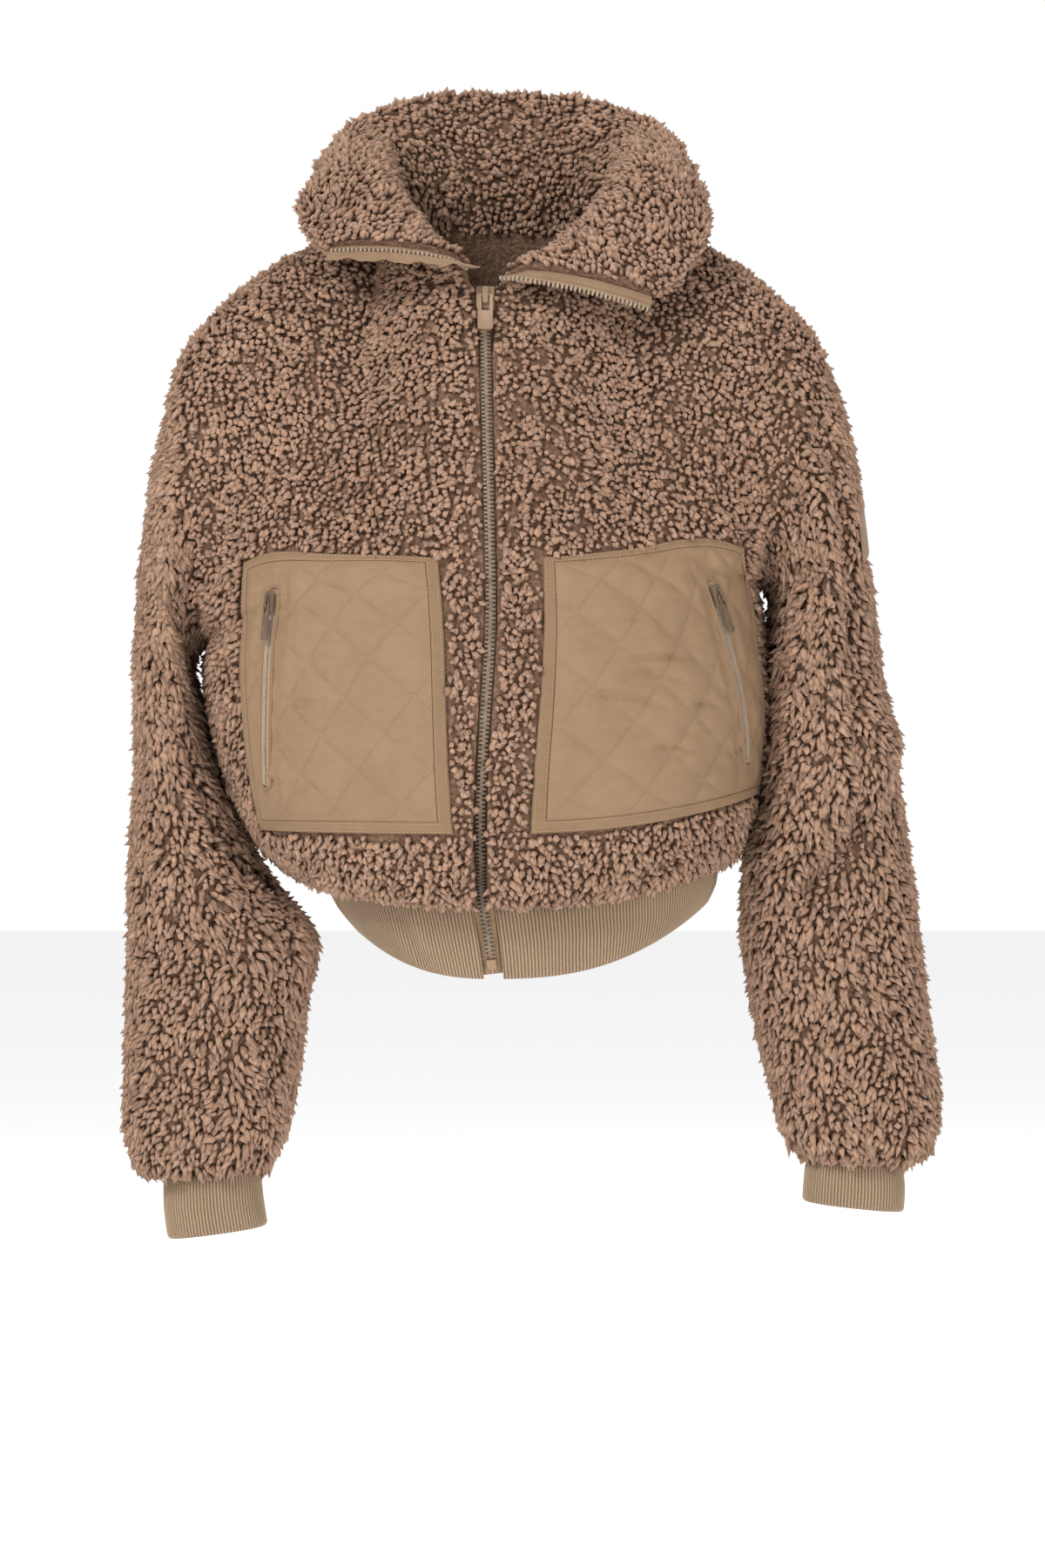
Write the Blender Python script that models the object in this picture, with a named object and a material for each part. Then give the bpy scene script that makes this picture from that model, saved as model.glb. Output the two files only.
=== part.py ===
"""A cropped sherpa fleece jacket, standing as if worn, with its collar folded open.

The origin is the nape, where the back of the neck carries the jacket. +Z is up and -Y is the front.
Every cloth piece is a closed wall between an outer and an inner surface. The trunk is a stack of rounded
sections, the yoke above it runs from the last section to the neckline and the shoulder seams, the sleeves are
rings that start on the armholes, and the pockets lie on the fronts' own surface, moved in or out.
"""
import math
from collections import namedtuple

import bmesh
import bpy
import numpy as np
from mathutils import Matrix

MM = 0.001
SEAM_GAP = 0.3 * MM
PILE_WALL = 8.0 * MM
COLLAR_WALL = 16.0 * MM
RIB_WALL = 2.6 * MM
CUFF_INSET = 1.5 * MM
HEM_INSET = 0.8 * MM
SECTION_POWER = 2.5
YOKE_ROWS = 4.0
NECK_SHARE = 0.42
ARMHOLE_REACH = 0.40
ARMHOLE_RUN = 0.075
TOP_SPREAD = 0.22
TOP_MIX = ((-1.0, 0.15), (-0.5, 0.22), (0.0, 0.26), (0.5, 0.22), (1.0, 0.15))

POCKET_FLOOR = 4.5 * MM
POCKET_SEAT = 0.8 * MM
PANEL_GAP = 0.9 * MM
POCKET_TOP = 1.4 * MM
QUILT_PUFF = 1.6 * MM
QUILT_RIM = 10 * MM
ZIP_FLAT = (13 * MM, 26 * MM)
BINDING_TOP = 0.6 * MM
BINDING_WIDTH = 7.5 * MM
BINDING_FOOT = 11.0 * MM

FRONT_OPENING = 4.7 * MM
RIB_OPENING = 7.4 * MM
SLIDER_OPENING = 7.6 * MM
CHAIN_HALF = 3.35 * MM
CHAIN_HEIGHT = 1.5 * MM
TAPE_EDGE = 0.15 * MM
TAPE_HALF = 4.1 * MM
RIB_TAPE_HALF = 6.2 * MM
TAPE_BACK = -2.9 * MM
TAPE_TOP = -1.9 * MM
BOX_SIZE = (7.0 * MM, 4.4 * MM, 6.8 * MM)
COLLAR_CHAIN_WIDTH = 6.4 * MM
COLLAR_STRIP_WIDTH = 9.0 * MM
COLLAR_TAPE_WIDTH = 7.0 * MM
COLLAR_TAPE_HALF = 0.6 * MM
EDGE_BEVEL = 0.4 * MM

LEFT = -1
RIGHT = 1
SIDE_Y = -0.085

Colour = namedtuple("Colour", "name rgb roughness metallic")
PILE = Colour("sherpa_pile", (0.27, 0.17, 0.115), 0.95, 0.0)
NYLON = Colour("quilted_nylon", (0.37, 0.25, 0.145), 0.55, 0.0)
BINDING = Colour("nylon_binding", (0.34, 0.225, 0.13), 0.6, 0.0)
RIB = Colour("rib_knit", (0.25, 0.175, 0.11), 0.85, 0.0)
TAPE = Colour("zip_tape", (0.33, 0.22, 0.13), 0.75, 0.0)
TEETH = Colour("zip_teeth", (0.36, 0.27, 0.18), 0.4, 0.0)
METAL = Colour("coated_metal", (0.34, 0.22, 0.13), 0.35, 0.3)

# The side of the photo is the side of X: "left" has negative X and is the wearer's right.
Trunk = namedtuple("Trunk", "front_z mid_x left_x left_z right_x right_z front_y back_y back_z lift")
TRUNK = (
    Trunk(-0.484, -0.011, -0.124, -0.474, 0.157, -0.462, -0.206, 0.010, -0.462, 0.9),
    Trunk(-0.491, -0.011, -0.142, -0.473, 0.167, -0.461, -0.222, 0.026, -0.464, 0.9),
    Trunk(-0.476, -0.011, -0.160, -0.460, 0.1785, -0.446, -0.237, 0.038, -0.452, 0.5),
    Trunk(-0.445, -0.012, -0.176, -0.441, 0.1865, -0.416, -0.246, 0.046, -0.425, 0.1),
    Trunk(-0.400, -0.011, -0.192, -0.408, 0.1905, -0.385, -0.250, 0.050, -0.388, 0.0),
    Trunk(-0.350, -0.008, -0.204, -0.370, 0.194, -0.350, -0.250, 0.050, -0.345, 0.0),
    Trunk(-0.300, -0.005, -0.210, -0.332, 0.190, -0.305, -0.248, 0.050, -0.298, 0.0),
    Trunk(-0.262, -0.005, -0.206, -0.300, 0.183, -0.258, -0.244, 0.049, -0.258, 0.0),
)
LAST_ROW = len(TRUNK) - 1

Sleeve = namedtuple("Sleeve", "out_x out_z in_x in_z front_y back_y")
SLEEVES = {
    LEFT: (
        Sleeve(-0.228, -0.107, -0.206, -0.300, -0.165, -0.005),
        Sleeve(-0.238, -0.148, -0.2165, -0.311, -0.168, 0.002),
        Sleeve(-0.247, -0.195, -0.222, -0.326, -0.170, 0.009),
        Sleeve(-0.255, -0.260, -0.214, -0.352, -0.168, 0.014),
        Sleeve(-0.259, -0.330, -0.204, -0.388, -0.163, 0.018),
        Sleeve(-0.260, -0.388, -0.190, -0.424, -0.157, 0.014),
        Sleeve(-0.262, -0.437, -0.176, -0.454, -0.155, 0.004),
        Sleeve(-0.264, -0.474, -0.156, -0.482, -0.155, -0.014),
        Sleeve(-0.264, -0.512, -0.131, -0.514, -0.155, -0.024),
        Sleeve(-0.265, -0.560, -0.137, -0.562, -0.155, -0.030),
        Sleeve(-0.266, -0.610, -0.143, -0.612, -0.154, -0.034),
        Sleeve(-0.266, -0.650, -0.150, -0.648, -0.151, -0.040),
        Sleeve(-0.258, -0.678, -0.161, -0.674, -0.144, -0.048),
        Sleeve(-0.240, -0.683, -0.168, -0.679, -0.134, -0.060),
    ),
    RIGHT: (
        Sleeve(0.2325, -0.102, 0.183, -0.258, -0.165, -0.005),
        Sleeve(0.245, -0.142, 0.194, -0.269, -0.171, 0.000),
        Sleeve(0.256, -0.198, 0.196, -0.294, -0.174, 0.006),
        Sleeve(0.264, -0.260, 0.190, -0.334, -0.172, 0.008),
        Sleeve(0.272, -0.325, 0.186, -0.380, -0.166, 0.006),
        Sleeve(0.283, -0.390, 0.184, -0.424, -0.160, 0.000),
        Sleeve(0.292, -0.450, 0.176, -0.464, -0.156, -0.012),
        Sleeve(0.299, -0.505, 0.174, -0.512, -0.153, -0.025),
        Sleeve(0.306, -0.565, 0.182, -0.568, -0.151, -0.030),
        Sleeve(0.313, -0.622, 0.195, -0.623, -0.150, -0.035),
        Sleeve(0.312, -0.652, 0.202, -0.652, -0.147, -0.041),
        Sleeve(0.302, -0.671, 0.212, -0.667, -0.140, -0.050),
        Sleeve(0.289, -0.674, 0.218, -0.670, -0.131, -0.060),
    ),
}
SLEEVE_POWER = 2.5
SLEEVE_CLEARANCE = 3.0 * MM

Cuff = namedtuple("Cuff", "out_x out_z in_x in_z front_y back_y")
CUFFS = {
    LEFT: (
        Cuff(-0.240, -0.683, -0.168, -0.679, -0.134, -0.060),
        Cuff(-0.240, -0.706, -0.166, -0.700, -0.135, -0.060),
        Cuff(-0.237, -0.728, -0.163, -0.718, -0.135, -0.061),
    ),
    RIGHT: (
        Cuff(0.289, -0.674, 0.218, -0.670, -0.131, -0.060),
        Cuff(0.291, -0.692, 0.216, -0.686, -0.132, -0.059),
        Cuff(0.290, -0.709, 0.215, -0.701, -0.132, -0.060),
    ),
}

Hem = namedtuple("Hem", "front_z mid_x left_x left_z right_x right_z front_y back_y back_z lift")
HEM = (
    Hem(-0.540, -0.003, -0.104, -0.506, 0.150, -0.489, -0.199, 0.006, -0.500, 0.0),
    Hem(-0.515, -0.006, -0.116, -0.492, 0.156, -0.476, -0.204, 0.010, -0.482, 0.0),
    Hem(-0.4845, -0.011, -0.1245, -0.4745, 0.1575, -0.4625, -0.2065, 0.0105, -0.4625, 0.0),
)

NECK_FRONT = (-0.168, -0.058)
NECK_BACK = (0.0, 0.0)
NECK_MIDDLE = {1: -0.009, -1: 0.004}
NECK_SIDE = {LEFT: (-0.083, -0.062, 0.004), RIGHT: (0.091, -0.062, 0.007)}

COLLAR_FRONT_SHARE = 0.56
# Each row is one place round the neck, from the photo's left zip edge to its right one.
Collar = namedtuple("Collar", "around bend_x bend_y bend_z edge_x edge_y edge_z")
COLLAR = (
    Collar(0.00, -0.050, -0.192, -0.030, -0.118, -0.170, -0.038),
    Collar(0.12, -0.066, -0.166, 0.006, -0.131, -0.142, -0.026),
    Collar(0.26, -0.088, -0.098, 0.062, -0.130, -0.094, 0.004),
    Collar(0.38, -0.070, -0.030, 0.070, -0.094, -0.014, 0.070),
    Collar(0.44, -0.036, -0.006, 0.058, -0.050, 0.020, 0.0935),
    Collar(0.50, 0.004, 0.008, 0.050, 0.004, 0.028, 0.099),
    Collar(0.56, 0.045, -0.006, 0.058, 0.060, 0.020, 0.0915),
    Collar(0.62, 0.080, -0.030, 0.070, 0.104, -0.014, 0.068),
    Collar(0.74, 0.096, -0.098, 0.062, 0.138, -0.094, 0.002),
    Collar(0.88, 0.074, -0.168, -0.002, 0.136, -0.146, -0.040),
    Collar(1.00, 0.037, -0.200, -0.047, 0.108, -0.182, -0.072),
)

COLLAR_HEIGHTS = np.array((0.0, 0.14, 0.28, 0.42, 0.56, 0.7, 0.85, 1.0))

# A fold runs between two places seen from the front; its flanks lie low and high across it.
Fold = namedtuple("Fold", "from_x from_z to_x to_z height low high")
SLEEVE_FOLDS = {
    LEFT: (
        Fold(-0.262, -0.375, -0.228, -0.452, -0.004, 0.012, 0.010),
        Fold(-0.250, -0.300, -0.225, -0.345, 0.003, 0.014, 0.012),
        Fold(-0.135, -0.515, -0.215, -0.560, 0.005, 0.016, 0.022),
        Fold(-0.262, -0.560, -0.200, -0.610, -0.003, 0.018, 0.018),
    ),
    RIGHT: (
        Fold(0.282, -0.362, 0.196, -0.482, 0.011, 0.013, 0.030),
        Fold(0.222, -0.125, 0.250, -0.375, 0.007, 0.020, 0.012),
        Fold(0.176, -0.505, 0.262, -0.560, 0.006, 0.014, 0.024),
        Fold(0.200, -0.600, 0.280, -0.630, -0.003, 0.018, 0.018),
    ),
}
FRONT_FOLDS = (
    Fold(-0.170, -0.090, -0.110, -0.220, -0.004, 0.022, 0.022),
    Fold(0.060, -0.120, 0.150, -0.215, -0.004, 0.022, 0.026),
    Fold(-0.205, -0.250, -0.190, -0.400, 0.003, 0.016, 0.016),
    Fold(0.165, -0.235, 0.186, -0.300, 0.003, 0.014, 0.014),
)
BACK_FOLDS = (
    Fold(-0.170, -0.150, -0.070, -0.260, -0.005, 0.024, 0.024),
    Fold(0.160, -0.140, 0.060, -0.280, -0.005, 0.024, 0.028),
    Fold(-0.150, -0.400, 0.020, -0.430, 0.005, 0.020, 0.016),
    Fold(0.020, -0.345, 0.160, -0.400, 0.004, 0.022, 0.018),
)

# Lengths are in millimetres: the body, the bridge over it and the pull with its window under the bridge.
Slider = namedtuple("Slider", "width length thick bridge_width bridge_length bridge_height bridge_wall "
                    "pull_width pull_length pull_thick window_width window_length bar")
MAIN_SLIDER = Slider(12.8, 18.0, 5.0, 3.8, 14.0, 4.9, 1.3, 10.7, 35.0, 1.6, 5.2, 15.0, 1.8)
POCKET_SLIDER = Slider(7.6, 15.0, 2.4, 1.6, 9.0, 3.4, 0.8, 5.0, 28.0, 1.3, 2.8, 9.0, 1.3)
MAIN_SLIDER_HEIGHT = 3.6 * MM
MAIN_PULL_TILT = 12.0
POCKET_SLIDER_HEIGHT = 4.5 * MM
POCKET_SLIDER_DROP = 9 * MM
# Across the strip, then its lower and upper heights, in millimetres: tape, chain, tape.
POCKET_ZIP_PROFILE = ((-4.0, 0.0, 0.7), (-2.0, 0.0, 0.8), (-1.4, 0.0, 1.7), (1.4, 0.0, 1.7), (2.0, 0.0, 0.8),
                      (4.0, 0.0, 0.7))

# Shares of a front's width, from its centre edge to its side seam, at the pocket's foot and head.
Pocket = namedtuple("Pocket", "foot_in foot_out head_in head_out foot_row head_row "
                    "zip_foot zip_head zip_low zip_high waist lift")
POCKETS = {
    LEFT: Pocket(0.026, 0.745, 0.064, 0.675, 3.12, 7.4, 0.885, 0.725, 0.175, 0.865, 0.09, 0.62),
    RIGHT: Pocket(0.060, 0.905, 0.073, 0.750, 3.12, 7.4, 0.845, 0.64, 0.175, 0.80, 0.0, 0.35),
}
RECESS_STEP = 0.05
LIFT_HOLD = 0.02
POCKET_CELLS = 8
POCKET_TOP_CELL = 9
QUILT_CELL = (46 * MM, 55 * MM)
HEAD_RISE = (POCKETS[LEFT].head_row - LAST_ROW) / YOKE_ROWS
FRONT_RISES = np.array((0, HEAD_RISE, HEAD_RISE + RECESS_STEP / YOKE_ROWS, 0.2, 0.3, 0.4, 0.5, 0.6, 0.7, 0.79, 0.87,
                        0.94, 1))
BACK_RISES = np.array((0, 0.08, 0.16, 0.25, 0.34, 0.44, 0.54, 0.64, 0.74, 0.83, 0.92, 1))
TOP_SHARES = np.array((0, 0.05, 0.10, 0.15, 0.20, 0.26, 0.32, 0.37, 0.42, 0.49, 0.56, 0.63, 0.70, 0.78,
                       0.86, 0.93, 1))
BACK_SHARES = np.array((0.0, 0.105, 0.21, 0.315, 0.42, 0.54, 0.66, 0.78, 0.9, 1.0))

Patch = namedtuple("Patch", "foot_row head_row front_turn back_turn gap thick")
PATCH = Patch(2.72, 2.08, 132, 205, 0.9 * MM, 1.2 * MM)

Waypoint = namedtuple("Waypoint", "x y z")
ZIP_PATH = (
    Waypoint(-0.0040, -0.1985, -0.533),
    Waypoint(-0.0072, -0.2040, -0.508),
    Waypoint(-0.011, -0.2110, -0.484),
    Waypoint(-0.0116, -0.2290, -0.460),
    Waypoint(-0.0118, -0.2400, -0.425),
    Waypoint(-0.0086, -0.2460, -0.360),
    Waypoint(-0.0050, -0.2440, -0.295),
    Waypoint(-0.0057, -0.2350, -0.230),
    Waypoint(-0.0074, -0.2120, -0.160),
    Waypoint(-0.0087, -0.1860, -0.100),
    Waypoint(-0.0089, -0.1725, -0.075),
)


def unit(vectors):
    """Vectors scaled to length one."""
    length = np.linalg.norm(vectors, axis=-1, keepdims=True)
    return vectors / np.maximum(length, 1e-12)


def smooth_rows(table, place):
    """A smooth curve through a table's rows, read at a place counted in rows."""
    data = np.array(table, float)
    place = np.clip(np.asarray(place, float), 0, len(data) - 1)
    index = np.minimum(place.astype(int), len(data) - 2)
    part = (place - index)[..., None]
    before = data[np.maximum(index - 1, 0)]
    here = data[index]
    after = data[index + 1]
    beyond = data[np.minimum(index + 2, len(data) - 1)]
    slope = (after - before) * part
    bend = (2 * before - 5 * here + 4 * after - beyond) * part ** 2
    twist = (3 * here - before - 3 * after + beyond) * part ** 3
    return 0.5 * (2 * here + slope + bend + twist)


def smooth_keys(table, where):
    """A smooth curve through a table's rows, whose first column says where each row lies."""
    data = np.array(table, float)
    keys, values = data[:, 0], data[:, 1:]
    slopes = np.gradient(values, keys, axis=0)
    index = np.clip(np.searchsorted(keys, where, side="right") - 1, 0, len(keys) - 2)
    gap = (keys[index + 1] - keys[index])[..., None]
    t = (np.asarray(where) - keys[index])[..., None] / gap
    return ((2 * t ** 3 - 3 * t ** 2 + 1) * values[index] + (t ** 3 - 2 * t ** 2 + t) * gap * slopes[index]
            + (3 * t ** 2 - 2 * t ** 3) * values[index + 1] + (t ** 3 - t ** 2) * gap * slopes[index + 1])


def ease(value, low, high):
    """A smooth step from 0 at low to 1 at high."""
    part = np.clip((value - low) / (high - low), 0, 1)
    return part * part * (3 - 2 * part)


def section(table, row, angle, depth):
    """A point on the rounded section at a row; the angle is 0 in front and a right angle at the +X side."""
    c = np.moveaxis(smooth_rows(table, row), -1, 0)
    front_z, mid_x, left_x, left_z, right_x, right_z, front_y, back_y, back_z, lift = c
    sine, cosine = np.sin(angle), np.cos(angle)
    across = np.abs(sine) ** (2 / SECTION_POWER)
    along = np.abs(cosine) ** (2 / SECTION_POWER)
    side_x = np.where(sine < 0, left_x + depth, right_x - depth)
    side_z = np.where(sine < 0, left_z, right_z)
    end_y = np.where(cosine > 0, front_y + depth, back_y - depth)
    end_z = np.where(cosine > 0, front_z, back_z)
    x = mid_x + across * (side_x - mid_x)
    y = SIDE_Y + along * (end_y - SIDE_Y)
    z = side_z * sine ** 2 + end_z * cosine ** 2 + lift * depth
    return np.stack(np.broadcast_arrays(x, y, z), axis=-1)


def ring(table, row, angle, depth, power):
    """A point on a sleeve's ring; the angle is 0 next to the body, a right angle in front and 180 outside."""
    c = np.moveaxis(smooth_rows(table, row), -1, 0)
    out_x, out_z, in_x, in_z, front_y, back_y = c
    half = np.stack(np.broadcast_arrays((out_x - in_x) / 2, np.zeros_like(out_x), (out_z - in_z) / 2), -1)
    size = np.linalg.norm(half, axis=-1)
    middle = np.stack(np.broadcast_arrays((out_x + in_x) / 2, (front_y + back_y) / 2, (out_z + in_z) / 2), -1)
    sine, cosine = np.sin(angle), np.cos(angle)
    outward = np.sign(cosine) * np.abs(cosine) ** (2 / power) * (size - depth)
    forward = np.sign(sine) * np.abs(sine) ** (2 / power) * ((back_y - front_y) / 2 - depth)
    point = middle - unit(half) * outward[..., None]
    point[..., 1] -= forward
    return point


def square_to_sleeve(side, row, angle):
    """The inward way square to a sleeve's surface."""
    low, high = np.maximum(row - 0.2, 0), row + 0.2
    turn = 0.05
    table = SLEEVES[side]
    along = ring(table, high, angle, 0.0, SLEEVE_POWER) - ring(table, low, angle, 0.0, SLEEVE_POWER)
    around = ring(table, row, angle + turn, 0.0, SLEEVE_POWER) - ring(table, row, angle - turn, 0.0, SLEEVE_POWER)
    return unit(np.cross(around, along)) * side


def square_to_body(side, angle):
    """The inward way square to the body's surface along an armhole."""
    flat = -side * np.ones_like(angle)
    return unit(np.stack((flat, 1.2 * np.sin(angle), -0.15 * (1 - np.cos(angle))), -1))


def armhole_way(side, angle):
    """The shared inward way along an armhole, between the body's wall and the sleeve's."""
    return unit(square_to_sleeve(side, 0.0 * angle, angle) + square_to_body(side, angle))


def into_armhole(side, angle):
    """The way in which the body's surface runs into its armhole."""
    turn = 0.05
    run = armhole(side, angle + turn, 0.0 * angle) - armhole(side, angle - turn, 0.0 * angle)
    return unit(np.cross(square_to_body(side, angle), run)) * side


def armhole(side, angle, depth):
    """The armhole seam, moved in by the depth."""
    seam = ring(SLEEVES[side], 0.0 * angle, angle, 0.0, SLEEVE_POWER)
    return seam + armhole_way(side, angle) * np.asarray(depth)[..., None]


def neckline(side, face, share, depth):
    """A point on the neck seam, from the centre line (share 0) to the shoulder seam (share 1)."""
    turn = np.clip(share, 0, 1) * math.pi / 2
    mid_x = NECK_MIDDLE[face]
    side_x, side_y, side_z = NECK_SIDE[side]
    end_y, end_z = NECK_FRONT if face > 0 else NECK_BACK
    x = mid_x + (side_x - mid_x) * np.sin(turn)
    y = side_y + (end_y - side_y) * np.cos(turn)
    z = side_z + (end_z - side_z) * np.cos(turn) ** 2
    slope_in = np.array((0.0, 0.85, -0.5) if face > 0 else (0.0, -0.94, -0.34))
    side_in = np.array((-0.25 * side, 0.0, -0.97))
    inward = unit(np.cos(turn)[..., None] * slope_in + np.sin(turn)[..., None] * side_in)
    return np.stack((x, y, z), -1) + inward * np.asarray(depth)[..., None]


def top_edge(side, face, share, depth):
    """The neck seam and then the shoulder seam, as shares of a panel's width, moved in by the depth."""
    share = np.asarray(share, float)
    depth = np.broadcast_to(depth, share.shape)
    neck = neckline(side, face, share / NECK_SHARE, depth)
    corner = np.array(NECK_SIDE[side])
    cap = SLEEVES[side][0]
    tip = np.array((cap.out_x, SIDE_Y, cap.out_z))
    reach = np.sin(np.clip((share - NECK_SHARE) / (1 - NECK_SHARE), 0, 1) * math.pi / 2)
    drop = 0.35 * reach + 0.65 * (1 - np.sqrt(1 - np.minimum(reach, 1) ** 2))
    x = corner[0] + (tip[0] - corner[0]) * reach
    y = corner[1] + (tip[1] - corner[1]) * reach
    z = corner[2] + (tip[2] - corner[2]) * drop
    steepness = 0.35 + 0.65 * reach / np.sqrt(np.maximum(1 - reach ** 2, 0.02))
    fall = (tip[2] - corner[2]) * steepness * side
    level = -abs(tip[0] - corner[0]) * np.ones_like(fall)
    inward = unit(np.stack((fall, np.zeros_like(fall), level), -1))
    shoulder = np.stack((x, y, z), -1) + inward * depth[..., None]
    return np.where((share < NECK_SHARE)[..., None], neck, shoulder)


def free_yoke(side, face, share, rise, depth):
    """A panel above the underarm that doesn't yet know its armhole."""
    quarter = math.pi / 2 * share
    angle = side * (quarter if face > 0 else math.pi - quarter)
    start = section(TRUNK, LAST_ROW, angle, depth)
    step = 0.25
    start_way = (start - section(TRUNK, LAST_ROW - step, angle, depth)) / step * YOKE_ROWS
    spread = TOP_SPREAD * (1 - rise) * np.minimum(np.minimum(share, 1 - share) / TOP_SPREAD, 1)
    end = sum(part * top_edge(side, face, share + place * spread, depth) for place, part in TOP_MIX)
    reach = np.linalg.norm(end - start, axis=-1, keepdims=True)
    blend = ease(share, NECK_SHARE * 0.55, NECK_SHARE * 1.5)[..., None]
    neck_way = np.array((0.0, 0.50, 0.86) if face > 0 else (0.0, -0.34, 0.94))
    seam_way = np.array((0.10 * side, 1.0, 0.12) if face > 0 else (0.10 * side, -1.0, 0.12))
    end_way = unit(neck_way * (1 - blend) + seam_way * blend) * reach * 1.05
    t = rise[..., None]
    return ((2 * t ** 3 - 3 * t ** 2 + 1) * start + (t ** 3 - 2 * t ** 2 + t) * start_way
            + (3 * t ** 2 - 2 * t ** 3) * end + (t ** 3 - t ** 2) * end_way)


def yoke(side, face, share, rise, depth):
    """A panel above the underarm: rise runs from the trunk's last section (0) to the top edge (1)."""
    surface = free_yoke(side, face, share, rise, depth)
    one = np.ones_like(share)
    edge = free_yoke(side, face, one, rise, depth)
    step = 0.02
    edge_way = (edge - free_yoke(side, face, one - step, rise, depth)) / step * (1 - ARMHOLE_REACH)
    angle = face * math.pi * rise
    seam_way = into_armhole(side, angle) * ARMHOLE_RUN
    start = ease(rise, 0.0, 0.45)[..., None]
    t = (np.clip((share - ARMHOLE_REACH) / (1 - ARMHOLE_REACH), 0, 1))[..., None]
    shift = (armhole(side, angle, depth) - edge) * (3 * t ** 2 - 2 * t ** 3)
    turn = (seam_way - edge_way) * (t ** 3 - t ** 2) * start
    return surface + shift + turn


def opening_at(row):
    """Half the width of the front opening, wider under the slider."""
    return FRONT_OPENING + (SLIDER_OPENING - FRONT_OPENING) * ease(row, 10.1, 10.7)


def folds_on(points, outward, folds, face):
    """Moves points along their outward way by the folds that lie on one face, seen from the front."""
    shift = np.zeros(points.shape[:-1])
    for fold in folds:
        start = np.array((fold.from_x, fold.from_z))
        run = np.array((fold.to_x, fold.to_z)) - start
        length = np.linalg.norm(run)
        way = run / length
        offset = points[..., (0, 2)] - start
        along = (offset @ way) / length
        aside = offset[..., 0] * way[1] - offset[..., 1] * way[0]
        width = np.where(aside > 0, fold.high, fold.low)
        past = np.maximum(np.abs(along - 0.5) - 0.32, 0) / 0.2
        shift += fold.height * np.exp(-(aside / width) ** 2 - past ** 2)
    facing = ease(-face * outward[..., 1], 0.05, 0.55)
    return points + outward * (shift * facing)[..., None]


def raw_body(side, face, share, row, depth):
    """The body's surface without folds, from the hem seam (row 0) to the top edge."""
    share, row, depth = np.broadcast_arrays(np.asarray(share, float), row, depth)
    quarter = math.pi / 2 * share
    angle = side * (quarter if face > 0 else math.pi - quarter)
    lower = section(TRUNK, np.minimum(row, LAST_ROW), angle, depth)
    rise = np.clip((row - LAST_ROW) / YOKE_ROWS, 0, 1)
    upper = yoke(side, face, share, rise, depth)
    point = np.where((row > LAST_ROW)[..., None], upper, lower)
    if face > 0:
        point[..., 0] += side * opening_at(row) * (1 - share) ** 6
    return point


def body(side, face, share, row, depth=0.0):
    """The body's surface with its folds; depth counts inward from the tips of the pile."""
    point = raw_body(side, face, share, row, depth)
    outward = unit(raw_body(side, face, share, row, 0.0) - raw_body(side, face, share, row, PILE_WALL))
    calm = (ease(LAST_ROW + YOKE_ROWS - row, 0.0, 1.2) * ease(1 - share, 0.0, 0.15))[..., None]
    folded = folds_on(point, outward, FRONT_FOLDS if face > 0 else BACK_FOLDS, face)
    return point + (folded - point) * calm


def beside_trunk(side, points, gap):
    """Pushes points out of the trunk and its hem, level by level, until the gap is there."""
    levels = HEM[:2] + TRUNK
    level_z = [row.left_z if side < 0 else row.right_z for row in levels]
    side_x, mid_x, front_y, back_y = [
        np.interp(points[..., 2], level_z, [getattr(row, name) for row in levels])
        for name in ("left_x" if side < 0 else "right_x", "mid_x", "front_y", "back_y")]
    x = points[..., 0] - mid_x
    y = points[..., 1] - SIDE_Y
    end_y = np.where(y < 0, front_y, back_y) - SIDE_Y
    wide = np.maximum(x / (side_x - mid_x), 0) ** SECTION_POWER
    share = (wide + (y / end_y) ** SECTION_POWER) ** (1 / SECTION_POWER)
    far = np.hypot(x, y) / np.maximum(share, 1e-6)
    below = ease(points[..., 2], level_z[0] - 0.030, level_z[0] - 0.004)
    above = 1 - ease(points[..., 2], level_z[-1] - 0.002, level_z[-1] + 0.030)
    wanted = (1 + gap / far) * below * above
    grow = np.maximum(wanted / np.maximum(share, 1e-6), 1)
    moved = points.copy()
    moved[..., 0] = mid_x + x * grow
    moved[..., 1] = SIDE_Y + y * grow
    return moved


def sleeve(side, row, angle, depth=0.0):
    """A sleeve's surface with its folds, pressed flat where it hangs against the body."""
    row, angle, depth = np.broadcast_arrays(np.asarray(row, float), angle, depth)
    seat = ring(SLEEVES[side], row, angle, 0.0, SLEEVE_POWER)
    radial = unit(ring(SLEEVES[side], row, angle, PILE_WALL, SLEEVE_POWER) - seat)
    square = square_to_sleeve(side, row, angle)
    slant = np.sum(radial * square, -1, keepdims=True)
    leave = ease(row, 0.0, 1.5)[..., None]
    inward = armhole_way(side, angle) * (1 - leave) + (radial + square) / (1 + slant) * leave
    point = seat + inward * depth[..., None]
    calm = (ease(row, 0.0, 1.5) * ease(len(SLEEVES[side]) - 1 - row, 0.0, 1.0))[..., None]
    point = point + (folds_on(point, -unit(inward), SLEEVE_FOLDS[side], 1) - point) * calm
    gap = SLEEVE_CLEARANCE * ease(row, 0.0, 1.0) + depth
    pressed = beside_trunk(side, point, gap)
    return point + (pressed - point) * ease(row, 0.0, 0.8)[..., None]


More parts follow.
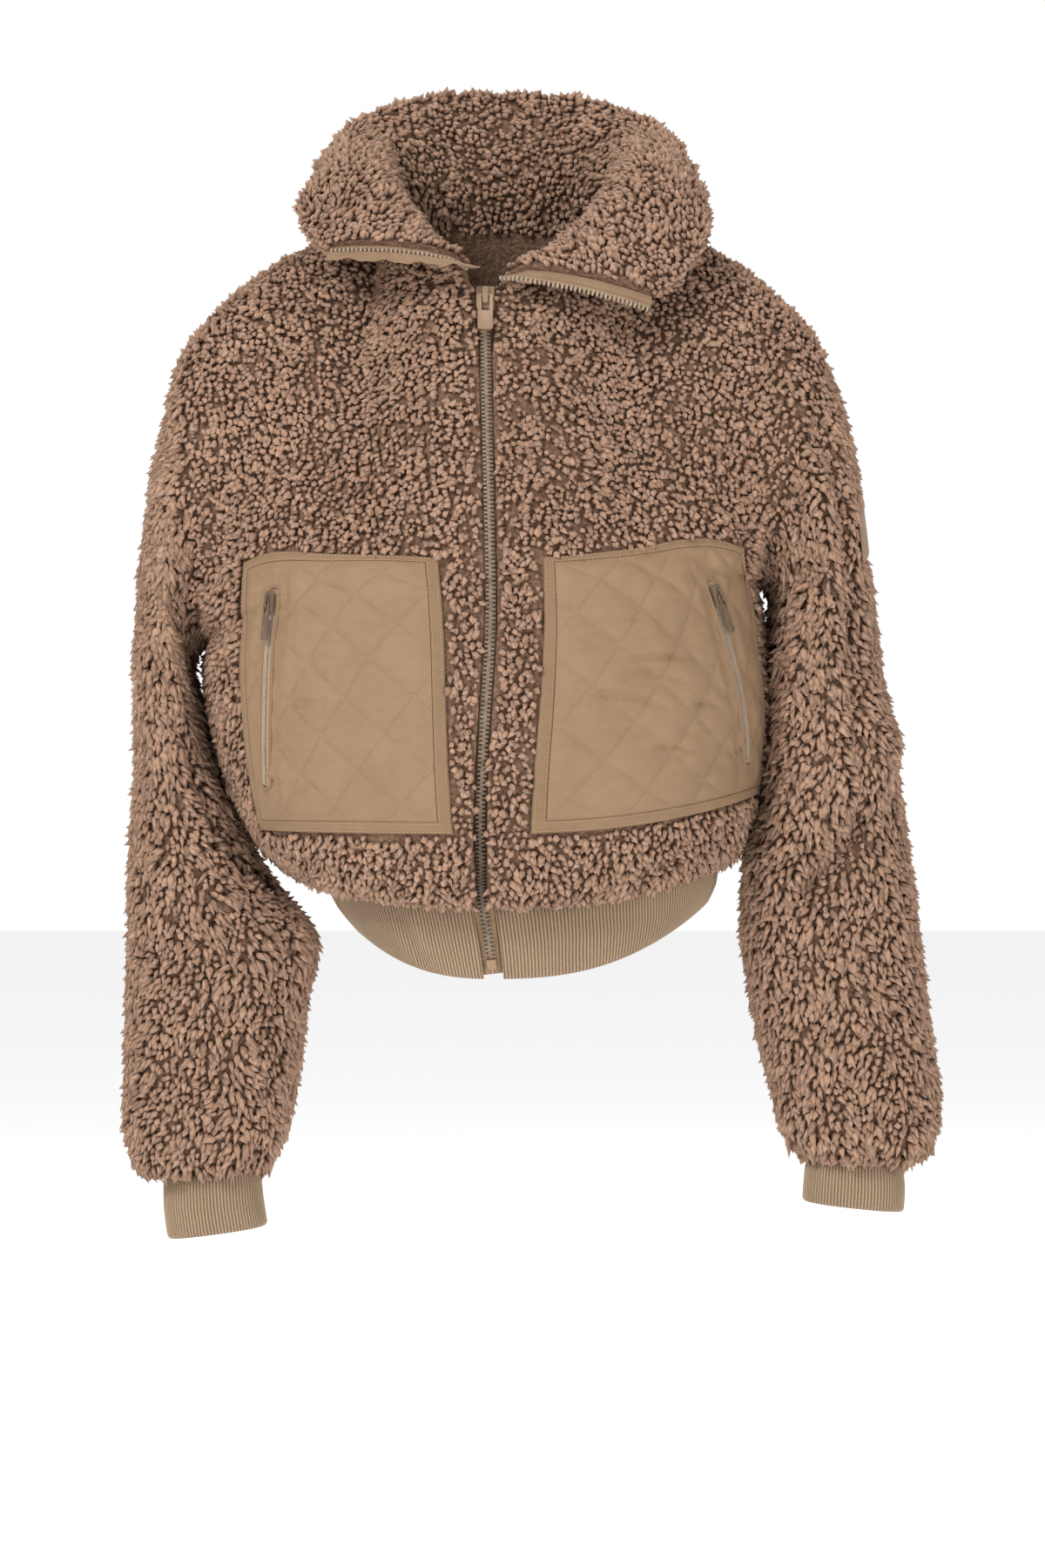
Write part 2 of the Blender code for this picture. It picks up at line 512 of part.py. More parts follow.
def nudge(outer, inner, axis, index, amount):
    """Moves one edge row of a wall back from its seam, square to the rim, which leaves a gap."""
    neighbour = 1 if index == 0 else index - 1
    edge = [slice(None)] * 2
    beside = [slice(None)] * 2
    edge[axis] = index
    beside[axis] = neighbour
    way = outer[tuple(beside)] - outer[tuple(edge)]
    rim = unit(inner[tuple(edge)] - outer[tuple(edge)])
    way = unit(way - rim * np.sum(way * rim, -1, keepdims=True)) * amount
    outer[tuple(edge)] += way
    inner[tuple(edge)] += way


def finish_object(name, mesh, colour, smooth=True):
    """Links a mesh as an object with its own material."""
    material = bpy.data.materials.new(name + "_" + colour.name)
    material.use_nodes = True
    shader = material.node_tree.nodes["Principled BSDF"]
    shader.inputs["Base Color"].default_value = (*colour.rgb, 1.0)
    shader.inputs["Roughness"].default_value = colour.roughness
    shader.inputs["Metallic"].default_value = colour.metallic
    material.diffuse_color = (*colour.rgb, 1.0)
    mesh.materials.append(material)
    if smooth:
        mesh.shade_smooth()
        mesh.set_sharp_from_angle(angle=math.radians(50))
    item = bpy.data.objects.new(name, mesh)
    bpy.data.collections["fleece_jacket"].objects.link(item)
    return item


def wall(name, outer, inner, colour, closed=False):
    """A closed wall between two grids of points, with rims along its open edges."""
    rows, columns = outer.shape[:2]
    count = rows * columns
    vertices = np.concatenate((outer.reshape(-1, 3), inner.reshape(-1, 3)))
    number = np.arange(count).reshape(rows, columns)
    if closed:
        number = np.concatenate((number, number[:, :1]), axis=1)
    a, b, c, d = number[:-1, :-1], number[:-1, 1:], number[1:, 1:], number[1:, :-1]
    outside = np.concatenate((np.stack((a, b, c), -1).reshape(-1, 3), np.stack((a, c, d), -1).reshape(-1, 3)))
    inside = outside[:, ::-1] + count
    rims = [rim_quads(number[0, ::-1], count), rim_quads(number[-1], count)]
    if not closed:
        rims += [rim_quads(number[:, 0], count), rim_quads(number[::-1, -1], count)]
    faces = outside.tolist() + inside.tolist() + np.concatenate(rims).tolist()
    mesh = bpy.data.meshes.new(name)
    mesh.from_pydata(vertices.tolist(), [], faces)
    shell = bmesh.new()
    shell.from_mesh(mesh)
    bmesh.ops.recalc_face_normals(shell, faces=shell.faces)
    if shell.calc_volume(signed=True) < 0:
        bmesh.ops.reverse_faces(shell, faces=shell.faces)
    shell.to_mesh(mesh)
    shell.free()
    return finish_object(name, mesh, colour)


def rim_quads(edge, count):
    """The faces that join one edge of the outer grid to the same edge of the inner grid."""
    return np.stack((edge[:-1], edge[:-1] + count, edge[1:] + count, edge[1:]), -1)


def pocket_edges(side, row):
    """The shares at which a pocket's two upright edges lie at a row."""
    pocket = POCKETS[side]
    part = np.clip((row - pocket.foot_row) / (pocket.head_row - pocket.foot_row), -0.4, 1.5)
    near = pocket.foot_in + (pocket.head_in - pocket.foot_in) * part
    bow = 4 * pocket.waist * np.clip(part * (1 - part), 0, None)
    far = pocket.foot_out + (pocket.head_out - pocket.foot_out) * part - bow
    return near, far


def pocket_lift(side, share, row):
    """How many rows a front's lines climb towards its pocket's far upper corner."""
    pocket = POCKETS[side]
    near, far = pocket_edges(side, row)
    across = np.clip((share - near) / (far - near), 0, 1) * (1 - ease(share, far + LIFT_HOLD, 1.0))
    up = np.clip((row - pocket.foot_row) / (pocket.head_row - pocket.foot_row), 0, 1)
    return pocket.lift * across * up * (1 - ease(row, pocket.head_row, LAST_ROW + YOKE_ROWS))


def front_grid(side):
    """The shares and rows of a front's grid, with lines on the pocket's edges, and where the pocket lies."""
    pocket = POCKETS[side]
    rows = np.concatenate((
        np.linspace(0, 2.5, 6),
        (pocket.foot_row - RECESS_STEP,),
        np.linspace(pocket.foot_row, LAST_ROW, 9),
        LAST_ROW + YOKE_ROWS * FRONT_RISES[1:],
    ))
    near, far = pocket_edges(side, rows)
    step = 0.014
    columns = [np.zeros_like(rows), (near - step) * 0.5, near - step]
    columns += [near + (far - near) * part for part in np.linspace(0, 1, 9)]
    columns += [far + step]
    columns += [far + step + (1 - far - step) * part for part in (0.28, 0.56, 0.8, 1.0)]
    top = ease(rows, pocket.head_row + RECESS_STEP, LAST_ROW + YOKE_ROWS)[:, None]
    shares = np.stack(columns, 1) * (1 - top) + TOP_SHARES * top
    rows = np.broadcast_to(rows[:, None], shares.shape)
    in_row = (rows >= pocket.foot_row - 1e-6) & (rows <= pocket.head_row + 1e-6)
    in_column = np.zeros(shares.shape, bool)
    in_column[:, 3:12] = True
    return shares, rows + pocket_lift(side, shares, rows), in_row & in_column


def build_front(side, name):
    """One front panel with the shallow recess that its pocket lies in."""
    shares, rows, covered = front_grid(side)
    outer = body(side, 1, shares, rows, np.where(covered, POCKET_FLOOR, 0.0))
    inner = body(side, 1, shares, rows, PILE_WALL)
    nudge(outer, inner, 1, outer.shape[1] - 1, SEAM_GAP)
    nudge(outer, inner, 0, outer.shape[0] - 1, SEAM_GAP / 2)
    nudge(outer, inner, 0, 0, SEAM_GAP / 2)
    wall(name, outer, inner, PILE)


def build_back():
    """The back, one piece from side seam to side seam."""
    upper = LAST_ROW + YOKE_ROWS * BACK_RISES[1:]
    rows = np.concatenate((np.linspace(0, 3, 7), np.linspace(3.7, LAST_ROW, 6), upper))
    halves = {}
    for side in (LEFT, RIGHT):
        share, row = np.meshgrid(BACK_SHARES, rows)
        halves[side] = [body(side, -1, share, row, depth) for depth in (0.0, PILE_WALL)]
    outer, inner = [np.concatenate((halves[LEFT][k][:, ::-1], halves[RIGHT][k][:, 1:]), 1) for k in (0, 1)]
    for axis, index in ((1, 0), (1, outer.shape[1] - 1), (0, 0), (0, outer.shape[0] - 1)):
        nudge(outer, inner, axis, index, SEAM_GAP)
    wall("back", outer, inner, PILE)


def build_sleeve(side, name):
    """One sleeve, a closed tube from the armhole to the cuff seam."""
    last = len(SLEEVES[side]) - 1
    foot = (last - 1.5, last - 1, last - 0.5, last)
    rows = np.concatenate(((0, 0.5, 1.0, 1.5), np.linspace(2.1, last - 2, 13), foot))
    angles = math.pi * np.concatenate((FRONT_RISES, 2 - BACK_RISES[::-1][1:-1]))
    row, angle = np.meshgrid(rows, angles, indexing="ij")
    outer = sleeve(side, row, angle)
    inner = sleeve(side, row, angle, PILE_WALL)
    nudge(outer, inner, 0, 0, 3.5 * SEAM_GAP)
    nudge(outer, inner, 0, len(rows) - 1, SEAM_GAP / 2)
    wall(name, outer, inner, PILE, closed=True)


def build_cuff(side, name):
    """One rib cuff below its sleeve, set a little inside the sleeve's pile."""
    rows = np.linspace(0, 2, 4)
    angles = np.arange(28) / 28 * 2 * math.pi
    row, angle = np.meshgrid(rows, angles, indexing="ij")
    outer = ring(CUFFS[side], row, angle, CUFF_INSET, SLEEVE_POWER)
    inner = ring(CUFFS[side], row, angle, CUFF_INSET + RIB_WALL, SLEEVE_POWER)
    nudge(outer, inner, 0, 0, SEAM_GAP / 2)
    wall(name, outer, inner, RIB, closed=True)


def hem_point(row, angle, depth):
    """The rib hem's surface, with its few soft wrinkles beside the zip."""
    point = section(HEM, row, angle, depth)
    turn = np.degrees(angle)
    wave = np.exp(-((turn + 26) / 26) ** 2) * np.sin(np.radians((turn + 12) * 17)) * 2.2 * MM
    wave = wave + np.exp(-((turn - 24) / 9) ** 2) * 3.0 * MM
    fade = ease(2 - row, 0.05, 0.8)
    point[..., 1] -= wave * fade
    return point


def build_hem():
    """The rib hem, one band from zip edge to zip edge round the back."""
    rows = np.linspace(0, 2, 4)
    halves = []
    for reach in (HEM[1].right_x - HEM[1].mid_x, HEM[1].mid_x - HEM[1].left_x):
        edge = math.degrees(math.asin((RIB_OPENING / reach) ** (SECTION_POWER / 2)))
        halves.append(np.radians(np.concatenate((np.linspace(edge, 66, 16), np.linspace(74, 180, 12)))))
    angles = np.concatenate((halves[0], -halves[1][::-1][1:]))
    row, angle = np.meshgrid(rows, angles, indexing="ij")
    outer = hem_point(row, angle, HEM_INSET)
    inner = hem_point(row, angle, HEM_INSET + RIB_WALL)
    nudge(outer, inner, 0, len(rows) - 1, SEAM_GAP / 2)
    wall("hem_rib", outer, inner, RIB)


def collar_base(around, depth):
    """The neck seam round the neck, from the photo's left zip edge (0) to its right one (1)."""
    around = np.asarray(around, float)
    depth = np.broadcast_to(depth, around.shape)
    side = np.where(around < 0.5, LEFT, RIGHT)
    reach = np.abs(around - 0.5) * 2
    in_front = reach > 1 - COLLAR_FRONT_SHARE
    share_front = (1 - reach) / COLLAR_FRONT_SHARE
    share_back = reach / (1 - COLLAR_FRONT_SHARE)
    point = np.zeros(around.shape + (3,))
    for hand in (LEFT, RIGHT):
        for face in (1, -1):
            share = np.where(in_front, share_front, share_back)
            pick = (side == hand) & (in_front == (face > 0))
            line = neckline(hand, face, np.clip(share, 0, 1), depth)
            if face > 0:
                line[..., 0] += hand * SLIDER_OPENING * (1 - share * NECK_SHARE) ** 6
            point[pick] = line[pick]
    return point


def collar_face(around, height, thickness=0.0):
    """The collar's under face, from the neck seam (height 0) to its free edge (1), or a face above it."""
    around, height = np.broadcast_arrays(np.asarray(around, float), height)

    def sheet(where, up):
        bend, edge = np.split(smooth_keys(COLLAR, where), 2, axis=-1)
        base = collar_base(where, 0.0)
        t = up[..., None]
        return base * (1 - t) ** 2 + 2 * bend * t * (1 - t) + edge * t ** 2

    point = sheet(around, height)
    if thickness == 0.0:
        return point
    step = 0.03
    low, high = np.clip(around - step, 0, 1), np.clip(around + step, 0, 1)
    sideways = sheet(high, height) - sheet(low, height)
    upward = sheet(around, np.minimum(height + step, 1)) - sheet(around, np.maximum(height - step, 0))
    normal = unit(np.cross(sideways, upward))
    seam_way = collar_base(around, PILE_WALL) - collar_base(around, 0.0)
    blend = ease(height, 0.0, 0.22)[..., None]
    return point + (1 - blend) * seam_way + blend * normal * thickness


def build_collar():
    """The collar, as thick as its two layers of pile."""
    front = (1 - COLLAR_FRONT_SHARE * TOP_SHARES[:9] / NECK_SHARE) / 2
    back = (1 - COLLAR_FRONT_SHARE) * BACK_SHARES[:4] / NECK_SHARE / 2
    half = np.concatenate((front, back[::-1]))
    around = np.concatenate((0.5 - half, 0.5 + half[::-1][1:]))
    height, place = np.meshgrid(COLLAR_HEIGHTS, around, indexing="ij")
    under = collar_face(place, height)
    over = collar_face(place, height, COLLAR_WALL)
    lift = unit(np.cross(np.gradient(under[0], axis=0), over[0] - under[0]))
    lift *= np.sign(lift[:, 2:]) * 4 * SEAM_GAP
    under[0] += lift
    over[0] += lift
    wall("collar", under, over, PILE)


def pocket_rows(side):
    """The rows of a front's grid that lie on its pocket's floor."""
    pocket = POCKETS[side]
    return np.append(np.linspace(pocket.foot_row, LAST_ROW, 9), pocket.head_row)


def pocket_point(side, across, up, depth):
    """A point over a pocket's floor; across and up count the floor's own grid cells, so it stays parallel."""
    across, up, depth = np.broadcast_arrays(np.asarray(across, float), up, depth)
    rows = pocket_rows(side)
    near, far = pocket_edges(side, rows)
    share = near[:, None] + (far - near)[:, None] * np.linspace(0, 1, POCKET_CELLS + 1)
    row = rows[:, None] + pocket_lift(side, share, rows[:, None])
    top = body(side, 1, share, row, 0.0)
    floor = body(side, 1, share, row, POCKET_FLOOR)
    i = np.clip(up.astype(int), 0, len(rows) - 2)
    j = np.clip(across.astype(int), 0, POCKET_CELLS - 1)
    u = (up - i)[..., None]
    v = (across - j)[..., None]

    def between(grid):
        a, b, c, d = grid[i, j], grid[i, j + 1], grid[i + 1, j + 1], grid[i + 1, j]
        return np.where(v > u, a + (b - a) * v + (c - b) * u, a + (d - a) * u + (c - d) * v)

    part = (depth / POCKET_FLOOR)[..., None]
    return between(top) * (1 - part) + between(floor) * part


def pocket_size(side):
    """The length of one floor cell across and up, at the middle of a pocket."""
    middle = pocket_point(side, (3.5, 4.5, 4.0, 4.0), (4.0, 4.0, 3.5, 4.5), 0.0)
    return np.linalg.norm(middle[1] - middle[0]), np.linalg.norm(middle[3] - middle[2])


def pocket_zip_line(side, up):
    """Where a pocket's zip lies across the pocket, in cells, at a height in cells."""
    pocket = POCKETS[side]
    part = up / POCKET_TOP_CELL
    return POCKET_CELLS * (pocket.zip_foot + (pocket.zip_head - pocket.zip_foot) * part)


def binding_loop(side, inset, foot):
    """The corners and grid crossings of a line round a pocket, set in from its edges."""
    cell_across, cell_up = pocket_size(side)
    left, low = inset / cell_across, foot / cell_up
    right, high = POCKET_CELLS - left, POCKET_TOP_CELL - inset / cell_up
    steps = np.arange(1, POCKET_CELLS)
    rises = np.arange(1, POCKET_TOP_CELL)
    across = np.concatenate(((left,), steps, np.full(len(rises) + 1, right), (right,), steps[::-1],
                             np.full(len(rises) + 1, left)))
    up = np.concatenate((np.full(len(steps) + 1, low), (low,), rises, np.full(len(steps) + 1, high),
                         (high,), rises[::-1]))
    return across, up


def build_pocket(side, hand):
    """A quilted pocket panel, its binding frame, its zip strip, slider and pull."""
    edge = 1.0 * MM
    outside = binding_loop(side, edge, edge)
    inside = binding_loop(side, BINDING_WIDTH, BINDING_FOOT)
    loops = [np.stack((outside[k], inside[k])) for k in (0, 1)]
    under = POCKET_FLOOR - POCKET_SEAT
    outer = pocket_point(side, loops[0], loops[1], BINDING_TOP)
    inner = pocket_point(side, loops[0], loops[1], under - POCKET_SEAT / 2)
    wall("pocket_binding_" + hand, outer, inner, BINDING, closed=True)

    cell_across, cell_up = pocket_size(side)
    left = (BINDING_WIDTH + PANEL_GAP) / cell_across
    low = (BINDING_FOOT + PANEL_GAP) / cell_up
    high = POCKET_TOP_CELL - (BINDING_WIDTH + PANEL_GAP) / cell_up
    columns = np.concatenate(((left,), np.arange(1, 2 * POCKET_CELLS) / 2, (POCKET_CELLS - left,)))
    rows = np.concatenate(((low,), np.arange(2, 2 * POCKET_TOP_CELL - 1) / 2, (high,)))
    up, across = np.meshgrid(rows, columns, indexing="ij")
    x, z = across * cell_across, up * cell_up
    first = np.sin(math.pi * (x / QUILT_CELL[0] + z / QUILT_CELL[1]))
    second = np.sin(math.pi * (x / QUILT_CELL[0] - z / QUILT_CELL[1]))
    puff = np.sqrt(np.abs(first * second))
    rim = np.minimum(np.minimum(across - left, POCKET_CELLS - left - across) * cell_across,
                     np.minimum(up - low, high - up) * cell_up)
    line = np.abs(across - pocket_zip_line(side, up)) * cell_across
    puff = puff * ease(rim, 0.0, QUILT_RIM) * ease(line, *ZIP_FLAT)
    outer = pocket_point(side, across, up, POCKET_TOP - QUILT_PUFF * puff)
    inner = pocket_point(side, across, up, under)
    wall("pocket_" + hand, outer, inner, NYLON)

    pocket = POCKETS[side]
    ends = np.array((pocket.zip_low, pocket.zip_high)) * POCKET_TOP_CELL
    ups = np.linspace(ends[0], ends[1], 11)
    path = pocket_point(side, pocket_zip_line(side, ups), ups, POCKET_TOP - 3 * SEAM_GAP)
    lifted = pocket_point(side, pocket_zip_line(side, ups), ups, POCKET_TOP - 5 * MM)
    run = unit(np.gradient(path, axis=0))
    outward = unit(lifted - path)
    across_way = unit(np.cross(run, outward))
    strip("pocket_zip_" + hand, path, across_way, outward, np.array(POCKET_ZIP_PROFILE) * MM, TAPE)
    seat = len(ups) - 1
    centre = path[seat] + outward[seat] * POCKET_SLIDER_HEIGHT - run[seat] * POCKET_SLIDER_DROP
    turn = frame_of(centre, run[seat], outward[seat])
    build_slider("pocket_slider_" + hand, "pocket_pull_" + hand, turn, POCKET_SLIDER, 0.0)


def strip(name, path, across, outward, profile, colour):
    """A long solid on a path; each place in its profile has a lower and an upper height."""
    profile = np.moveaxis(np.broadcast_to(profile, (len(path),) + np.shape(profile)[-2:]), -1, 0)
    place, lower, upper = profile[..., None]
    outer = path[:, None] + across[:, None] * place + outward[:, None] * upper
    inner = path[:, None] + across[:, None] * place + outward[:, None] * lower
    wall(name, outer, inner, colour)


def frame_of(centre, run, outward):
    """A frame whose X runs up a zip and whose Y points out of it."""
    x = unit(run)
    z = unit(np.cross(x, outward))
    y = np.cross(z, x)
    turn = Matrix.Identity(4)
    for index, way in enumerate((x, y, z, centre)):
        for axis in range(3):
            turn[axis][index] = way[axis]
    return turn


def outline_object(name, outlines, half_depth):
    """A flat plate from one outline and the holes in it, as a curve."""
    curve = bpy.data.curves.new(name, "CURVE")
    curve.dimensions = "2D"
    curve.fill_mode = "BOTH"
    curve.extrude = half_depth
    for outline in outlines:
        spline = curve.splines.new("POLY")
        spline.points.add(len(outline) - 1)
        for point, (x, y) in zip(spline.points, outline):
            point.co = (x, y, 0, 1)
        spline.use_cyclic_u = True
    return bpy.data.objects.new(name, curve)


def rounded_box(width, height, centre, corner):
    """A box outline with cut corners."""
    w, h = width / 2, height / 2
    x, y = centre
    return [(x + w, y - h + corner), (x + w, y + h - corner), (x + w - corner, y + h), (x - w + corner, y + h),
            (x - w, y + h - corner), (x - w, y - h + corner), (x - w + corner, y - h), (x + w - corner, y - h)]


def flatten(item):
    """The mesh that an object's curve or modifiers make."""
    bpy.context.scene.collection.objects.link(item)
    bpy.context.view_layer.update()
    mesh = bpy.data.meshes.new_from_object(item.evaluated_get(bpy.context.evaluated_depsgraph_get()))
    bpy.data.objects.remove(item, do_unlink=True)
    welded = bmesh.new()
    welded.from_mesh(mesh)
    bmesh.ops.remove_doubles(welded, verts=welded.verts, dist=1e-6)
    welded.to_mesh(mesh)
    welded.free()
    mesh.materials.clear()
    return mesh


def block(name, size, colour, centre):
    """A bevelled block, as long, high and wide as its size says."""
    shape = bmesh.new()
    bmesh.ops.create_cube(shape, size=1.0, matrix=centre @ Matrix.Diagonal((*size, 1.0)))
    bmesh.ops.bevel(shape, geom=shape.edges[:], offset=EDGE_BEVEL, segments=1, affect="EDGES")
    mesh = bpy.data.meshes.new(name)
    shape.to_mesh(mesh)
    shape.free()
    return finish_object(name, mesh, colour, smooth=False)


def build_slider(name, pull_name, turn, kind, tilt):
    """A zip slider with the bridge on it and the pull whose bar is held under the bridge."""
    sizes = Slider(*(value * MM for value in kind))
    slider = block(name, (sizes.length, sizes.thick, sizes.width), METAL, Matrix.Translation((0, -sizes.thick / 2, 0)))
    far, high, thick = sizes.bridge_length / 2, sizes.bridge_height, sizes.bridge_wall
    root = -0.5 * MM
    arch = [(far, root), (far, high * 0.6), (far * 0.6, high), (-far * 0.6, high), (-far, high * 0.6), (-far, root),
            (thick - far, root), (thick - far, high * 0.52), (thick * 0.6 - far * 0.6, high - thick),
            (far * 0.6 - thick * 0.6, high - thick), (far - thick, high * 0.52), (far - thick, root)]
    bridge = outline_object(name + "_bridge", [arch], sizes.bridge_width / 2)
    bridge_mesh = flatten(bridge)
    bridge = bpy.data.objects.new(name + "_bridge", bridge_mesh)
    bridge.hide_render = True
    bridge.display_type = "WIRE"
    bpy.data.collections["joined_shapes"].objects.link(bridge)
    join = slider.modifiers.new("bridge", "BOOLEAN")
    join.operation = "UNION"
    join.solver = "EXACT"
    join.object = bridge
    slider.matrix_world = turn
    bridge.matrix_world = turn

    start = -sizes.bar / 2
    plate = rounded_box(sizes.pull_length, sizes.pull_width, (start + sizes.pull_length / 2, 0), 1.2 * MM)
    window = rounded_box(sizes.window_length, sizes.window_width,
                         (sizes.bar / 2 + sizes.window_length / 2, 0), 0.5 * MM)
    pull = outline_object(pull_name, [plate, window], sizes.pull_thick / 2)
    mesh = flatten(pull)
    item = finish_object(pull_name, mesh, METAL, smooth=False)
    hinge = Matrix.Translation((0, (high - thick) / 2, 0))
    # The plate's X points down the zip, its Y across it and its Z outward.
    lie = Matrix(((-1, 0, 0, 0), (0, 0, 1, 0), (0, 1, 0, 0), (0, 0, 0, 1)))
    item.matrix_world = turn @ hinge @ Matrix.Rotation(math.radians(-tilt), 4, "Z") @ lie


def zip_frame(places):
    """The main zip's points, the ways across it and out of it, at places counted in waypoints."""
    places = np.asarray(places, float)
    points = smooth_rows(ZIP_PATH, places)
    run = unit(smooth_rows(ZIP_PATH, places + 0.1) - smooth_rows(ZIP_PATH, places - 0.1))
    across = unit(np.array((1.0, 0.0, 0.0)) - run * run[..., :1])
    return points, run, across, np.cross(across, run)


def build_main_zip():
    """The front zip: chain, two tapes, bottom box, slider and pull."""
    points, run, across, outward = zip_frame((0.0, len(ZIP_PATH) - 1.0))
    foot = frame_of(points[0] + run[0] * BOX_SIZE[0] / 2, run[0], outward[0])
    box = block("zip_box", BOX_SIZE, METAL, Matrix.Identity(4))
    box.matrix_world = foot
    centre = points[1] + run[1] * (MAIN_SLIDER.length / 2 * MM + SEAM_GAP) + outward[1] * MAIN_SLIDER_HEIGHT
    build_slider("zip_slider", "zip_pull", frame_of(centre, run[1], outward[1]), MAIN_SLIDER, MAIN_PULL_TILT)

    places = np.linspace(0.355, len(ZIP_PATH) - 1.0, 25)
    points, run, across, outward = zip_frame(places)
    half, edge, high = CHAIN_HALF, CHAIN_HALF - 1 * MM, CHAIN_HEIGHT
    profile = ((-half, -high, -0.3 * MM), (-edge, -high, high), (edge, -high, high), (half, -high, -0.3 * MM))
    strip("zip_chain", points, across, outward, profile, TEETH)
    wide = TAPE_HALF + (RIB_TAPE_HALF - TAPE_HALF) * ease(-places, -1.5, -0.9)
    for side, name in ((LEFT, "zip_tape_right"), (RIGHT, "zip_tape_left")):
        near = np.full_like(wide, side * TAPE_EDGE)
        back = np.full_like(wide, TAPE_BACK)
        top = np.full_like(wide, TAPE_TOP)
        profile = np.stack((np.stack((near, back, top), -1), np.stack((side * wide, back, top), -1)), 1)
        strip(name, points, across, outward, profile, TAPE)


def collar_end(around, heights):
    """The end line of a collar wing, with the ways along the cloth past that end and out of its face."""
    under = collar_face(around, COLLAR_HEIGHTS)
    over = collar_face(around, COLLAR_HEIGHTS, COLLAR_WALL)
    outward = unit(over - under)
    past = unit(np.cross(np.gradient(under + over, axis=0), outward)) * (-1 if around < 0.5 else 1)
    return [np.stack([np.interp(heights, COLLAR_HEIGHTS, way[:, k]) for k in range(3)], -1)
            for way in ((under + over) / 2, past, outward)]


def build_collar_zip():
    """The open upper halves of the zip along the ends of the collar's two wings."""
    heights = np.linspace(0.28, 0.97, 12)
    gap, gap_left = 5 * SEAM_GAP, 3.2 * SEAM_GAP
    chain_top, tape_top = CHAIN_HEIGHT, COLLAR_TAPE_HALF
    line, past, outward = collar_end(0.0, heights)
    far = gap + COLLAR_CHAIN_WIDTH
    profile = ((gap, -chain_top, chain_top), (far, -chain_top, chain_top))
    strip("collar_chain_right", line, past, outward, profile, TEETH)
    far += SEAM_GAP
    wave = np.sin(heights * 31) * 1.2 * MM * ease(heights, 0.1, 0.3)
    near = np.stack((far + 0 * wave, -tape_top + 0 * wave, tape_top + 0 * wave), -1)
    rim = np.stack((far + COLLAR_STRIP_WIDTH + 0 * wave, wave - tape_top, wave + tape_top), -1)
    strip("collar_strip_right", line, past, outward, np.stack((near, rim), 1), NYLON)

    line, past, outward = collar_end(1.0, heights)
    far = gap_left + COLLAR_TAPE_WIDTH
    profile = ((gap_left, -tape_top, tape_top), (far, -tape_top, tape_top))
    strip("collar_tape_left", line, past, outward, profile, TAPE)
    far += SEAM_GAP
    profile = ((far, -chain_top, chain_top), (far + COLLAR_CHAIN_WIDTH, -chain_top, chain_top))
    strip("collar_chain_left", line, past, outward, profile, TEETH)


def build_patch():
    """The small bare patch that wraps the outside of the photo's right sleeve."""
    rows = np.linspace(PATCH.foot_row, PATCH.head_row, 7)
    angles = np.radians(np.linspace(PATCH.front_turn, PATCH.back_turn, 9))
    row, angle = np.meshgrid(rows, angles, indexing="ij")
    outer = sleeve(RIGHT, row, angle, -PATCH.gap - PATCH.thick)
    inner = sleeve(RIGHT, row, angle, -PATCH.gap)
    wall("sleeve_patch", outer, inner, NYLON)


def clear_scene():
    """Empties the scene and makes the object's collections."""
    for item in list(bpy.data.objects):
        bpy.data.objects.remove(item, do_unlink=True)
    for name in ("fleece_jacket", "joined_shapes"):
        collection = bpy.data.collections.new(name)
        bpy.context.scene.collection.children.link(collection)


def main():
    """Builds every piece of the jacket."""
    clear_scene()
    build_front(LEFT, "front_right")
    build_front(RIGHT, "front_left")
    build_back()
    build_sleeve(LEFT, "sleeve_right")
    build_sleeve(RIGHT, "sleeve_left")
    build_cuff(LEFT, "cuff_right")
    build_cuff(RIGHT, "cuff_left")
    build_hem()
    build_collar()
    build_pocket(LEFT, "right")
    build_pocket(RIGHT, "left")
    build_main_zip()
    build_collar_zip()
    build_patch()


main()
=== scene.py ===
"""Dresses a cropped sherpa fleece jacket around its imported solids.

The cloth follows the same named forms as the solids: a trunk of rounded sections with a yoke above it, ringed
sleeves, a folded collar, and pockets that lie parallel to the fronts. On them come the curled locks of the
pile, the ribs of the knit, the quilting, the stitches and the teeth of the zips.
"""
import logging
import math
from collections.abc import Callable, Sequence
from dataclasses import dataclass, field
from enum import Enum
from typing import NamedTuple

import bmesh
import bpy
import numpy as np
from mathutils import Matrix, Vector

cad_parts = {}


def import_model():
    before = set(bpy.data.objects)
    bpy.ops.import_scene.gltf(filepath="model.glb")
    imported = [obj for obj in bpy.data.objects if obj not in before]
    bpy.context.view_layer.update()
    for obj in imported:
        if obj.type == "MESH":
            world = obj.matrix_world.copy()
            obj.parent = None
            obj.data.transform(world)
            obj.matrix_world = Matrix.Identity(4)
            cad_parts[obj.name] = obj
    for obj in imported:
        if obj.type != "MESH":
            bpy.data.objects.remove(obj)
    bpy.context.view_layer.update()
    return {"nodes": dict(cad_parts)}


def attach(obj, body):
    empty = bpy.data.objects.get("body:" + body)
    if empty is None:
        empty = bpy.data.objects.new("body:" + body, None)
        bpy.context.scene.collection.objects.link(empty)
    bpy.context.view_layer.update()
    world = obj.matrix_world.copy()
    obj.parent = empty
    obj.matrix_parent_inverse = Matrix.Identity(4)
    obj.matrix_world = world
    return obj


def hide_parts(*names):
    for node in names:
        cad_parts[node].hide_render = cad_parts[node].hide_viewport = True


Array = np.ndarray
Number = float | Array
Point = tuple[float, float, float]
log = logging.getLogger("fleece_jacket")


class Trunk(NamedTuple):
    """One rounded section of the trunk."""

    front_z: float
    mid_x: float
    left_x: float
    left_z: float
    right_x: float
    right_z: float
    front_y: float
    back_y: float
    back_z: float
    lift: float


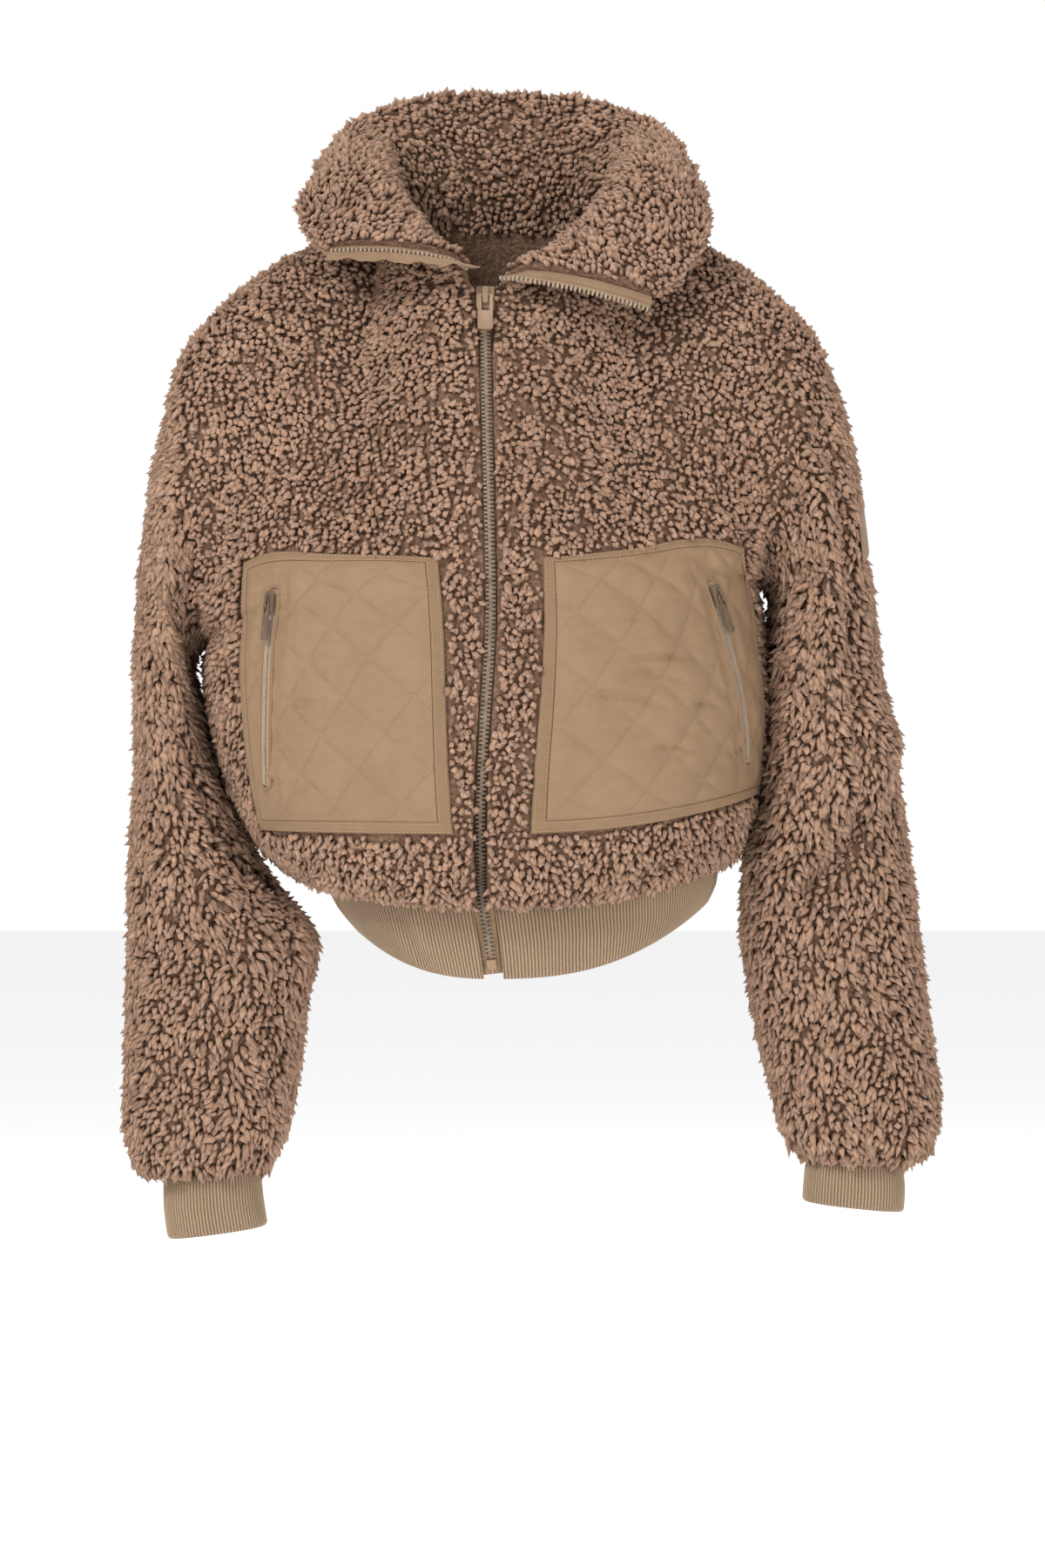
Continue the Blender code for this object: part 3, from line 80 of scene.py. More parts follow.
class Sleeve(NamedTuple):
    """One slanted ring of a sleeve."""

    out_x: float
    out_z: float
    in_x: float
    in_z: float
    front_y: float
    back_y: float


class Cuff(NamedTuple):
    """One ring of a rib cuff."""

    out_x: float
    out_z: float
    in_x: float
    in_z: float
    front_y: float
    back_y: float


class Hem(NamedTuple):
    """One rounded section of the rib hem."""

    front_z: float
    mid_x: float
    left_x: float
    left_z: float
    right_x: float
    right_z: float
    front_y: float
    back_y: float
    back_z: float
    lift: float


class Collar(NamedTuple):
    """One place round the collar: where it bends and where it ends."""

    around: float
    bend_x: float
    bend_y: float
    bend_z: float
    edge_x: float
    edge_y: float
    edge_z: float


class Fold(NamedTuple):
    """A fold between two places seen from the front, with its height and the widths of its flanks."""

    from_x: float
    from_z: float
    to_x: float
    to_z: float
    height: float
    low: float
    high: float


class Pocket(NamedTuple):
    """Where a pocket and its zip lie on a front."""

    foot_in: float
    foot_out: float
    head_in: float
    head_out: float
    foot_row: float
    head_row: float
    zip_foot: float
    zip_head: float
    zip_low: float
    zip_high: float
    waist: float
    lift: float


class Patch(NamedTuple):
    """The patch on the sleeve."""

    foot_row: float
    head_row: float
    front_turn: float
    back_turn: float
    gap: float
    thick: float


class Waypoint(NamedTuple):
    """A point of the front zip."""

    x: float
    y: float
    z: float


MM = 0.001
SEAM_GAP = 0.3 * MM
PILE_WALL = 8.0 * MM
COLLAR_WALL = 16.0 * MM
RIB_WALL = 2.6 * MM
SECTION_POWER = 2.5
YOKE_ROWS = 4.0
NECK_SHARE = 0.42
ARMHOLE_REACH = 0.40
ARMHOLE_RUN = 0.075
TOP_SPREAD = 0.22
TOP_MIX = ((-1.0, 0.15), (-0.5, 0.22), (0.0, 0.26), (0.5, 0.22), (1.0, 0.15))

POCKET_FLOOR = 4.5 * MM
POCKET_SEAT = 0.8 * MM
PANEL_GAP = 0.9 * MM
POCKET_TOP = 1.4 * MM
QUILT_PUFF = 1.6 * MM
BINDING_TOP = 0.6 * MM
BINDING_WIDTH = 7.5 * MM
BINDING_FOOT = 11.0 * MM

FRONT_OPENING = 4.7 * MM
RIB_OPENING = 7.4 * MM
SLIDER_OPENING = 7.6 * MM
TAPE_EDGE = 0.15 * MM
TAPE_HALF = 4.1 * MM
TAPE_BACK = -2.9 * MM
TAPE_TOP = -1.9 * MM
COLLAR_CHAIN_WIDTH = 6.4 * MM
COLLAR_STRIP_WIDTH = 9.0 * MM
COLLAR_TAPE_WIDTH = 7.0 * MM

LEFT = -1
RIGHT = 1
SIDE_Y = -0.085

# The side of the photo is the side of X: "left" has negative X and is the wearer's right.
TRUNK = (
    Trunk(-0.484, -0.011, -0.124, -0.474, 0.157, -0.462, -0.206, 0.010, -0.462, 0.9),
    Trunk(-0.491, -0.011, -0.142, -0.473, 0.167, -0.461, -0.222, 0.026, -0.464, 0.9),
    Trunk(-0.476, -0.011, -0.160, -0.460, 0.1785, -0.446, -0.237, 0.038, -0.452, 0.5),
    Trunk(-0.445, -0.012, -0.176, -0.441, 0.1865, -0.416, -0.246, 0.046, -0.425, 0.1),
    Trunk(-0.400, -0.011, -0.192, -0.408, 0.1905, -0.385, -0.250, 0.050, -0.388, 0.0),
    Trunk(-0.350, -0.008, -0.204, -0.370, 0.194, -0.350, -0.250, 0.050, -0.345, 0.0),
    Trunk(-0.300, -0.005, -0.210, -0.332, 0.190, -0.305, -0.248, 0.050, -0.298, 0.0),
    Trunk(-0.262, -0.005, -0.206, -0.300, 0.183, -0.258, -0.244, 0.049, -0.258, 0.0),
)
LAST_ROW = len(TRUNK) - 1

SLEEVES = {
    LEFT: (
        Sleeve(-0.228, -0.107, -0.206, -0.300, -0.165, -0.005),
        Sleeve(-0.238, -0.148, -0.2165, -0.311, -0.168, 0.002),
        Sleeve(-0.247, -0.195, -0.222, -0.326, -0.170, 0.009),
        Sleeve(-0.255, -0.260, -0.214, -0.352, -0.168, 0.014),
        Sleeve(-0.259, -0.330, -0.204, -0.388, -0.163, 0.018),
        Sleeve(-0.260, -0.388, -0.190, -0.424, -0.157, 0.014),
        Sleeve(-0.262, -0.437, -0.176, -0.454, -0.155, 0.004),
        Sleeve(-0.264, -0.474, -0.156, -0.482, -0.155, -0.014),
        Sleeve(-0.264, -0.512, -0.131, -0.514, -0.155, -0.024),
        Sleeve(-0.265, -0.560, -0.137, -0.562, -0.155, -0.030),
        Sleeve(-0.266, -0.610, -0.143, -0.612, -0.154, -0.034),
        Sleeve(-0.266, -0.650, -0.150, -0.648, -0.151, -0.040),
        Sleeve(-0.258, -0.678, -0.161, -0.674, -0.144, -0.048),
        Sleeve(-0.240, -0.683, -0.168, -0.679, -0.134, -0.060),
    ),
    RIGHT: (
        Sleeve(0.2325, -0.102, 0.183, -0.258, -0.165, -0.005),
        Sleeve(0.245, -0.142, 0.194, -0.269, -0.171, 0.000),
        Sleeve(0.256, -0.198, 0.196, -0.294, -0.174, 0.006),
        Sleeve(0.264, -0.260, 0.190, -0.334, -0.172, 0.008),
        Sleeve(0.272, -0.325, 0.186, -0.380, -0.166, 0.006),
        Sleeve(0.283, -0.390, 0.184, -0.424, -0.160, 0.000),
        Sleeve(0.292, -0.450, 0.176, -0.464, -0.156, -0.012),
        Sleeve(0.299, -0.505, 0.174, -0.512, -0.153, -0.025),
        Sleeve(0.306, -0.565, 0.182, -0.568, -0.151, -0.030),
        Sleeve(0.313, -0.622, 0.195, -0.623, -0.150, -0.035),
        Sleeve(0.312, -0.652, 0.202, -0.652, -0.147, -0.041),
        Sleeve(0.302, -0.671, 0.212, -0.667, -0.140, -0.050),
        Sleeve(0.289, -0.674, 0.218, -0.670, -0.131, -0.060),
    ),
}
SLEEVE_POWER = 2.5
SLEEVE_CLEARANCE = 3.0 * MM

CUFFS = {
    LEFT: (
        Cuff(-0.240, -0.683, -0.168, -0.679, -0.134, -0.060),
        Cuff(-0.240, -0.706, -0.166, -0.700, -0.135, -0.060),
        Cuff(-0.237, -0.728, -0.163, -0.718, -0.135, -0.061),
    ),
    RIGHT: (
        Cuff(0.289, -0.674, 0.218, -0.670, -0.131, -0.060),
        Cuff(0.291, -0.692, 0.216, -0.686, -0.132, -0.059),
        Cuff(0.290, -0.709, 0.215, -0.701, -0.132, -0.060),
    ),
}

HEM = (
    Hem(-0.540, -0.003, -0.104, -0.506, 0.150, -0.489, -0.199, 0.006, -0.500, 0.0),
    Hem(-0.515, -0.006, -0.116, -0.492, 0.156, -0.476, -0.204, 0.010, -0.482, 0.0),
    Hem(-0.4845, -0.011, -0.1245, -0.4745, 0.1575, -0.4625, -0.2065, 0.0105, -0.4625, 0.0),
)

NECK_FRONT = (-0.168, -0.058)
NECK_BACK = (0.0, 0.0)
NECK_MIDDLE = {1: -0.009, -1: 0.004}
NECK_SIDE = {LEFT: (-0.083, -0.062, 0.004), RIGHT: (0.091, -0.062, 0.007)}

COLLAR_FRONT_SHARE = 0.56
# Each row is one place round the neck, from the photo's left zip edge to its right one.
COLLAR = (
    Collar(0.00, -0.050, -0.192, -0.030, -0.118, -0.170, -0.038),
    Collar(0.12, -0.066, -0.166, 0.006, -0.131, -0.142, -0.026),
    Collar(0.26, -0.088, -0.098, 0.062, -0.130, -0.094, 0.004),
    Collar(0.38, -0.070, -0.030, 0.070, -0.094, -0.014, 0.070),
    Collar(0.44, -0.036, -0.006, 0.058, -0.050, 0.020, 0.0935),
    Collar(0.50, 0.004, 0.008, 0.050, 0.004, 0.028, 0.099),
    Collar(0.56, 0.045, -0.006, 0.058, 0.060, 0.020, 0.0915),
    Collar(0.62, 0.080, -0.030, 0.070, 0.104, -0.014, 0.068),
    Collar(0.74, 0.096, -0.098, 0.062, 0.138, -0.094, 0.002),
    Collar(0.88, 0.074, -0.168, -0.002, 0.136, -0.146, -0.040),
    Collar(1.00, 0.037, -0.200, -0.047, 0.108, -0.182, -0.072),
)

COLLAR_HEIGHTS = np.array((0.0, 0.14, 0.28, 0.42, 0.56, 0.7, 0.85, 1.0))

# A fold runs between two places seen from the front; its flanks lie low and high across it.
SLEEVE_FOLDS = {
    LEFT: (
        Fold(-0.262, -0.375, -0.228, -0.452, -0.004, 0.012, 0.010),
        Fold(-0.250, -0.300, -0.225, -0.345, 0.003, 0.014, 0.012),
        Fold(-0.135, -0.515, -0.215, -0.560, 0.005, 0.016, 0.022),
        Fold(-0.262, -0.560, -0.200, -0.610, -0.003, 0.018, 0.018),
    ),
    RIGHT: (
        Fold(0.282, -0.362, 0.196, -0.482, 0.011, 0.013, 0.030),
        Fold(0.222, -0.125, 0.250, -0.375, 0.007, 0.020, 0.012),
        Fold(0.176, -0.505, 0.262, -0.560, 0.006, 0.014, 0.024),
        Fold(0.200, -0.600, 0.280, -0.630, -0.003, 0.018, 0.018),
    ),
}
FRONT_FOLDS = (
    Fold(-0.170, -0.090, -0.110, -0.220, -0.004, 0.022, 0.022),
    Fold(0.060, -0.120, 0.150, -0.215, -0.004, 0.022, 0.026),
    Fold(-0.205, -0.250, -0.190, -0.400, 0.003, 0.016, 0.016),
    Fold(0.165, -0.235, 0.186, -0.300, 0.003, 0.014, 0.014),
)
BACK_FOLDS = (
    Fold(-0.170, -0.150, -0.070, -0.260, -0.005, 0.024, 0.024),
    Fold(0.160, -0.140, 0.060, -0.280, -0.005, 0.024, 0.028),
    Fold(-0.150, -0.400, 0.020, -0.430, 0.005, 0.020, 0.016),
    Fold(0.020, -0.345, 0.160, -0.400, 0.004, 0.022, 0.018),
)


# Shares of a front's width, from its centre edge to its side seam, at the pocket's foot and head.
POCKETS = {
    LEFT: Pocket(0.026, 0.745, 0.064, 0.675, 3.12, 7.4, 0.885, 0.725, 0.175, 0.865, 0.09, 0.62),
    RIGHT: Pocket(0.060, 0.905, 0.073, 0.750, 3.12, 7.4, 0.845, 0.64, 0.175, 0.80, 0.0, 0.35),
}
LIFT_HOLD = 0.02
POCKET_CELLS = 8
POCKET_TOP_CELL = 9

PATCH = Patch(2.72, 2.08, 132, 205, 0.9 * MM, 1.2 * MM)

ZIP_PATH = (
    Waypoint(-0.0040, -0.1985, -0.533),
    Waypoint(-0.0072, -0.2040, -0.508),
    Waypoint(-0.011, -0.2110, -0.484),
    Waypoint(-0.0116, -0.2290, -0.460),
    Waypoint(-0.0118, -0.2400, -0.425),
    Waypoint(-0.0086, -0.2460, -0.360),
    Waypoint(-0.0050, -0.2440, -0.295),
    Waypoint(-0.0057, -0.2350, -0.230),
    Waypoint(-0.0074, -0.2120, -0.160),
    Waypoint(-0.0087, -0.1860, -0.100),
    Waypoint(-0.0089, -0.1725, -0.075),
)


def unit(vectors: Array) -> Array:
    """Vectors scaled to length one.

    Args:
        vectors: vectors in the last axis.

    Returns:
        The same directions, each of length one.
    """
    length = np.linalg.norm(vectors, axis=-1, keepdims=True)
    return vectors / np.maximum(length, 1e-12)


def smooth_rows(table: Sequence[tuple], place: Number) -> Array:
    """A smooth curve through a table's rows, read at a place counted in rows.

    Args:
        table: rows of numbers.
        place: where to read, counted in rows.

    Returns:
        Catmull-Rom values, one row for each place.
    """
    data = np.array(table, float)
    place = np.clip(np.asarray(place, float), 0, len(data) - 1)
    index = np.minimum(place.astype(int), len(data) - 2)
    part = (place - index)[..., None]
    before = data[np.maximum(index - 1, 0)]
    here = data[index]
    after = data[index + 1]
    beyond = data[np.minimum(index + 2, len(data) - 1)]
    slope = (after - before) * part
    bend = (2 * before - 5 * here + 4 * after - beyond) * part ** 2
    twist = (3 * here - before - 3 * after + beyond) * part ** 3
    return 0.5 * (2 * here + slope + bend + twist)


def smooth_keys(table: Sequence[tuple], where: Array) -> Array:
    """A smooth curve through a table's rows, whose first column says where each row lies.

    Args:
        table: rows whose first number is their key.
        where: keys to read at.

    Returns:
        Hermite values, one row for each key.
    """
    data = np.array(table, float)
    keys, values = data[:, 0], data[:, 1:]
    slopes = np.gradient(values, keys, axis=0)
    index = np.clip(np.searchsorted(keys, where, side="right") - 1, 0, len(keys) - 2)
    gap = (keys[index + 1] - keys[index])[..., None]
    t = (np.asarray(where) - keys[index])[..., None] / gap
    return ((2 * t ** 3 - 3 * t ** 2 + 1) * values[index] + (t ** 3 - 2 * t ** 2 + t) * gap * slopes[index]
            + (3 * t ** 2 - 2 * t ** 3) * values[index + 1] + (t ** 3 - t ** 2) * gap * slopes[index + 1])


def ease(value: Number, low: float, high: float) -> Array:
    """A smooth step from 0 at low to 1 at high.

    Args:
        value: numbers to read.
        low: where the step starts.
        high: where it ends.

    Returns:
        3t^2 - 2t^3 of the clipped share.
    """
    part = np.clip((value - low) / (high - low), 0, 1)
    return part * part * (3 - 2 * part)


def section(table: Sequence[tuple], row: Number, angle: Number, depth: Number) -> Array:
    """A point on the rounded section at a row; the angle is 0 in front and a right angle at the +X side.

    Args:
        table: the trunk's or hem's rows.
        row: height in rows.
        angle: turn from the front towards +X.
        depth: metres inward.

    Returns:
        Points on the superellipse of that row.
    """
    c = np.moveaxis(smooth_rows(table, row), -1, 0)
    front_z, mid_x, left_x, left_z, right_x, right_z, front_y, back_y, back_z, lift = c
    sine, cosine = np.sin(angle), np.cos(angle)
    across = np.abs(sine) ** (2 / SECTION_POWER)
    along = np.abs(cosine) ** (2 / SECTION_POWER)
    side_x = np.where(sine < 0, left_x + depth, right_x - depth)
    side_z = np.where(sine < 0, left_z, right_z)
    end_y = np.where(cosine > 0, front_y + depth, back_y - depth)
    end_z = np.where(cosine > 0, front_z, back_z)
    x = mid_x + across * (side_x - mid_x)
    y = SIDE_Y + along * (end_y - SIDE_Y)
    z = side_z * sine ** 2 + end_z * cosine ** 2 + lift * depth
    return np.stack(np.broadcast_arrays(x, y, z), axis=-1)


def ring(table: Sequence[tuple], row: Number, angle: Number, depth: Number, power: float) -> Array:
    """A point on a sleeve's ring; the angle is 0 next to the body, a right angle in front and 180 outside.

    Args:
        table: a sleeve's or cuff's rows.
        row: place along it in rows.
        angle: 0 beside the body, a right angle in front.
        depth: metres inward.
        power: how square the ring is.

    Returns:
        Points on the slanted ring.
    """
    c = np.moveaxis(smooth_rows(table, row), -1, 0)
    out_x, out_z, in_x, in_z, front_y, back_y = c
    half = np.stack(np.broadcast_arrays((out_x - in_x) / 2, np.zeros_like(out_x), (out_z - in_z) / 2), -1)
    size = np.linalg.norm(half, axis=-1)
    middle = np.stack(np.broadcast_arrays((out_x + in_x) / 2, (front_y + back_y) / 2, (out_z + in_z) / 2), -1)
    sine, cosine = np.sin(angle), np.cos(angle)
    outward = np.sign(cosine) * np.abs(cosine) ** (2 / power) * (size - depth)
    forward = np.sign(sine) * np.abs(sine) ** (2 / power) * ((back_y - front_y) / 2 - depth)
    point = middle - unit(half) * outward[..., None]
    point[..., 1] -= forward
    return point


def square_to_sleeve(side: int, row: Array, angle: Array) -> Array:
    """The inward way square to a sleeve's surface.

    Args:
        side: -1 or 1.
        row: place along the sleeve.
        angle: turn round it.

    Returns:
        The cross product of the two tangents.
    """
    low, high = np.maximum(row - 0.2, 0), row + 0.2
    turn = 0.05
    table = SLEEVES[side]
    along = ring(table, high, angle, 0.0, SLEEVE_POWER) - ring(table, low, angle, 0.0, SLEEVE_POWER)
    ahead, behind = (ring(table, row, angle + way * turn, 0.0, SLEEVE_POWER) for way in (1, -1))
    around = ahead - behind
    return unit(np.cross(around, along)) * side


def square_to_body(side: int, angle: Array) -> Array:
    """The inward way square to the body's surface along an armhole.

    Args:
        side: -1 or 1.
        angle: turn round the armhole.

    Returns:
        Unit vectors.
    """
    flat = -side * np.ones_like(angle)
    return unit(np.stack((flat, 1.2 * np.sin(angle), -0.15 * (1 - np.cos(angle))), -1))


def armhole_way(side: int, angle: Array) -> Array:
    """The shared inward way along an armhole, between the body's wall and the sleeve's.

    Args:
        side: -1 or 1.
        angle: turn round the armhole.

    Returns:
        Unit vectors.
    """
    return unit(square_to_sleeve(side, 0.0 * angle, angle) + square_to_body(side, angle))


def into_armhole(side: int, angle: Array) -> Array:
    """The way in which the body's surface runs into its armhole.

    Args:
        side: -1 or 1.
        angle: turn round the armhole.

    Returns:
        Unit vectors.
    """
    turn = 0.05
    run = armhole(side, angle + turn, 0.0 * angle) - armhole(side, angle - turn, 0.0 * angle)
    return unit(np.cross(square_to_body(side, angle), run)) * side


def armhole(side: int, angle: Array, depth: Number) -> Array:
    """The armhole seam, moved in by the depth.

    Args:
        side: -1 or 1.
        angle: turn round the armhole.
        depth: metres inward.

    Returns:
        Points on the seam.
    """
    seam = ring(SLEEVES[side], 0.0 * angle, angle, 0.0, SLEEVE_POWER)
    return seam + armhole_way(side, angle) * np.asarray(depth)[..., None]


def neckline(side: int, face: int, share: Array, depth: Number) -> Array:
    """A point on the neck seam, from the centre line (share 0) to the shoulder seam (share 1).

    Args:
        side: -1 or 1.
        face: 1 in front, -1 behind.
        share: from the centre line to the shoulder.
        depth: metres inward.

    Returns:
        Points on the seam.
    """
    turn = np.clip(share, 0, 1) * math.pi / 2
    mid_x = NECK_MIDDLE[face]
    side_x, side_y, side_z = NECK_SIDE[side]
    end_y, end_z = NECK_FRONT if face > 0 else NECK_BACK
    x = mid_x + (side_x - mid_x) * np.sin(turn)
    y = side_y + (end_y - side_y) * np.cos(turn)
    z = side_z + (end_z - side_z) * np.cos(turn) ** 2
    slope_in = np.array((0.0, 0.85, -0.5) if face > 0 else (0.0, -0.94, -0.34))
    side_in = np.array((-0.25 * side, 0.0, -0.97))
    inward = unit(np.cos(turn)[..., None] * slope_in + np.sin(turn)[..., None] * side_in)
    return np.stack((x, y, z), -1) + inward * np.asarray(depth)[..., None]


def top_edge(side: int, face: int, share: Array, depth: Number) -> Array:
    """The neck seam and then the shoulder seam, as shares of a panel's width, moved in by the depth.

    Args:
        side: -1 or 1.
        face: 1 in front, -1 behind.
        share: share of the panel's width.
        depth: metres inward.

    Returns:
        Points on the top edge.
    """
    share = np.asarray(share, float)
    depth = np.broadcast_to(depth, share.shape)
    neck = neckline(side, face, share / NECK_SHARE, depth)
    corner = np.array(NECK_SIDE[side])
    cap = SLEEVES[side][0]
    tip = np.array((cap.out_x, SIDE_Y, cap.out_z))
    reach = np.sin(np.clip((share - NECK_SHARE) / (1 - NECK_SHARE), 0, 1) * math.pi / 2)
    drop = 0.35 * reach + 0.65 * (1 - np.sqrt(1 - np.minimum(reach, 1) ** 2))
    x = corner[0] + (tip[0] - corner[0]) * reach
    y = corner[1] + (tip[1] - corner[1]) * reach
    z = corner[2] + (tip[2] - corner[2]) * drop
    steepness = 0.35 + 0.65 * reach / np.sqrt(np.maximum(1 - reach ** 2, 0.02))
    fall = (tip[2] - corner[2]) * steepness * side
    level = -abs(tip[0] - corner[0]) * np.ones_like(fall)
    inward = unit(np.stack((fall, np.zeros_like(fall), level), -1))
    shoulder = np.stack((x, y, z), -1) + inward * depth[..., None]
    return np.where((share < NECK_SHARE)[..., None], neck, shoulder)


def free_yoke(side: int, face: int, share: Array, rise: Array, depth: Number) -> Array:
    """A panel above the underarm that doesn't yet know its armhole.

    Args:
        side: -1 or 1.
        face: 1 in front, -1 behind.
        share: share of the panel's width.
        rise: 0 at the underarm, 1 at the top edge.
        depth: metres inward.

    Returns:
        Hermite points between the last section and the top edge.
    """
    quarter = math.pi / 2 * share
    angle = side * (quarter if face > 0 else math.pi - quarter)
    start = section(TRUNK, LAST_ROW, angle, depth)
    step = 0.25
    start_way = (start - section(TRUNK, LAST_ROW - step, angle, depth)) / step * YOKE_ROWS
    spread = TOP_SPREAD * (1 - rise) * np.minimum(np.minimum(share, 1 - share) / TOP_SPREAD, 1)
    end = sum(part * top_edge(side, face, share + place * spread, depth) for place, part in TOP_MIX)
    reach = np.linalg.norm(end - start, axis=-1, keepdims=True)
    blend = ease(share, NECK_SHARE * 0.55, NECK_SHARE * 1.5)[..., None]
    neck_way = np.array((0.0, 0.50, 0.86) if face > 0 else (0.0, -0.34, 0.94))
    seam_way = np.array((0.10 * side, 1.0, 0.12) if face > 0 else (0.10 * side, -1.0, 0.12))
    end_way = unit(neck_way * (1 - blend) + seam_way * blend) * reach * 1.05
    t = rise[..., None]
    return ((2 * t ** 3 - 3 * t ** 2 + 1) * start + (t ** 3 - 2 * t ** 2 + t) * start_way
            + (3 * t ** 2 - 2 * t ** 3) * end + (t ** 3 - t ** 2) * end_way)


def yoke(side: int, face: int, share: Array, rise: Array, depth: Number) -> Array:
    """A panel above the underarm: rise runs from the trunk's last section (0) to the top edge (1).

    Args:
        side: -1 or 1.
        face: 1 in front, -1 behind.
        share: share of the panel's width.
        rise: 0 at the underarm, 1 at the top edge.
        depth: metres inward.

    Returns:
        Points that meet the armhole.
    """
    surface = free_yoke(side, face, share, rise, depth)
    one = np.ones_like(share)
    edge = free_yoke(side, face, one, rise, depth)
    step = 0.02
    edge_way = (edge - free_yoke(side, face, one - step, rise, depth)) / step * (1 - ARMHOLE_REACH)
    angle = face * math.pi * rise
    seam_way = into_armhole(side, angle) * ARMHOLE_RUN
    start = ease(rise, 0.0, 0.45)[..., None]
    t = (np.clip((share - ARMHOLE_REACH) / (1 - ARMHOLE_REACH), 0, 1))[..., None]
    shift = (armhole(side, angle, depth) - edge) * (3 * t ** 2 - 2 * t ** 3)
    turn = (seam_way - edge_way) * (t ** 3 - t ** 2) * start
    return surface + shift + turn


def opening_at(row: Array) -> Array:
    """Half the width of the front opening, wider under the slider.

    Args:
        row: height in rows.

    Returns:
        Half widths in metres.
    """
    return FRONT_OPENING + (SLIDER_OPENING - FRONT_OPENING) * ease(row, 10.1, 10.7)


def folds_on(points: Array, outward: Array, folds: Sequence[Fold], face: int) -> Array:
    """Moves points along their outward way by the folds that lie on one face, seen from the front.

    Args:
        points: points of the cloth.
        outward: unit vectors out of it.
        folds: ridges and troughs.
        face: 1 in front, -1 behind.

    Returns:
        The points, moved by a Gaussian ridge for each fold.
    """
    shift = np.zeros(points.shape[:-1])
    for fold in folds:
        start = np.array((fold.from_x, fold.from_z))
        run = np.array((fold.to_x, fold.to_z)) - start
        length = np.linalg.norm(run)
        way = run / length
        offset = points[..., (0, 2)] - start
        along = (offset @ way) / length
        aside = offset[..., 0] * way[1] - offset[..., 1] * way[0]
        width = np.where(aside > 0, fold.high, fold.low)
        past = np.maximum(np.abs(along - 0.5) - 0.32, 0) / 0.2
        shift += fold.height * np.exp(-(aside / width) ** 2 - past ** 2)
    facing = ease(-face * outward[..., 1], 0.05, 0.55)
    return points + outward * (shift * facing)[..., None]


def raw_body(side: int, face: int, share: Number, row: Number, depth: Number) -> Array:
    """The body's surface without folds, from the hem seam (row 0) to the top edge.

    Args:
        side: -1 or 1.
        face: 1 in front, -1 behind.
        share: share of the panel's width.
        row: height in rows.
        depth: metres inward.

    Returns:
        Points of the smooth body.
    """
    share, row, depth = np.broadcast_arrays(np.asarray(share, float), row, depth)
    quarter = math.pi / 2 * share
    angle = side * (quarter if face > 0 else math.pi - quarter)
    lower = section(TRUNK, np.minimum(row, LAST_ROW), angle, depth)
    rise = np.clip((row - LAST_ROW) / YOKE_ROWS, 0, 1)
    upper = yoke(side, face, share, rise, depth)
    point = np.where((row > LAST_ROW)[..., None], upper, lower)
    if face > 0:
        point[..., 0] += side * opening_at(row) * (1 - share) ** 6
    return point


def body(side: int, face: int, share: Number, row: Number, depth: Number = 0.0) -> Array:
    """The body's surface with its folds; depth counts inward from the tips of the pile.

    Args:
        side: -1 or 1.
        face: 1 in front, -1 behind.
        share: share of the panel's width.
        row: height in rows.
        depth: metres inward from the tips of the pile.

    Returns:
        Points of the body.
    """
    point = raw_body(side, face, share, row, depth)
    outward = unit(raw_body(side, face, share, row, 0.0) - raw_body(side, face, share, row, PILE_WALL))
    calm = (ease(LAST_ROW + YOKE_ROWS - row, 0.0, 1.2) * ease(1 - share, 0.0, 0.15))[..., None]
    folded = folds_on(point, outward, FRONT_FOLDS if face > 0 else BACK_FOLDS, face)
    return point + (folded - point) * calm


def beside_trunk(side: int, points: Array, gap: Number) -> Array:
    """Pushes points out of the trunk and its hem, level by level, until the gap is there.

    Args:
        side: -1 or 1.
        points: points of a sleeve.
        gap: metres to keep clear.

    Returns:
        The points, scaled out from the trunk's axis where they lie in it.
    """
    levels = HEM[:2] + TRUNK
    level_z = [row.left_z if side < 0 else row.right_z for row in levels]
    side_x, mid_x, front_y, back_y = [
        np.interp(points[..., 2], level_z, [getattr(row, name) for row in levels])
        for name in ("left_x" if side < 0 else "right_x", "mid_x", "front_y", "back_y")]
    x = points[..., 0] - mid_x
    y = points[..., 1] - SIDE_Y
    end_y = np.where(y < 0, front_y, back_y) - SIDE_Y
    wide = np.maximum(x / (side_x - mid_x), 0) ** SECTION_POWER
    share = (wide + (y / end_y) ** SECTION_POWER) ** (1 / SECTION_POWER)
    far = np.hypot(x, y) / np.maximum(share, 1e-6)
    below = ease(points[..., 2], level_z[0] - 0.030, level_z[0] - 0.004)
    above = 1 - ease(points[..., 2], level_z[-1] - 0.002, level_z[-1] + 0.030)
    wanted = (1 + gap / far) * below * above
    grow = np.maximum(wanted / np.maximum(share, 1e-6), 1)
    moved = points.copy()
    moved[..., 0] = mid_x + x * grow
    moved[..., 1] = SIDE_Y + y * grow
    return moved


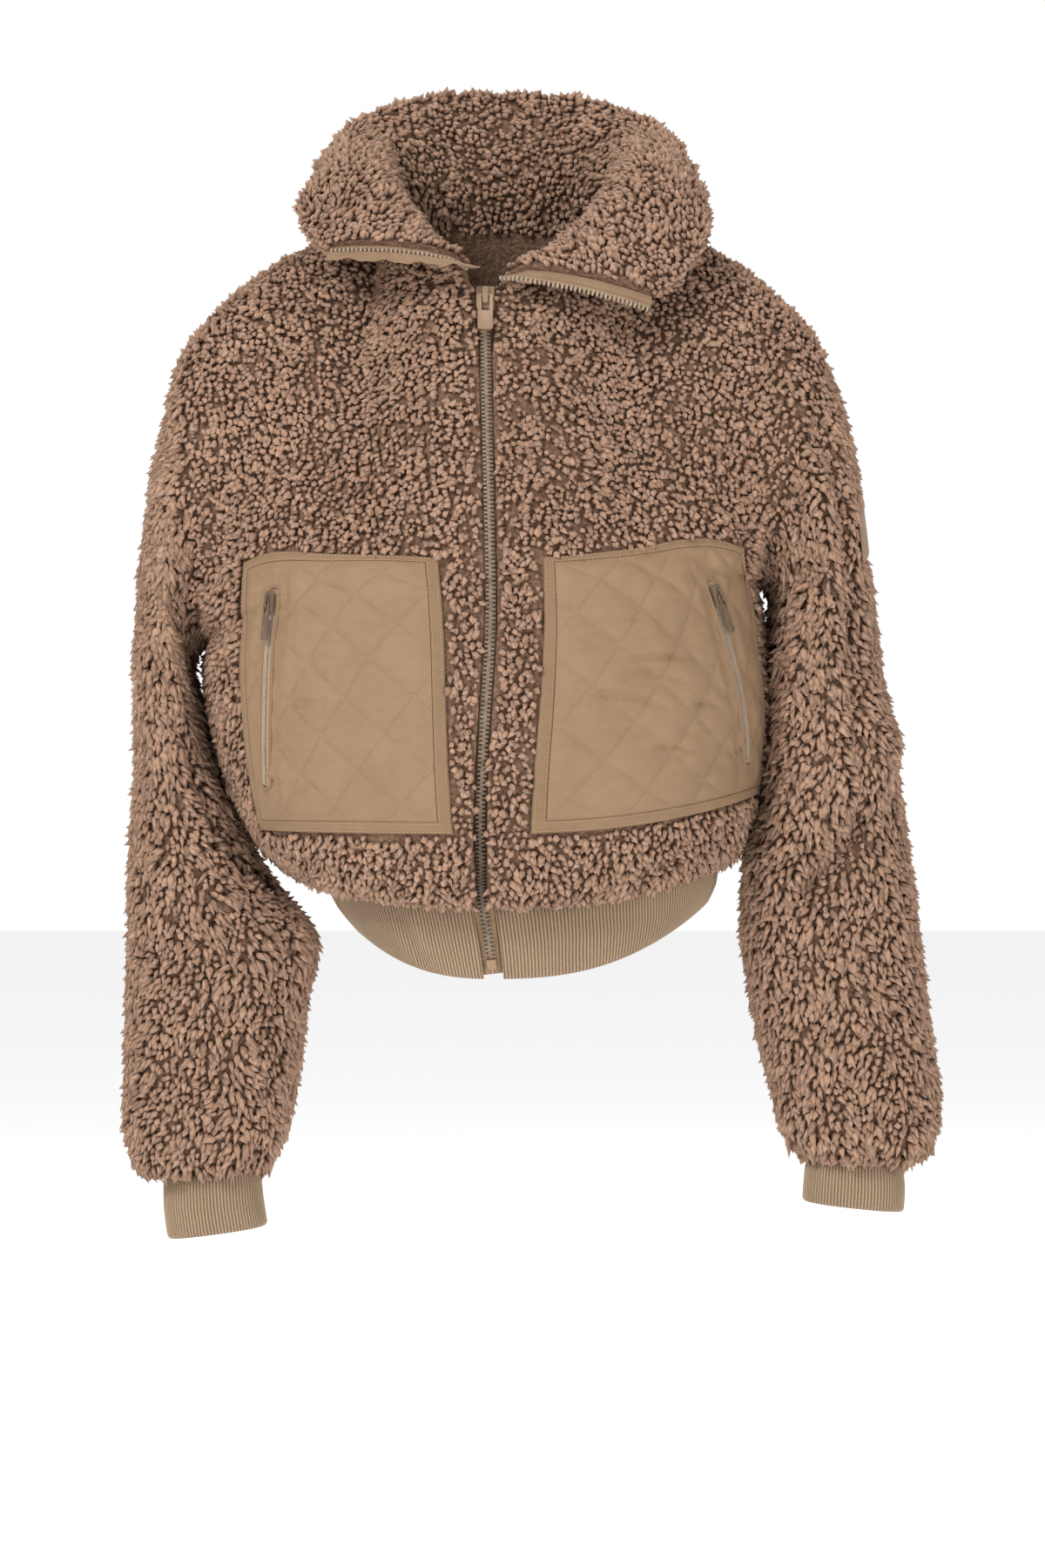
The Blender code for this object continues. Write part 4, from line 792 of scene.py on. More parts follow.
def sleeve(side: int, row: Number, angle: Number, depth: Number = 0.0) -> Array:
    """A sleeve's surface with its folds, pressed flat where it hangs against the body.

    Args:
        side: -1 or 1.
        row: place along the sleeve in rows.
        angle: turn round it.
        depth: metres inward.

    Returns:
        Points of the sleeve.
    """
    row, angle, depth = np.broadcast_arrays(np.asarray(row, float), angle, depth)
    seat = ring(SLEEVES[side], row, angle, 0.0, SLEEVE_POWER)
    radial = unit(ring(SLEEVES[side], row, angle, PILE_WALL, SLEEVE_POWER) - seat)
    square = square_to_sleeve(side, row, angle)
    slant = np.sum(radial * square, -1, keepdims=True)
    leave = ease(row, 0.0, 1.5)[..., None]
    inward = armhole_way(side, angle) * (1 - leave) + (radial + square) / (1 + slant) * leave
    point = seat + inward * depth[..., None]
    calm = (ease(row, 0.0, 1.5) * ease(len(SLEEVES[side]) - 1 - row, 0.0, 1.0))[..., None]
    point = point + (folds_on(point, -unit(inward), SLEEVE_FOLDS[side], 1) - point) * calm
    gap = SLEEVE_CLEARANCE * ease(row, 0.0, 1.0) + depth
    pressed = beside_trunk(side, point, gap)
    return point + (pressed - point) * ease(row, 0.0, 0.8)[..., None]


def hem_point(row: Number, angle: Array, depth: Number) -> Array:
    """The rib hem's surface, with its few soft wrinkles beside the zip.

    Args:
        row: height in rows.
        angle: turn from the front.
        depth: metres inward.

    Returns:
        Points of the rib hem.
    """
    point = section(HEM, row, angle, depth)
    turn = np.degrees(angle)
    wave = np.exp(-((turn + 26) / 26) ** 2) * np.sin(np.radians((turn + 12) * 17)) * 2.2 * MM
    wave = wave + np.exp(-((turn - 24) / 9) ** 2) * 3.0 * MM
    fade = ease(2 - row, 0.05, 0.8)
    point[..., 1] -= wave * fade
    return point


def collar_base(around: Array, depth: Number) -> Array:
    """The neck seam round the neck, from the photo's left zip edge (0) to its right one (1).

    Args:
        around: place round the neck.
        depth: metres inward.

    Returns:
        Points on the neck seam.
    """
    around = np.asarray(around, float)
    depth = np.broadcast_to(depth, around.shape)
    side = np.where(around < 0.5, LEFT, RIGHT)
    reach = np.abs(around - 0.5) * 2
    in_front = reach > 1 - COLLAR_FRONT_SHARE
    share_front = (1 - reach) / COLLAR_FRONT_SHARE
    share_back = reach / (1 - COLLAR_FRONT_SHARE)
    point = np.zeros(around.shape + (3,))
    for hand in (LEFT, RIGHT):
        for face in (1, -1):
            share = np.where(in_front, share_front, share_back)
            pick = (side == hand) & (in_front == (face > 0))
            line = neckline(hand, face, np.clip(share, 0, 1), depth)
            if face > 0:
                line[..., 0] += hand * SLIDER_OPENING * (1 - share * NECK_SHARE) ** 6
            point[pick] = line[pick]
    return point


def collar_face(around: Number, height: Number, thickness: float = 0.0) -> Array:
    """The collar's under face, from the neck seam (height 0) to its free edge (1), or a face above it.

    Args:
        around: place round the neck.
        height: 0 at the seam, 1 at the free edge.
        thickness: metres above the under face.

    Returns:
        Points on a quadratic curve from seam over bend to edge.
    """
    around, height = np.broadcast_arrays(np.asarray(around, float), height)

    def sheet(where: Array, up: Array) -> Array:
        """The under face at a place and a height."""
        bend, edge = np.split(smooth_keys(COLLAR, where), 2, axis=-1)
        base = collar_base(where, 0.0)
        t = up[..., None]
        return base * (1 - t) ** 2 + 2 * bend * t * (1 - t) + edge * t ** 2

    point = sheet(around, height)
    if thickness == 0.0:
        return point
    step = 0.03
    low, high = np.clip(around - step, 0, 1), np.clip(around + step, 0, 1)
    sideways = sheet(high, height) - sheet(low, height)
    upward = sheet(around, np.minimum(height + step, 1)) - sheet(around, np.maximum(height - step, 0))
    normal = unit(np.cross(sideways, upward))
    seam_way = collar_base(around, PILE_WALL) - collar_base(around, 0.0)
    blend = ease(height, 0.0, 0.22)[..., None]
    return point + (1 - blend) * seam_way + blend * normal * thickness


def pocket_edges(side: int, row: Array) -> tuple[Array, Array]:
    """The shares at which a pocket's two upright edges lie at a row.

    Args:
        side: -1 or 1.
        row: height in rows.

    Returns:
        The near and the far share.
    """
    pocket = POCKETS[side]
    part = np.clip((row - pocket.foot_row) / (pocket.head_row - pocket.foot_row), -0.4, 1.5)
    near = pocket.foot_in + (pocket.head_in - pocket.foot_in) * part
    bow = 4 * pocket.waist * np.clip(part * (1 - part), 0, None)
    far = pocket.foot_out + (pocket.head_out - pocket.foot_out) * part - bow
    return near, far


def pocket_lift(side: int, share: Array, row: Array) -> Array:
    """How many rows a front's lines climb towards its pocket's far upper corner.

    Args:
        side: -1 or 1.
        share: share of the panel's width.
        row: height in rows.

    Returns:
        The climb in rows.
    """
    pocket = POCKETS[side]
    near, far = pocket_edges(side, row)
    across = np.clip((share - near) / (far - near), 0, 1) * (1 - ease(share, far + LIFT_HOLD, 1.0))
    up = np.clip((row - pocket.foot_row) / (pocket.head_row - pocket.foot_row), 0, 1)
    return pocket.lift * across * up * (1 - ease(row, pocket.head_row, LAST_ROW + YOKE_ROWS))


def pocket_rows(side: int) -> Array:
    """The rows of a front's grid that lie on its pocket's floor.

    Args:
        side: -1 or 1.

    Returns:
        Rows.
    """
    pocket = POCKETS[side]
    return np.append(np.linspace(pocket.foot_row, LAST_ROW, 9), pocket.head_row)


def pocket_point(side: int, across: Number, up: Number, depth: Number) -> Array:
    """A point over a pocket's floor; across and up count the floor's own grid cells, so it stays parallel.

    Args:
        side: -1 or 1.
        across: cells from the near edge.
        up: cells from the foot.
        depth: metres inward from the tips of the pile.

    Returns:
        Points over the pocket's floor.
    """
    across, up, depth = np.broadcast_arrays(np.asarray(across, float), up, depth)
    rows = pocket_rows(side)
    near, far = pocket_edges(side, rows)
    share = near[:, None] + (far - near)[:, None] * np.linspace(0, 1, POCKET_CELLS + 1)
    row = rows[:, None] + pocket_lift(side, share, rows[:, None])
    top = body(side, 1, share, row, 0.0)
    floor = body(side, 1, share, row, POCKET_FLOOR)
    i = np.clip(up.astype(int), 0, len(rows) - 2)
    j = np.clip(across.astype(int), 0, POCKET_CELLS - 1)
    u = (up - i)[..., None]
    v = (across - j)[..., None]

    def between(grid: Array) -> Array:
        """The grid read on its flat triangles."""
        a, b, c, d = grid[i, j], grid[i, j + 1], grid[i + 1, j + 1], grid[i + 1, j]
        return np.where(v > u, a + (b - a) * v + (c - b) * u, a + (d - a) * u + (c - d) * v)

    part = (depth / POCKET_FLOOR)[..., None]
    return between(top) * (1 - part) + between(floor) * part


def pocket_size(side: int) -> tuple[float, float]:
    """The length of one floor cell across and up, at the middle of a pocket.

    Args:
        side: -1 or 1.

    Returns:
        Metres across and up.
    """
    middle = pocket_point(side, (3.5, 4.5, 4.0, 4.0), (4.0, 4.0, 3.5, 4.5), 0.0)
    return np.linalg.norm(middle[1] - middle[0]), np.linalg.norm(middle[3] - middle[2])


def pocket_zip_line(side: int, up: Array) -> Array:
    """Where a pocket's zip lies across the pocket, in cells, at a height in cells.

    Args:
        side: -1 or 1.
        up: cells from the foot.

    Returns:
        Cells from the near edge.
    """
    pocket = POCKETS[side]
    part = up / POCKET_TOP_CELL
    return POCKET_CELLS * (pocket.zip_foot + (pocket.zip_head - pocket.zip_foot) * part)


def zip_frame(places: Number) -> tuple[Array, Array, Array, Array]:
    """The main zip's points, the ways across it and out of it, at places counted in waypoints.

    Args:
        places: where to read, counted in waypoints.

    Returns:
        Points, ways along, ways across and ways out.
    """
    places = np.asarray(places, float)
    points = smooth_rows(ZIP_PATH, places)
    run = unit(smooth_rows(ZIP_PATH, places + 0.1) - smooth_rows(ZIP_PATH, places - 0.1))
    across = unit(np.array((1.0, 0.0, 0.0)) - run * run[..., :1])
    return points, run, across, np.cross(across, run)


def collar_end(around: float, heights: Array) -> list[Array]:
    """The end line of a collar wing, with the ways along the cloth past that end and out of its face.

    Args:
        around: 0 or 1.
        heights: heights on the collar.

    Returns:
        Points, ways past the end and ways out of the face.
    """
    under = collar_face(around, COLLAR_HEIGHTS)
    over = collar_face(around, COLLAR_HEIGHTS, COLLAR_WALL)
    outward = unit(over - under)
    past = unit(np.cross(np.gradient(under + over, axis=0), outward)) * (-1 if around < 0.5 else 1)
    return [np.stack([np.interp(heights, COLLAR_HEIGHTS, way[:, k]) for k in range(3)], -1)
            for way in ((under + over) / 2, past, outward)]


class Finish(Enum):
    """The record's material slots."""

    PILE = "sherpa_pile"
    NYLON = "quilted_nylon"
    BINDING = "nylon_binding"
    RIB = "rib_knit"
    TAPE = "zip_tape"
    TEETH = "zip_teeth"
    METAL = "coated_metal"


class Wire:
    """A number in a material; + - * / and ** add Math nodes, also with a plain number on the left."""

    def __init__(self, board: "Board", socket: bpy.types.NodeSocket) -> None:
        """Keeps the board that the node stands on and the socket.

        Args:
            board: the material being wired.
            socket: the output that carries the number.
        """
        self.board = board
        self.socket = socket

    def math(self, operation: str, first: object, second: object) -> "Wire":
        """One Math node."""
        node = self.board.node("ShaderNodeMath", {"operation": operation}, {0: first, 1: second})
        return Wire(self.board, node.outputs[0])

    def __add__(self, other: object) -> "Wire":
        """The sum."""
        return self.math("ADD", self, other)

    def __sub__(self, other: object) -> "Wire":
        """The difference."""
        return self.math("SUBTRACT", self, other)

    def __mul__(self, other: object) -> "Wire":
        """The product."""
        return self.math("MULTIPLY", self, other)

    def __pow__(self, other: object) -> "Wire":
        """The power."""
        return self.math("POWER", self, other)

    def __rsub__(self, other: object) -> "Wire":
        """The difference with the plain number first."""
        return self.math("SUBTRACT", other, self)

    __radd__ = __add__
    __rmul__ = __mul__

    def clipped(self, low: float, high: float) -> "Wire":
        """The number run from 0 at low to 1 at high and held there."""
        sockets = {0: self, 1: low, 2: high, 3: 0.0, 4: 1.0}
        node = self.board.node("ShaderNodeMapRange", {"clamp": True}, sockets)
        return Wire(self.board, node.outputs[0])


class Board:
    """A material's node tree, with one method that adds any node."""

    def __init__(self, name: str) -> None:
        """Starts a material with its Principled shader.

        Args:
            name: the material's name.
        """
        self.material = bpy.data.materials.new(name)
        self.material.use_nodes = True
        self.tree = self.material.node_tree
        self.shader = self.tree.nodes["Principled BSDF"]

    def node(self, kind: str, settings: dict[str, object], inputs: dict[object, object]) -> bpy.types.Node:
        """Adds a node, with its settings first and then its sockets.

        Args:
            kind: Blender's name for the node's type.
            settings: the node's own properties.
            inputs: values, wires or sockets by input name or number.

        Returns:
            The node.
        """
        node = self.tree.nodes.new(kind)
        for key, value in settings.items():
            setattr(node, key, value)
        for key, value in inputs.items():
            self.plug(node.inputs[key], value)
        return node

    def plug(self, socket: bpy.types.NodeSocket, value: object) -> None:
        """Links a wire or socket, or sets a plain value.

        Args:
            socket: the input.
            value: a Wire, a socket, a number or a tuple.
        """
        if isinstance(value, Wire):
            self.tree.links.new(value.socket, socket)
        elif isinstance(value, bpy.types.NodeSocket):
            self.tree.links.new(value, socket)
        elif isinstance(value, tuple) and len(value) == 3 and socket.type == "RGBA":
            socket.default_value = (*value, 1.0)
        else:
            socket.default_value = value

    def place(self, stretch: Point = (1.0, 1.0, 1.0), uv: bool = False) -> bpy.types.NodeSocket:
        """Object coordinates, or the cloth's own UV in metres, stretched along the axes."""
        source = self.node("ShaderNodeTexCoord", {}, {}).outputs["UV" if uv else "Object"]
        return self.node("ShaderNodeMapping", {}, {"Vector": source, "Scale": stretch}).outputs[0]

    def noise(
        self, scale: float, detail: float = 2.0, stretch: Point = (1.0, 1.0, 1.0), uv: bool = False,
    ) -> Wire:
        """Soft noise in metres to the minus one."""
        sockets = {"Vector": self.place(stretch, uv), "Scale": scale, "Detail": detail, "Roughness": 0.55}
        return Wire(self, self.node("ShaderNodeTexNoise", {}, sockets).outputs[0])

    def waves(self, pitch: float, along: str, uv: bool = True, bend: float = 0.0) -> Wire:
        """A sine of the given pitch in metres, along X or Y."""
        settings = {"wave_type": "BANDS", "bands_direction": along, "wave_profile": "SIN"}
        # Blender's band wave turns once in 2 pi / 20 of its own scaled length.
        sockets = {"Vector": self.place(uv=uv), "Scale": math.pi / 10 / pitch, "Distortion": bend}
        return Wire(self, self.node("ShaderNodeTexWave", settings, sockets).outputs["Fac"])

    def number(self, name: str) -> Wire:
        """A number that the mesh keeps for each point."""
        return Wire(self, self.node("ShaderNodeAttribute", {"attribute_name": name}, {}).outputs["Fac"])

    def mix(self, factor: object, first: object, second: object) -> bpy.types.NodeSocket:
        """A colour between two colours."""
        node = self.node("ShaderNodeMix", {"data_type": "RGBA"}, {0: factor, 6: first, 7: second})
        return node.outputs[2]

    def bump(self, height: Wire, distance: float, strength: float = 1.0) -> bpy.types.NodeSocket:
        """A normal bent by a height in shares of a distance."""
        sockets = {"Strength": strength, "Distance": distance, "Height": height}
        return self.node("ShaderNodeBump", {}, sockets).outputs[0]

    def dress(
        self, colour: object, roughness: object, normal: object = None, **constants: object,
    ) -> bpy.types.Material:
        """Plugs the shader and gives the material.

        Args:
            colour: base colour.
            roughness: roughness.
            normal: bumped normal.
            constants: other shader inputs, with underscores for spaces.

        Returns:
            The finished material.
        """
        self.plug(self.shader.inputs["Base Color"], colour)
        self.plug(self.shader.inputs["Roughness"], roughness)
        if normal is not None:
            self.plug(self.shader.inputs["Normal"], normal)
        named = {socket.name.lower().replace(" ", "_"): socket for socket in self.shader.inputs}
        for key, value in constants.items():
            self.plug(named[key], value)
        return self.material


@dataclass(frozen=True)
class PileFinish:
    """Curled fleece: light fibre ends as painted light, dark between the locks as painted shade, matt with a
    soft sheen.
    """

    # The tip colour is painted light on the fibre ends; the root colour is painted shade between the locks.
    tip: Point = (0.66, 0.425, 0.300)
    middle: Point = (0.43, 0.258, 0.172)
    root: Point = (0.115, 0.060, 0.037)
    sheen: Point = (0.85, 0.68, 0.55)
    roughness: float = 0.96
    relief: float = 1.8 * MM

    def material(self) -> bpy.types.Material:
        """Colour by the height in the lock, which paints shade at its root and light at its tip, by lock, by
        strands along it and by broad patches.
        """
        board = Board("sherpa_locks")
        rise, tone = board.number("rise"), board.number("tone")
        patch = board.noise(14.0, 3.0)
        strand = board.noise(1000.0, 2.0, (1.0, 0.16, 1.0), uv=True)
        curl = board.noise(500.0, 2.0)
        # The rise term paints shade towards each lock's root and light towards its tip; tone, patches,
        # strands and curls are the fleece's own.
        level = rise * 0.62 + tone * 0.2 + patch * 0.3 + strand * 0.9 + curl * 0.2 - 0.76
        low = board.mix(level.clipped(0.0, 0.45), self.root, self.middle)
        colour = board.mix(level.clipped(0.4, 1.0), low, self.tip)
        height = strand * 1.1 + curl * 0.5
        return board.dress(colour, self.roughness, board.bump(height, self.relief), sheen_weight=0.2,
                           sheen_roughness=0.5, sheen_tint=self.sheen, specular_ior_level=0.12)


@dataclass(frozen=True)
class BackingFinish:
    """The knit that the locks stand on, and the jacket's inside, in dark browns that paint the shade between
    the locks.
    """

    # Both browns are darkened as painted shade, since the backing shows only in the gaps between the locks.
    dark: Point = (0.135, 0.076, 0.049)
    light: Point = (0.28, 0.168, 0.112)

    def material(self) -> bpy.types.Material:
        """Short curly knit in two dark browns that are painted shade between the locks."""
        board = Board("sherpa_backing")
        curl = board.noise(380.0, 3.0)
        colour = board.mix(curl.clipped(0.35, 0.7), self.dark, self.light)
        return board.dress(colour, 0.97, board.bump(curl, 0.002), specular_ior_level=0.1)


@dataclass(frozen=True)
class NylonFinish:
    """Soft woven nylon with a low sheen and small creases."""

    name: str = "quilted_nylon"
    light: Point = (0.300, 0.188, 0.103)
    dark: Point = (0.242, 0.147, 0.078)
    # seam is painted shade laid along the quilting grooves.
    seam: Point = (0.15, 0.085, 0.043)
    roughness: float = 0.5
    relief: float = 1.1 * MM
    thread: float = 0.45 * MM

    def material(self) -> bpy.types.Material:
        """Two close browns, darkened in the crease troughs and along the quilting grooves as painted shade, a
        fine plain weave and soft creases.
        """
        board = Board(self.name)
        cloud = board.noise(30.0, 3.0)
        crease = board.noise(150.0, 4.0, (0.6, 0.6, 1.4))
        weave = board.waves(self.thread, "X") + board.waves(self.thread, "Y")
        # The cloud is the nylon's own tone; the crease noise also lightens the bump's ridges and darkens its
        # troughs as painted shade.
        cloth = board.mix((cloud * 0.6 + crease * 0.5).clipped(0.3, 0.8), self.dark, self.light)
        # This number paints shade along the quilting lines.
        colour = board.mix(board.number("groove") * 0.3, cloth, self.seam)
        height = crease * 0.9 + weave * 0.04
        rough = self.roughness + cloud * 0.12
        return board.dress(colour, rough, board.bump(height, self.relief, 0.75), sheen_weight=0.12,
                           sheen_roughness=0.4, specular_ior_level=0.35)


@dataclass(frozen=True)
class RibFinish:
    """Rib knit: wales with small v-shaped stitches, and furrows darkened with painted shade."""

    # dark is painted shade for the furrows between the wales; light is the knit on the wale tops.
    light: Point = (0.50, 0.355, 0.225)
    dark: Point = (0.150, 0.095, 0.055)
    relief: float = 0.5 * MM
    stitch: float = 1.1 * MM

    def material(self) -> bpy.types.Material:
        """Colour by how far a point stands out of the furrow, which paints shade into the furrows, with
        stitches along each wale.
        """
        board = Board("rib_knit")
        wale = board.number("wale")
        stitch = board.waves(self.stitch, "Y", bend=1.5)
        fuzz = board.noise(900.0, 3.0)
        cloud = board.noise(22.0, 2.0)
        # The wale term paints shade into the furrows.
        level = wale * 0.85 + stitch * 0.16 + fuzz * 0.2 + cloud * 0.25 - 0.28
        colour = board.mix(level.clipped(0.0, 1.0), self.dark, self.light)
        height = stitch * 0.6 + fuzz * 0.6
        return board.dress(colour, 0.9, board.bump(height, self.relief, 0.9), sheen_weight=0.15,
                           sheen_roughness=0.6, specular_ior_level=0.2)


@dataclass(frozen=True)
class TapeFinish:
    """Woven zip tape."""

    name: str = "zip_tape"
    light: Point = (0.37, 0.245, 0.150)
    dark: Point = (0.25, 0.158, 0.092)

    def material(self) -> bpy.types.Material:
        """A fine twill with slightly worn tone."""
        board = Board(self.name)
        twill = board.waves(0.0008, "DIAGONAL", uv=False)
        cloud = board.noise(60.0, 3.0)
        colour = board.mix((twill * 0.35 + cloud * 0.7).clipped(0.2, 0.85), self.dark, self.light)
        return board.dress(colour, 0.8, board.bump(twill, 0.0003, 0.7), specular_ior_level=0.2)


@dataclass(frozen=True)
class ThreadFinish:
    """Sewing thread."""

    colour: Point = (0.52, 0.36, 0.225)

    def material(self) -> bpy.types.Material:
        """Twisted thread."""
        board = Board("sewing_thread")
        twist = board.noise(1800.0, 1.0)
        colour = board.mix(twist, tuple(0.7 * part for part in self.colour), self.colour)
        return board.dress(colour, 0.6, board.bump(twist, 0.0002), specular_ior_level=0.3)


@dataclass(frozen=True)
class TeethFinish:
    """Moulded plastic teeth."""

    name: str = "zip_teeth"
    light: Point = (0.43, 0.335, 0.245)
    dark: Point = (0.30, 0.225, 0.155)

    def material(self) -> bpy.types.Material:
        """Satin plastic with a faint mottle."""
        board = Board(self.name)
        cloud = board.noise(250.0, 3.0)
        colour = board.mix(cloud.clipped(0.3, 0.7), self.dark, self.light)
        rough = 0.34 + cloud * 0.15
        return board.dress(colour, rough, board.bump(cloud, 0.0001, 0.4), specular_ior_level=0.5)


@dataclass(frozen=True)
class MetalFinish:
    """Slider metal under a tinted coat."""

    name: str = "coated_metal"
    light: Point = (0.33, 0.212, 0.130)
    dark: Point = (0.25, 0.158, 0.092)

    def material(self) -> bpy.types.Material:
        """Satin coat with fine scuffs."""
        board = Board(self.name)
        cloud = board.noise(120.0, 3.0)
        scuff = board.noise(900.0, 4.0, (1.0, 1.0, 0.12))
        colour = board.mix((cloud * 0.5 + scuff * 0.5).clipped(0.3, 0.75), self.dark, self.light)
        rough = 0.36 + scuff * 0.2
        return board.dress(colour, rough, board.bump(scuff, 0.00006, 0.5), metallic=0.15)


@dataclass(frozen=True)
class FloorFinish:
    """The pale floor."""

    colour: Point = (0.88, 0.88, 0.88)
    glow: float = 0.5

    def material(self) -> bpy.types.Material:
        """Matt, nearly white and lit a little from under it, as a light table is."""
        board = Board("pale_floor")
        return board.dress(self.colour, 0.9, specular_ior_level=0.1,
                           emission_color=(1.0, 1.0, 1.0, 1.0), emission_strength=self.glow)


def make_mesh(
    name: str, points: Array, polygons: Sequence[Array], uv: Array | None = None,
    numbers: dict[str, Array] | None = None, sharp: float | None = None,
) -> bpy.types.Object:
    """Puts arrays of points and faces into a mesh object that faces outward.

    The signed volume, a sixth of the sum of p0 . (p1 x p2) over the fans of the faces, says whether to turn
    the faces round.

    Args:
        name: the object's name.
        points: one row of three numbers for each point.
        polygons: arrays of point numbers, one array for each count of corners.
        uv: cloth coordinates in metres for each point.
        numbers: other numbers for each point.
        sharp: the angle in degrees past which an edge is sharp.

    Returns:
        The object, linked to the scene.
    """
    volume = 0.0
    for faces in polygons:
        for corner in range(1, faces.shape[1] - 1):
            a, b, c = points[faces[:, 0]], points[faces[:, corner]], points[faces[:, corner + 1]]
            volume += np.sum(a * np.cross(b, c))
    if volume < 0:
        polygons = [faces[:, ::-1] for faces in polygons]
    loops = np.concatenate([faces.ravel() for faces in polygons]).astype(np.int32)
    counts = np.concatenate([np.full(len(faces), faces.shape[1]) for faces in polygons])
    starts = np.concatenate(((0,), np.cumsum(counts)[:-1])).astype(np.int32)
    mesh = bpy.data.meshes.new(name)
    mesh.vertices.add(len(points))
    mesh.vertices.foreach_set("co", points.astype(np.float32).ravel())
    mesh.loops.add(len(loops))
    mesh.loops.foreach_set("vertex_index", loops)
    mesh.polygons.add(len(starts))
    mesh.polygons.foreach_set("loop_start", starts)
    mesh.update(calc_edges=True)
    if uv is not None:
        mesh.uv_layers.new(name="cloth").uv.foreach_set("vector", uv[loops].astype(np.float32).ravel())
    for key, values in (numbers or {}).items():
        attribute = mesh.attributes.new(key, "FLOAT", "POINT")
        attribute.data.foreach_set("value", values.astype(np.float32).ravel())
    mesh.shade_smooth()
    if sharp is not None:
        mesh.set_sharp_from_angle(angle=math.radians(sharp))
    item = bpy.data.objects.new(name, mesh)
    bpy.context.scene.collection.objects.link(item)
    return item


def lengths(points: Array, axis: int) -> Array:
    """Metres from the first point along one axis of a grid of points.

    Args:
        points: a grid of points.
        axis: the axis to walk along.

    Returns:
        The running sum of the distances between neighbours.
    """
    steps = np.linalg.norm(np.diff(points, axis=axis), axis=-1)
    start = np.zeros_like(np.take(steps, [0], axis=axis))
    return np.concatenate((start, np.cumsum(steps, axis=axis)), axis=axis)


def make_wall(
    name: str, outer: Array, inner: Array, closed: bool = False, numbers: dict[str, Array] | None = None,
) -> bpy.types.Object:
    """A closed wall between two grids of points: both faces, and a rim along each open edge.

    Args:
        name: the object's name.
        outer: rows and columns of points on the outside.
        inner: the same on the inside.
        closed: whether the last column meets the first.
        numbers: numbers for the outer points; the inner ones get 0.5.

    Returns:
        The object, with its lengths along columns and rows as cloth coordinates.
    """
    rows, columns = outer.shape[:2]
    count = rows * columns
    index = np.arange(count).reshape(rows, columns)
    if closed:
        index = np.concatenate((index, index[:, :1]), axis=1)
    corners = (index[:-1, :-1], index[:-1, 1:], index[1:, 1:], index[1:, :-1])
    outside = np.stack(corners, -1).reshape(-1, 4)

    def rim(edge: Array) -> Array:
        """The faces that join an outer edge to the inner one."""
        return np.stack((edge[:-1], edge[:-1] + count, edge[1:] + count, edge[1:]), -1)

    rims = [rim(index[0, ::-1]), rim(index[-1])]
    if not closed:
        rims += [rim(index[:, 0]), rim(index[::-1, -1])]
    faces = np.concatenate([outside, outside[:, ::-1] + count, *rims])
    cloth = np.stack((lengths(outer, 1), lengths(outer, 0)), -1).reshape(-1, 2)
    kept = {key: np.concatenate((part.ravel(), np.full(count, 0.5))) for key, part in (numbers or {}).items()}
    points = np.concatenate((outer.reshape(-1, 3), inner.reshape(-1, 3)))
    return make_mesh(name, points, [faces], np.concatenate((cloth, cloth)), kept, sharp=60.0)


def repeat_shape(
    name: str, shape: tuple[Array, Array], centres: Array, axes: Array,
) -> bpy.types.Object:
    """One mesh with a small shape at each of many places: point = centre + shape . axes.

    Args:
        name: the object's name.
        shape: the small shape's points and faces.
        centres: where it goes.
        axes: for each place, the three scaled ways that the shape's own axes take.

    Returns:
        The joined object.
    """
    points, faces = shape
    placed = centres[:, None] + np.einsum("pk,nkx->npx", points, axes)
    shifted = faces[None] + (np.arange(len(centres)) * len(points))[:, None, None]
    return make_mesh(name, placed.reshape(-1, 3), [shifted.reshape(-1, faces.shape[1])], sharp=50.0)


def spindle(sides: int = 6) -> tuple[Array, Array]:
    """A short thread: a spindle along X with a ring at its middle; its faces are triangles.

    Args:
        sides: how many sides it has.

    Returns:
        Points within half a unit of the centre, and faces.
    """
    turn = np.arange(sides) / sides * 2 * math.pi
    middle = np.stack((np.zeros(sides), np.cos(turn) / 2, np.sin(turn) / 2), -1)
    points = np.concatenate((middle, ((-0.5, 0, 0), (0.5, 0, 0))))
    here, after = np.arange(sides), np.roll(np.arange(sides), -1)
    first = np.stack((after, here, np.full(sides, sides)), -1)
    second = np.stack((here, after, np.full(sides, sides + 1)), -1)
    return points, np.concatenate((first, second))


def tooth_shape() -> tuple[Array, Array]:
    """A bevelled unit block, as triangles, that stands for one moulded tooth.

    Returns:
        Points within half a unit of the centre, and faces.
    """
    block = bmesh.new()
    bmesh.ops.create_cube(block, size=1.0)
    bmesh.ops.bevel(block, geom=block.edges[:], offset=0.2, segments=1, affect="EDGES")
    bmesh.ops.triangulate(block, faces=block.faces)
    points = np.array([vertex.co for vertex in block.verts])
    faces = np.array([[vertex.index for vertex in face.verts] for face in block.faces])
    block.free()
    return points, faces


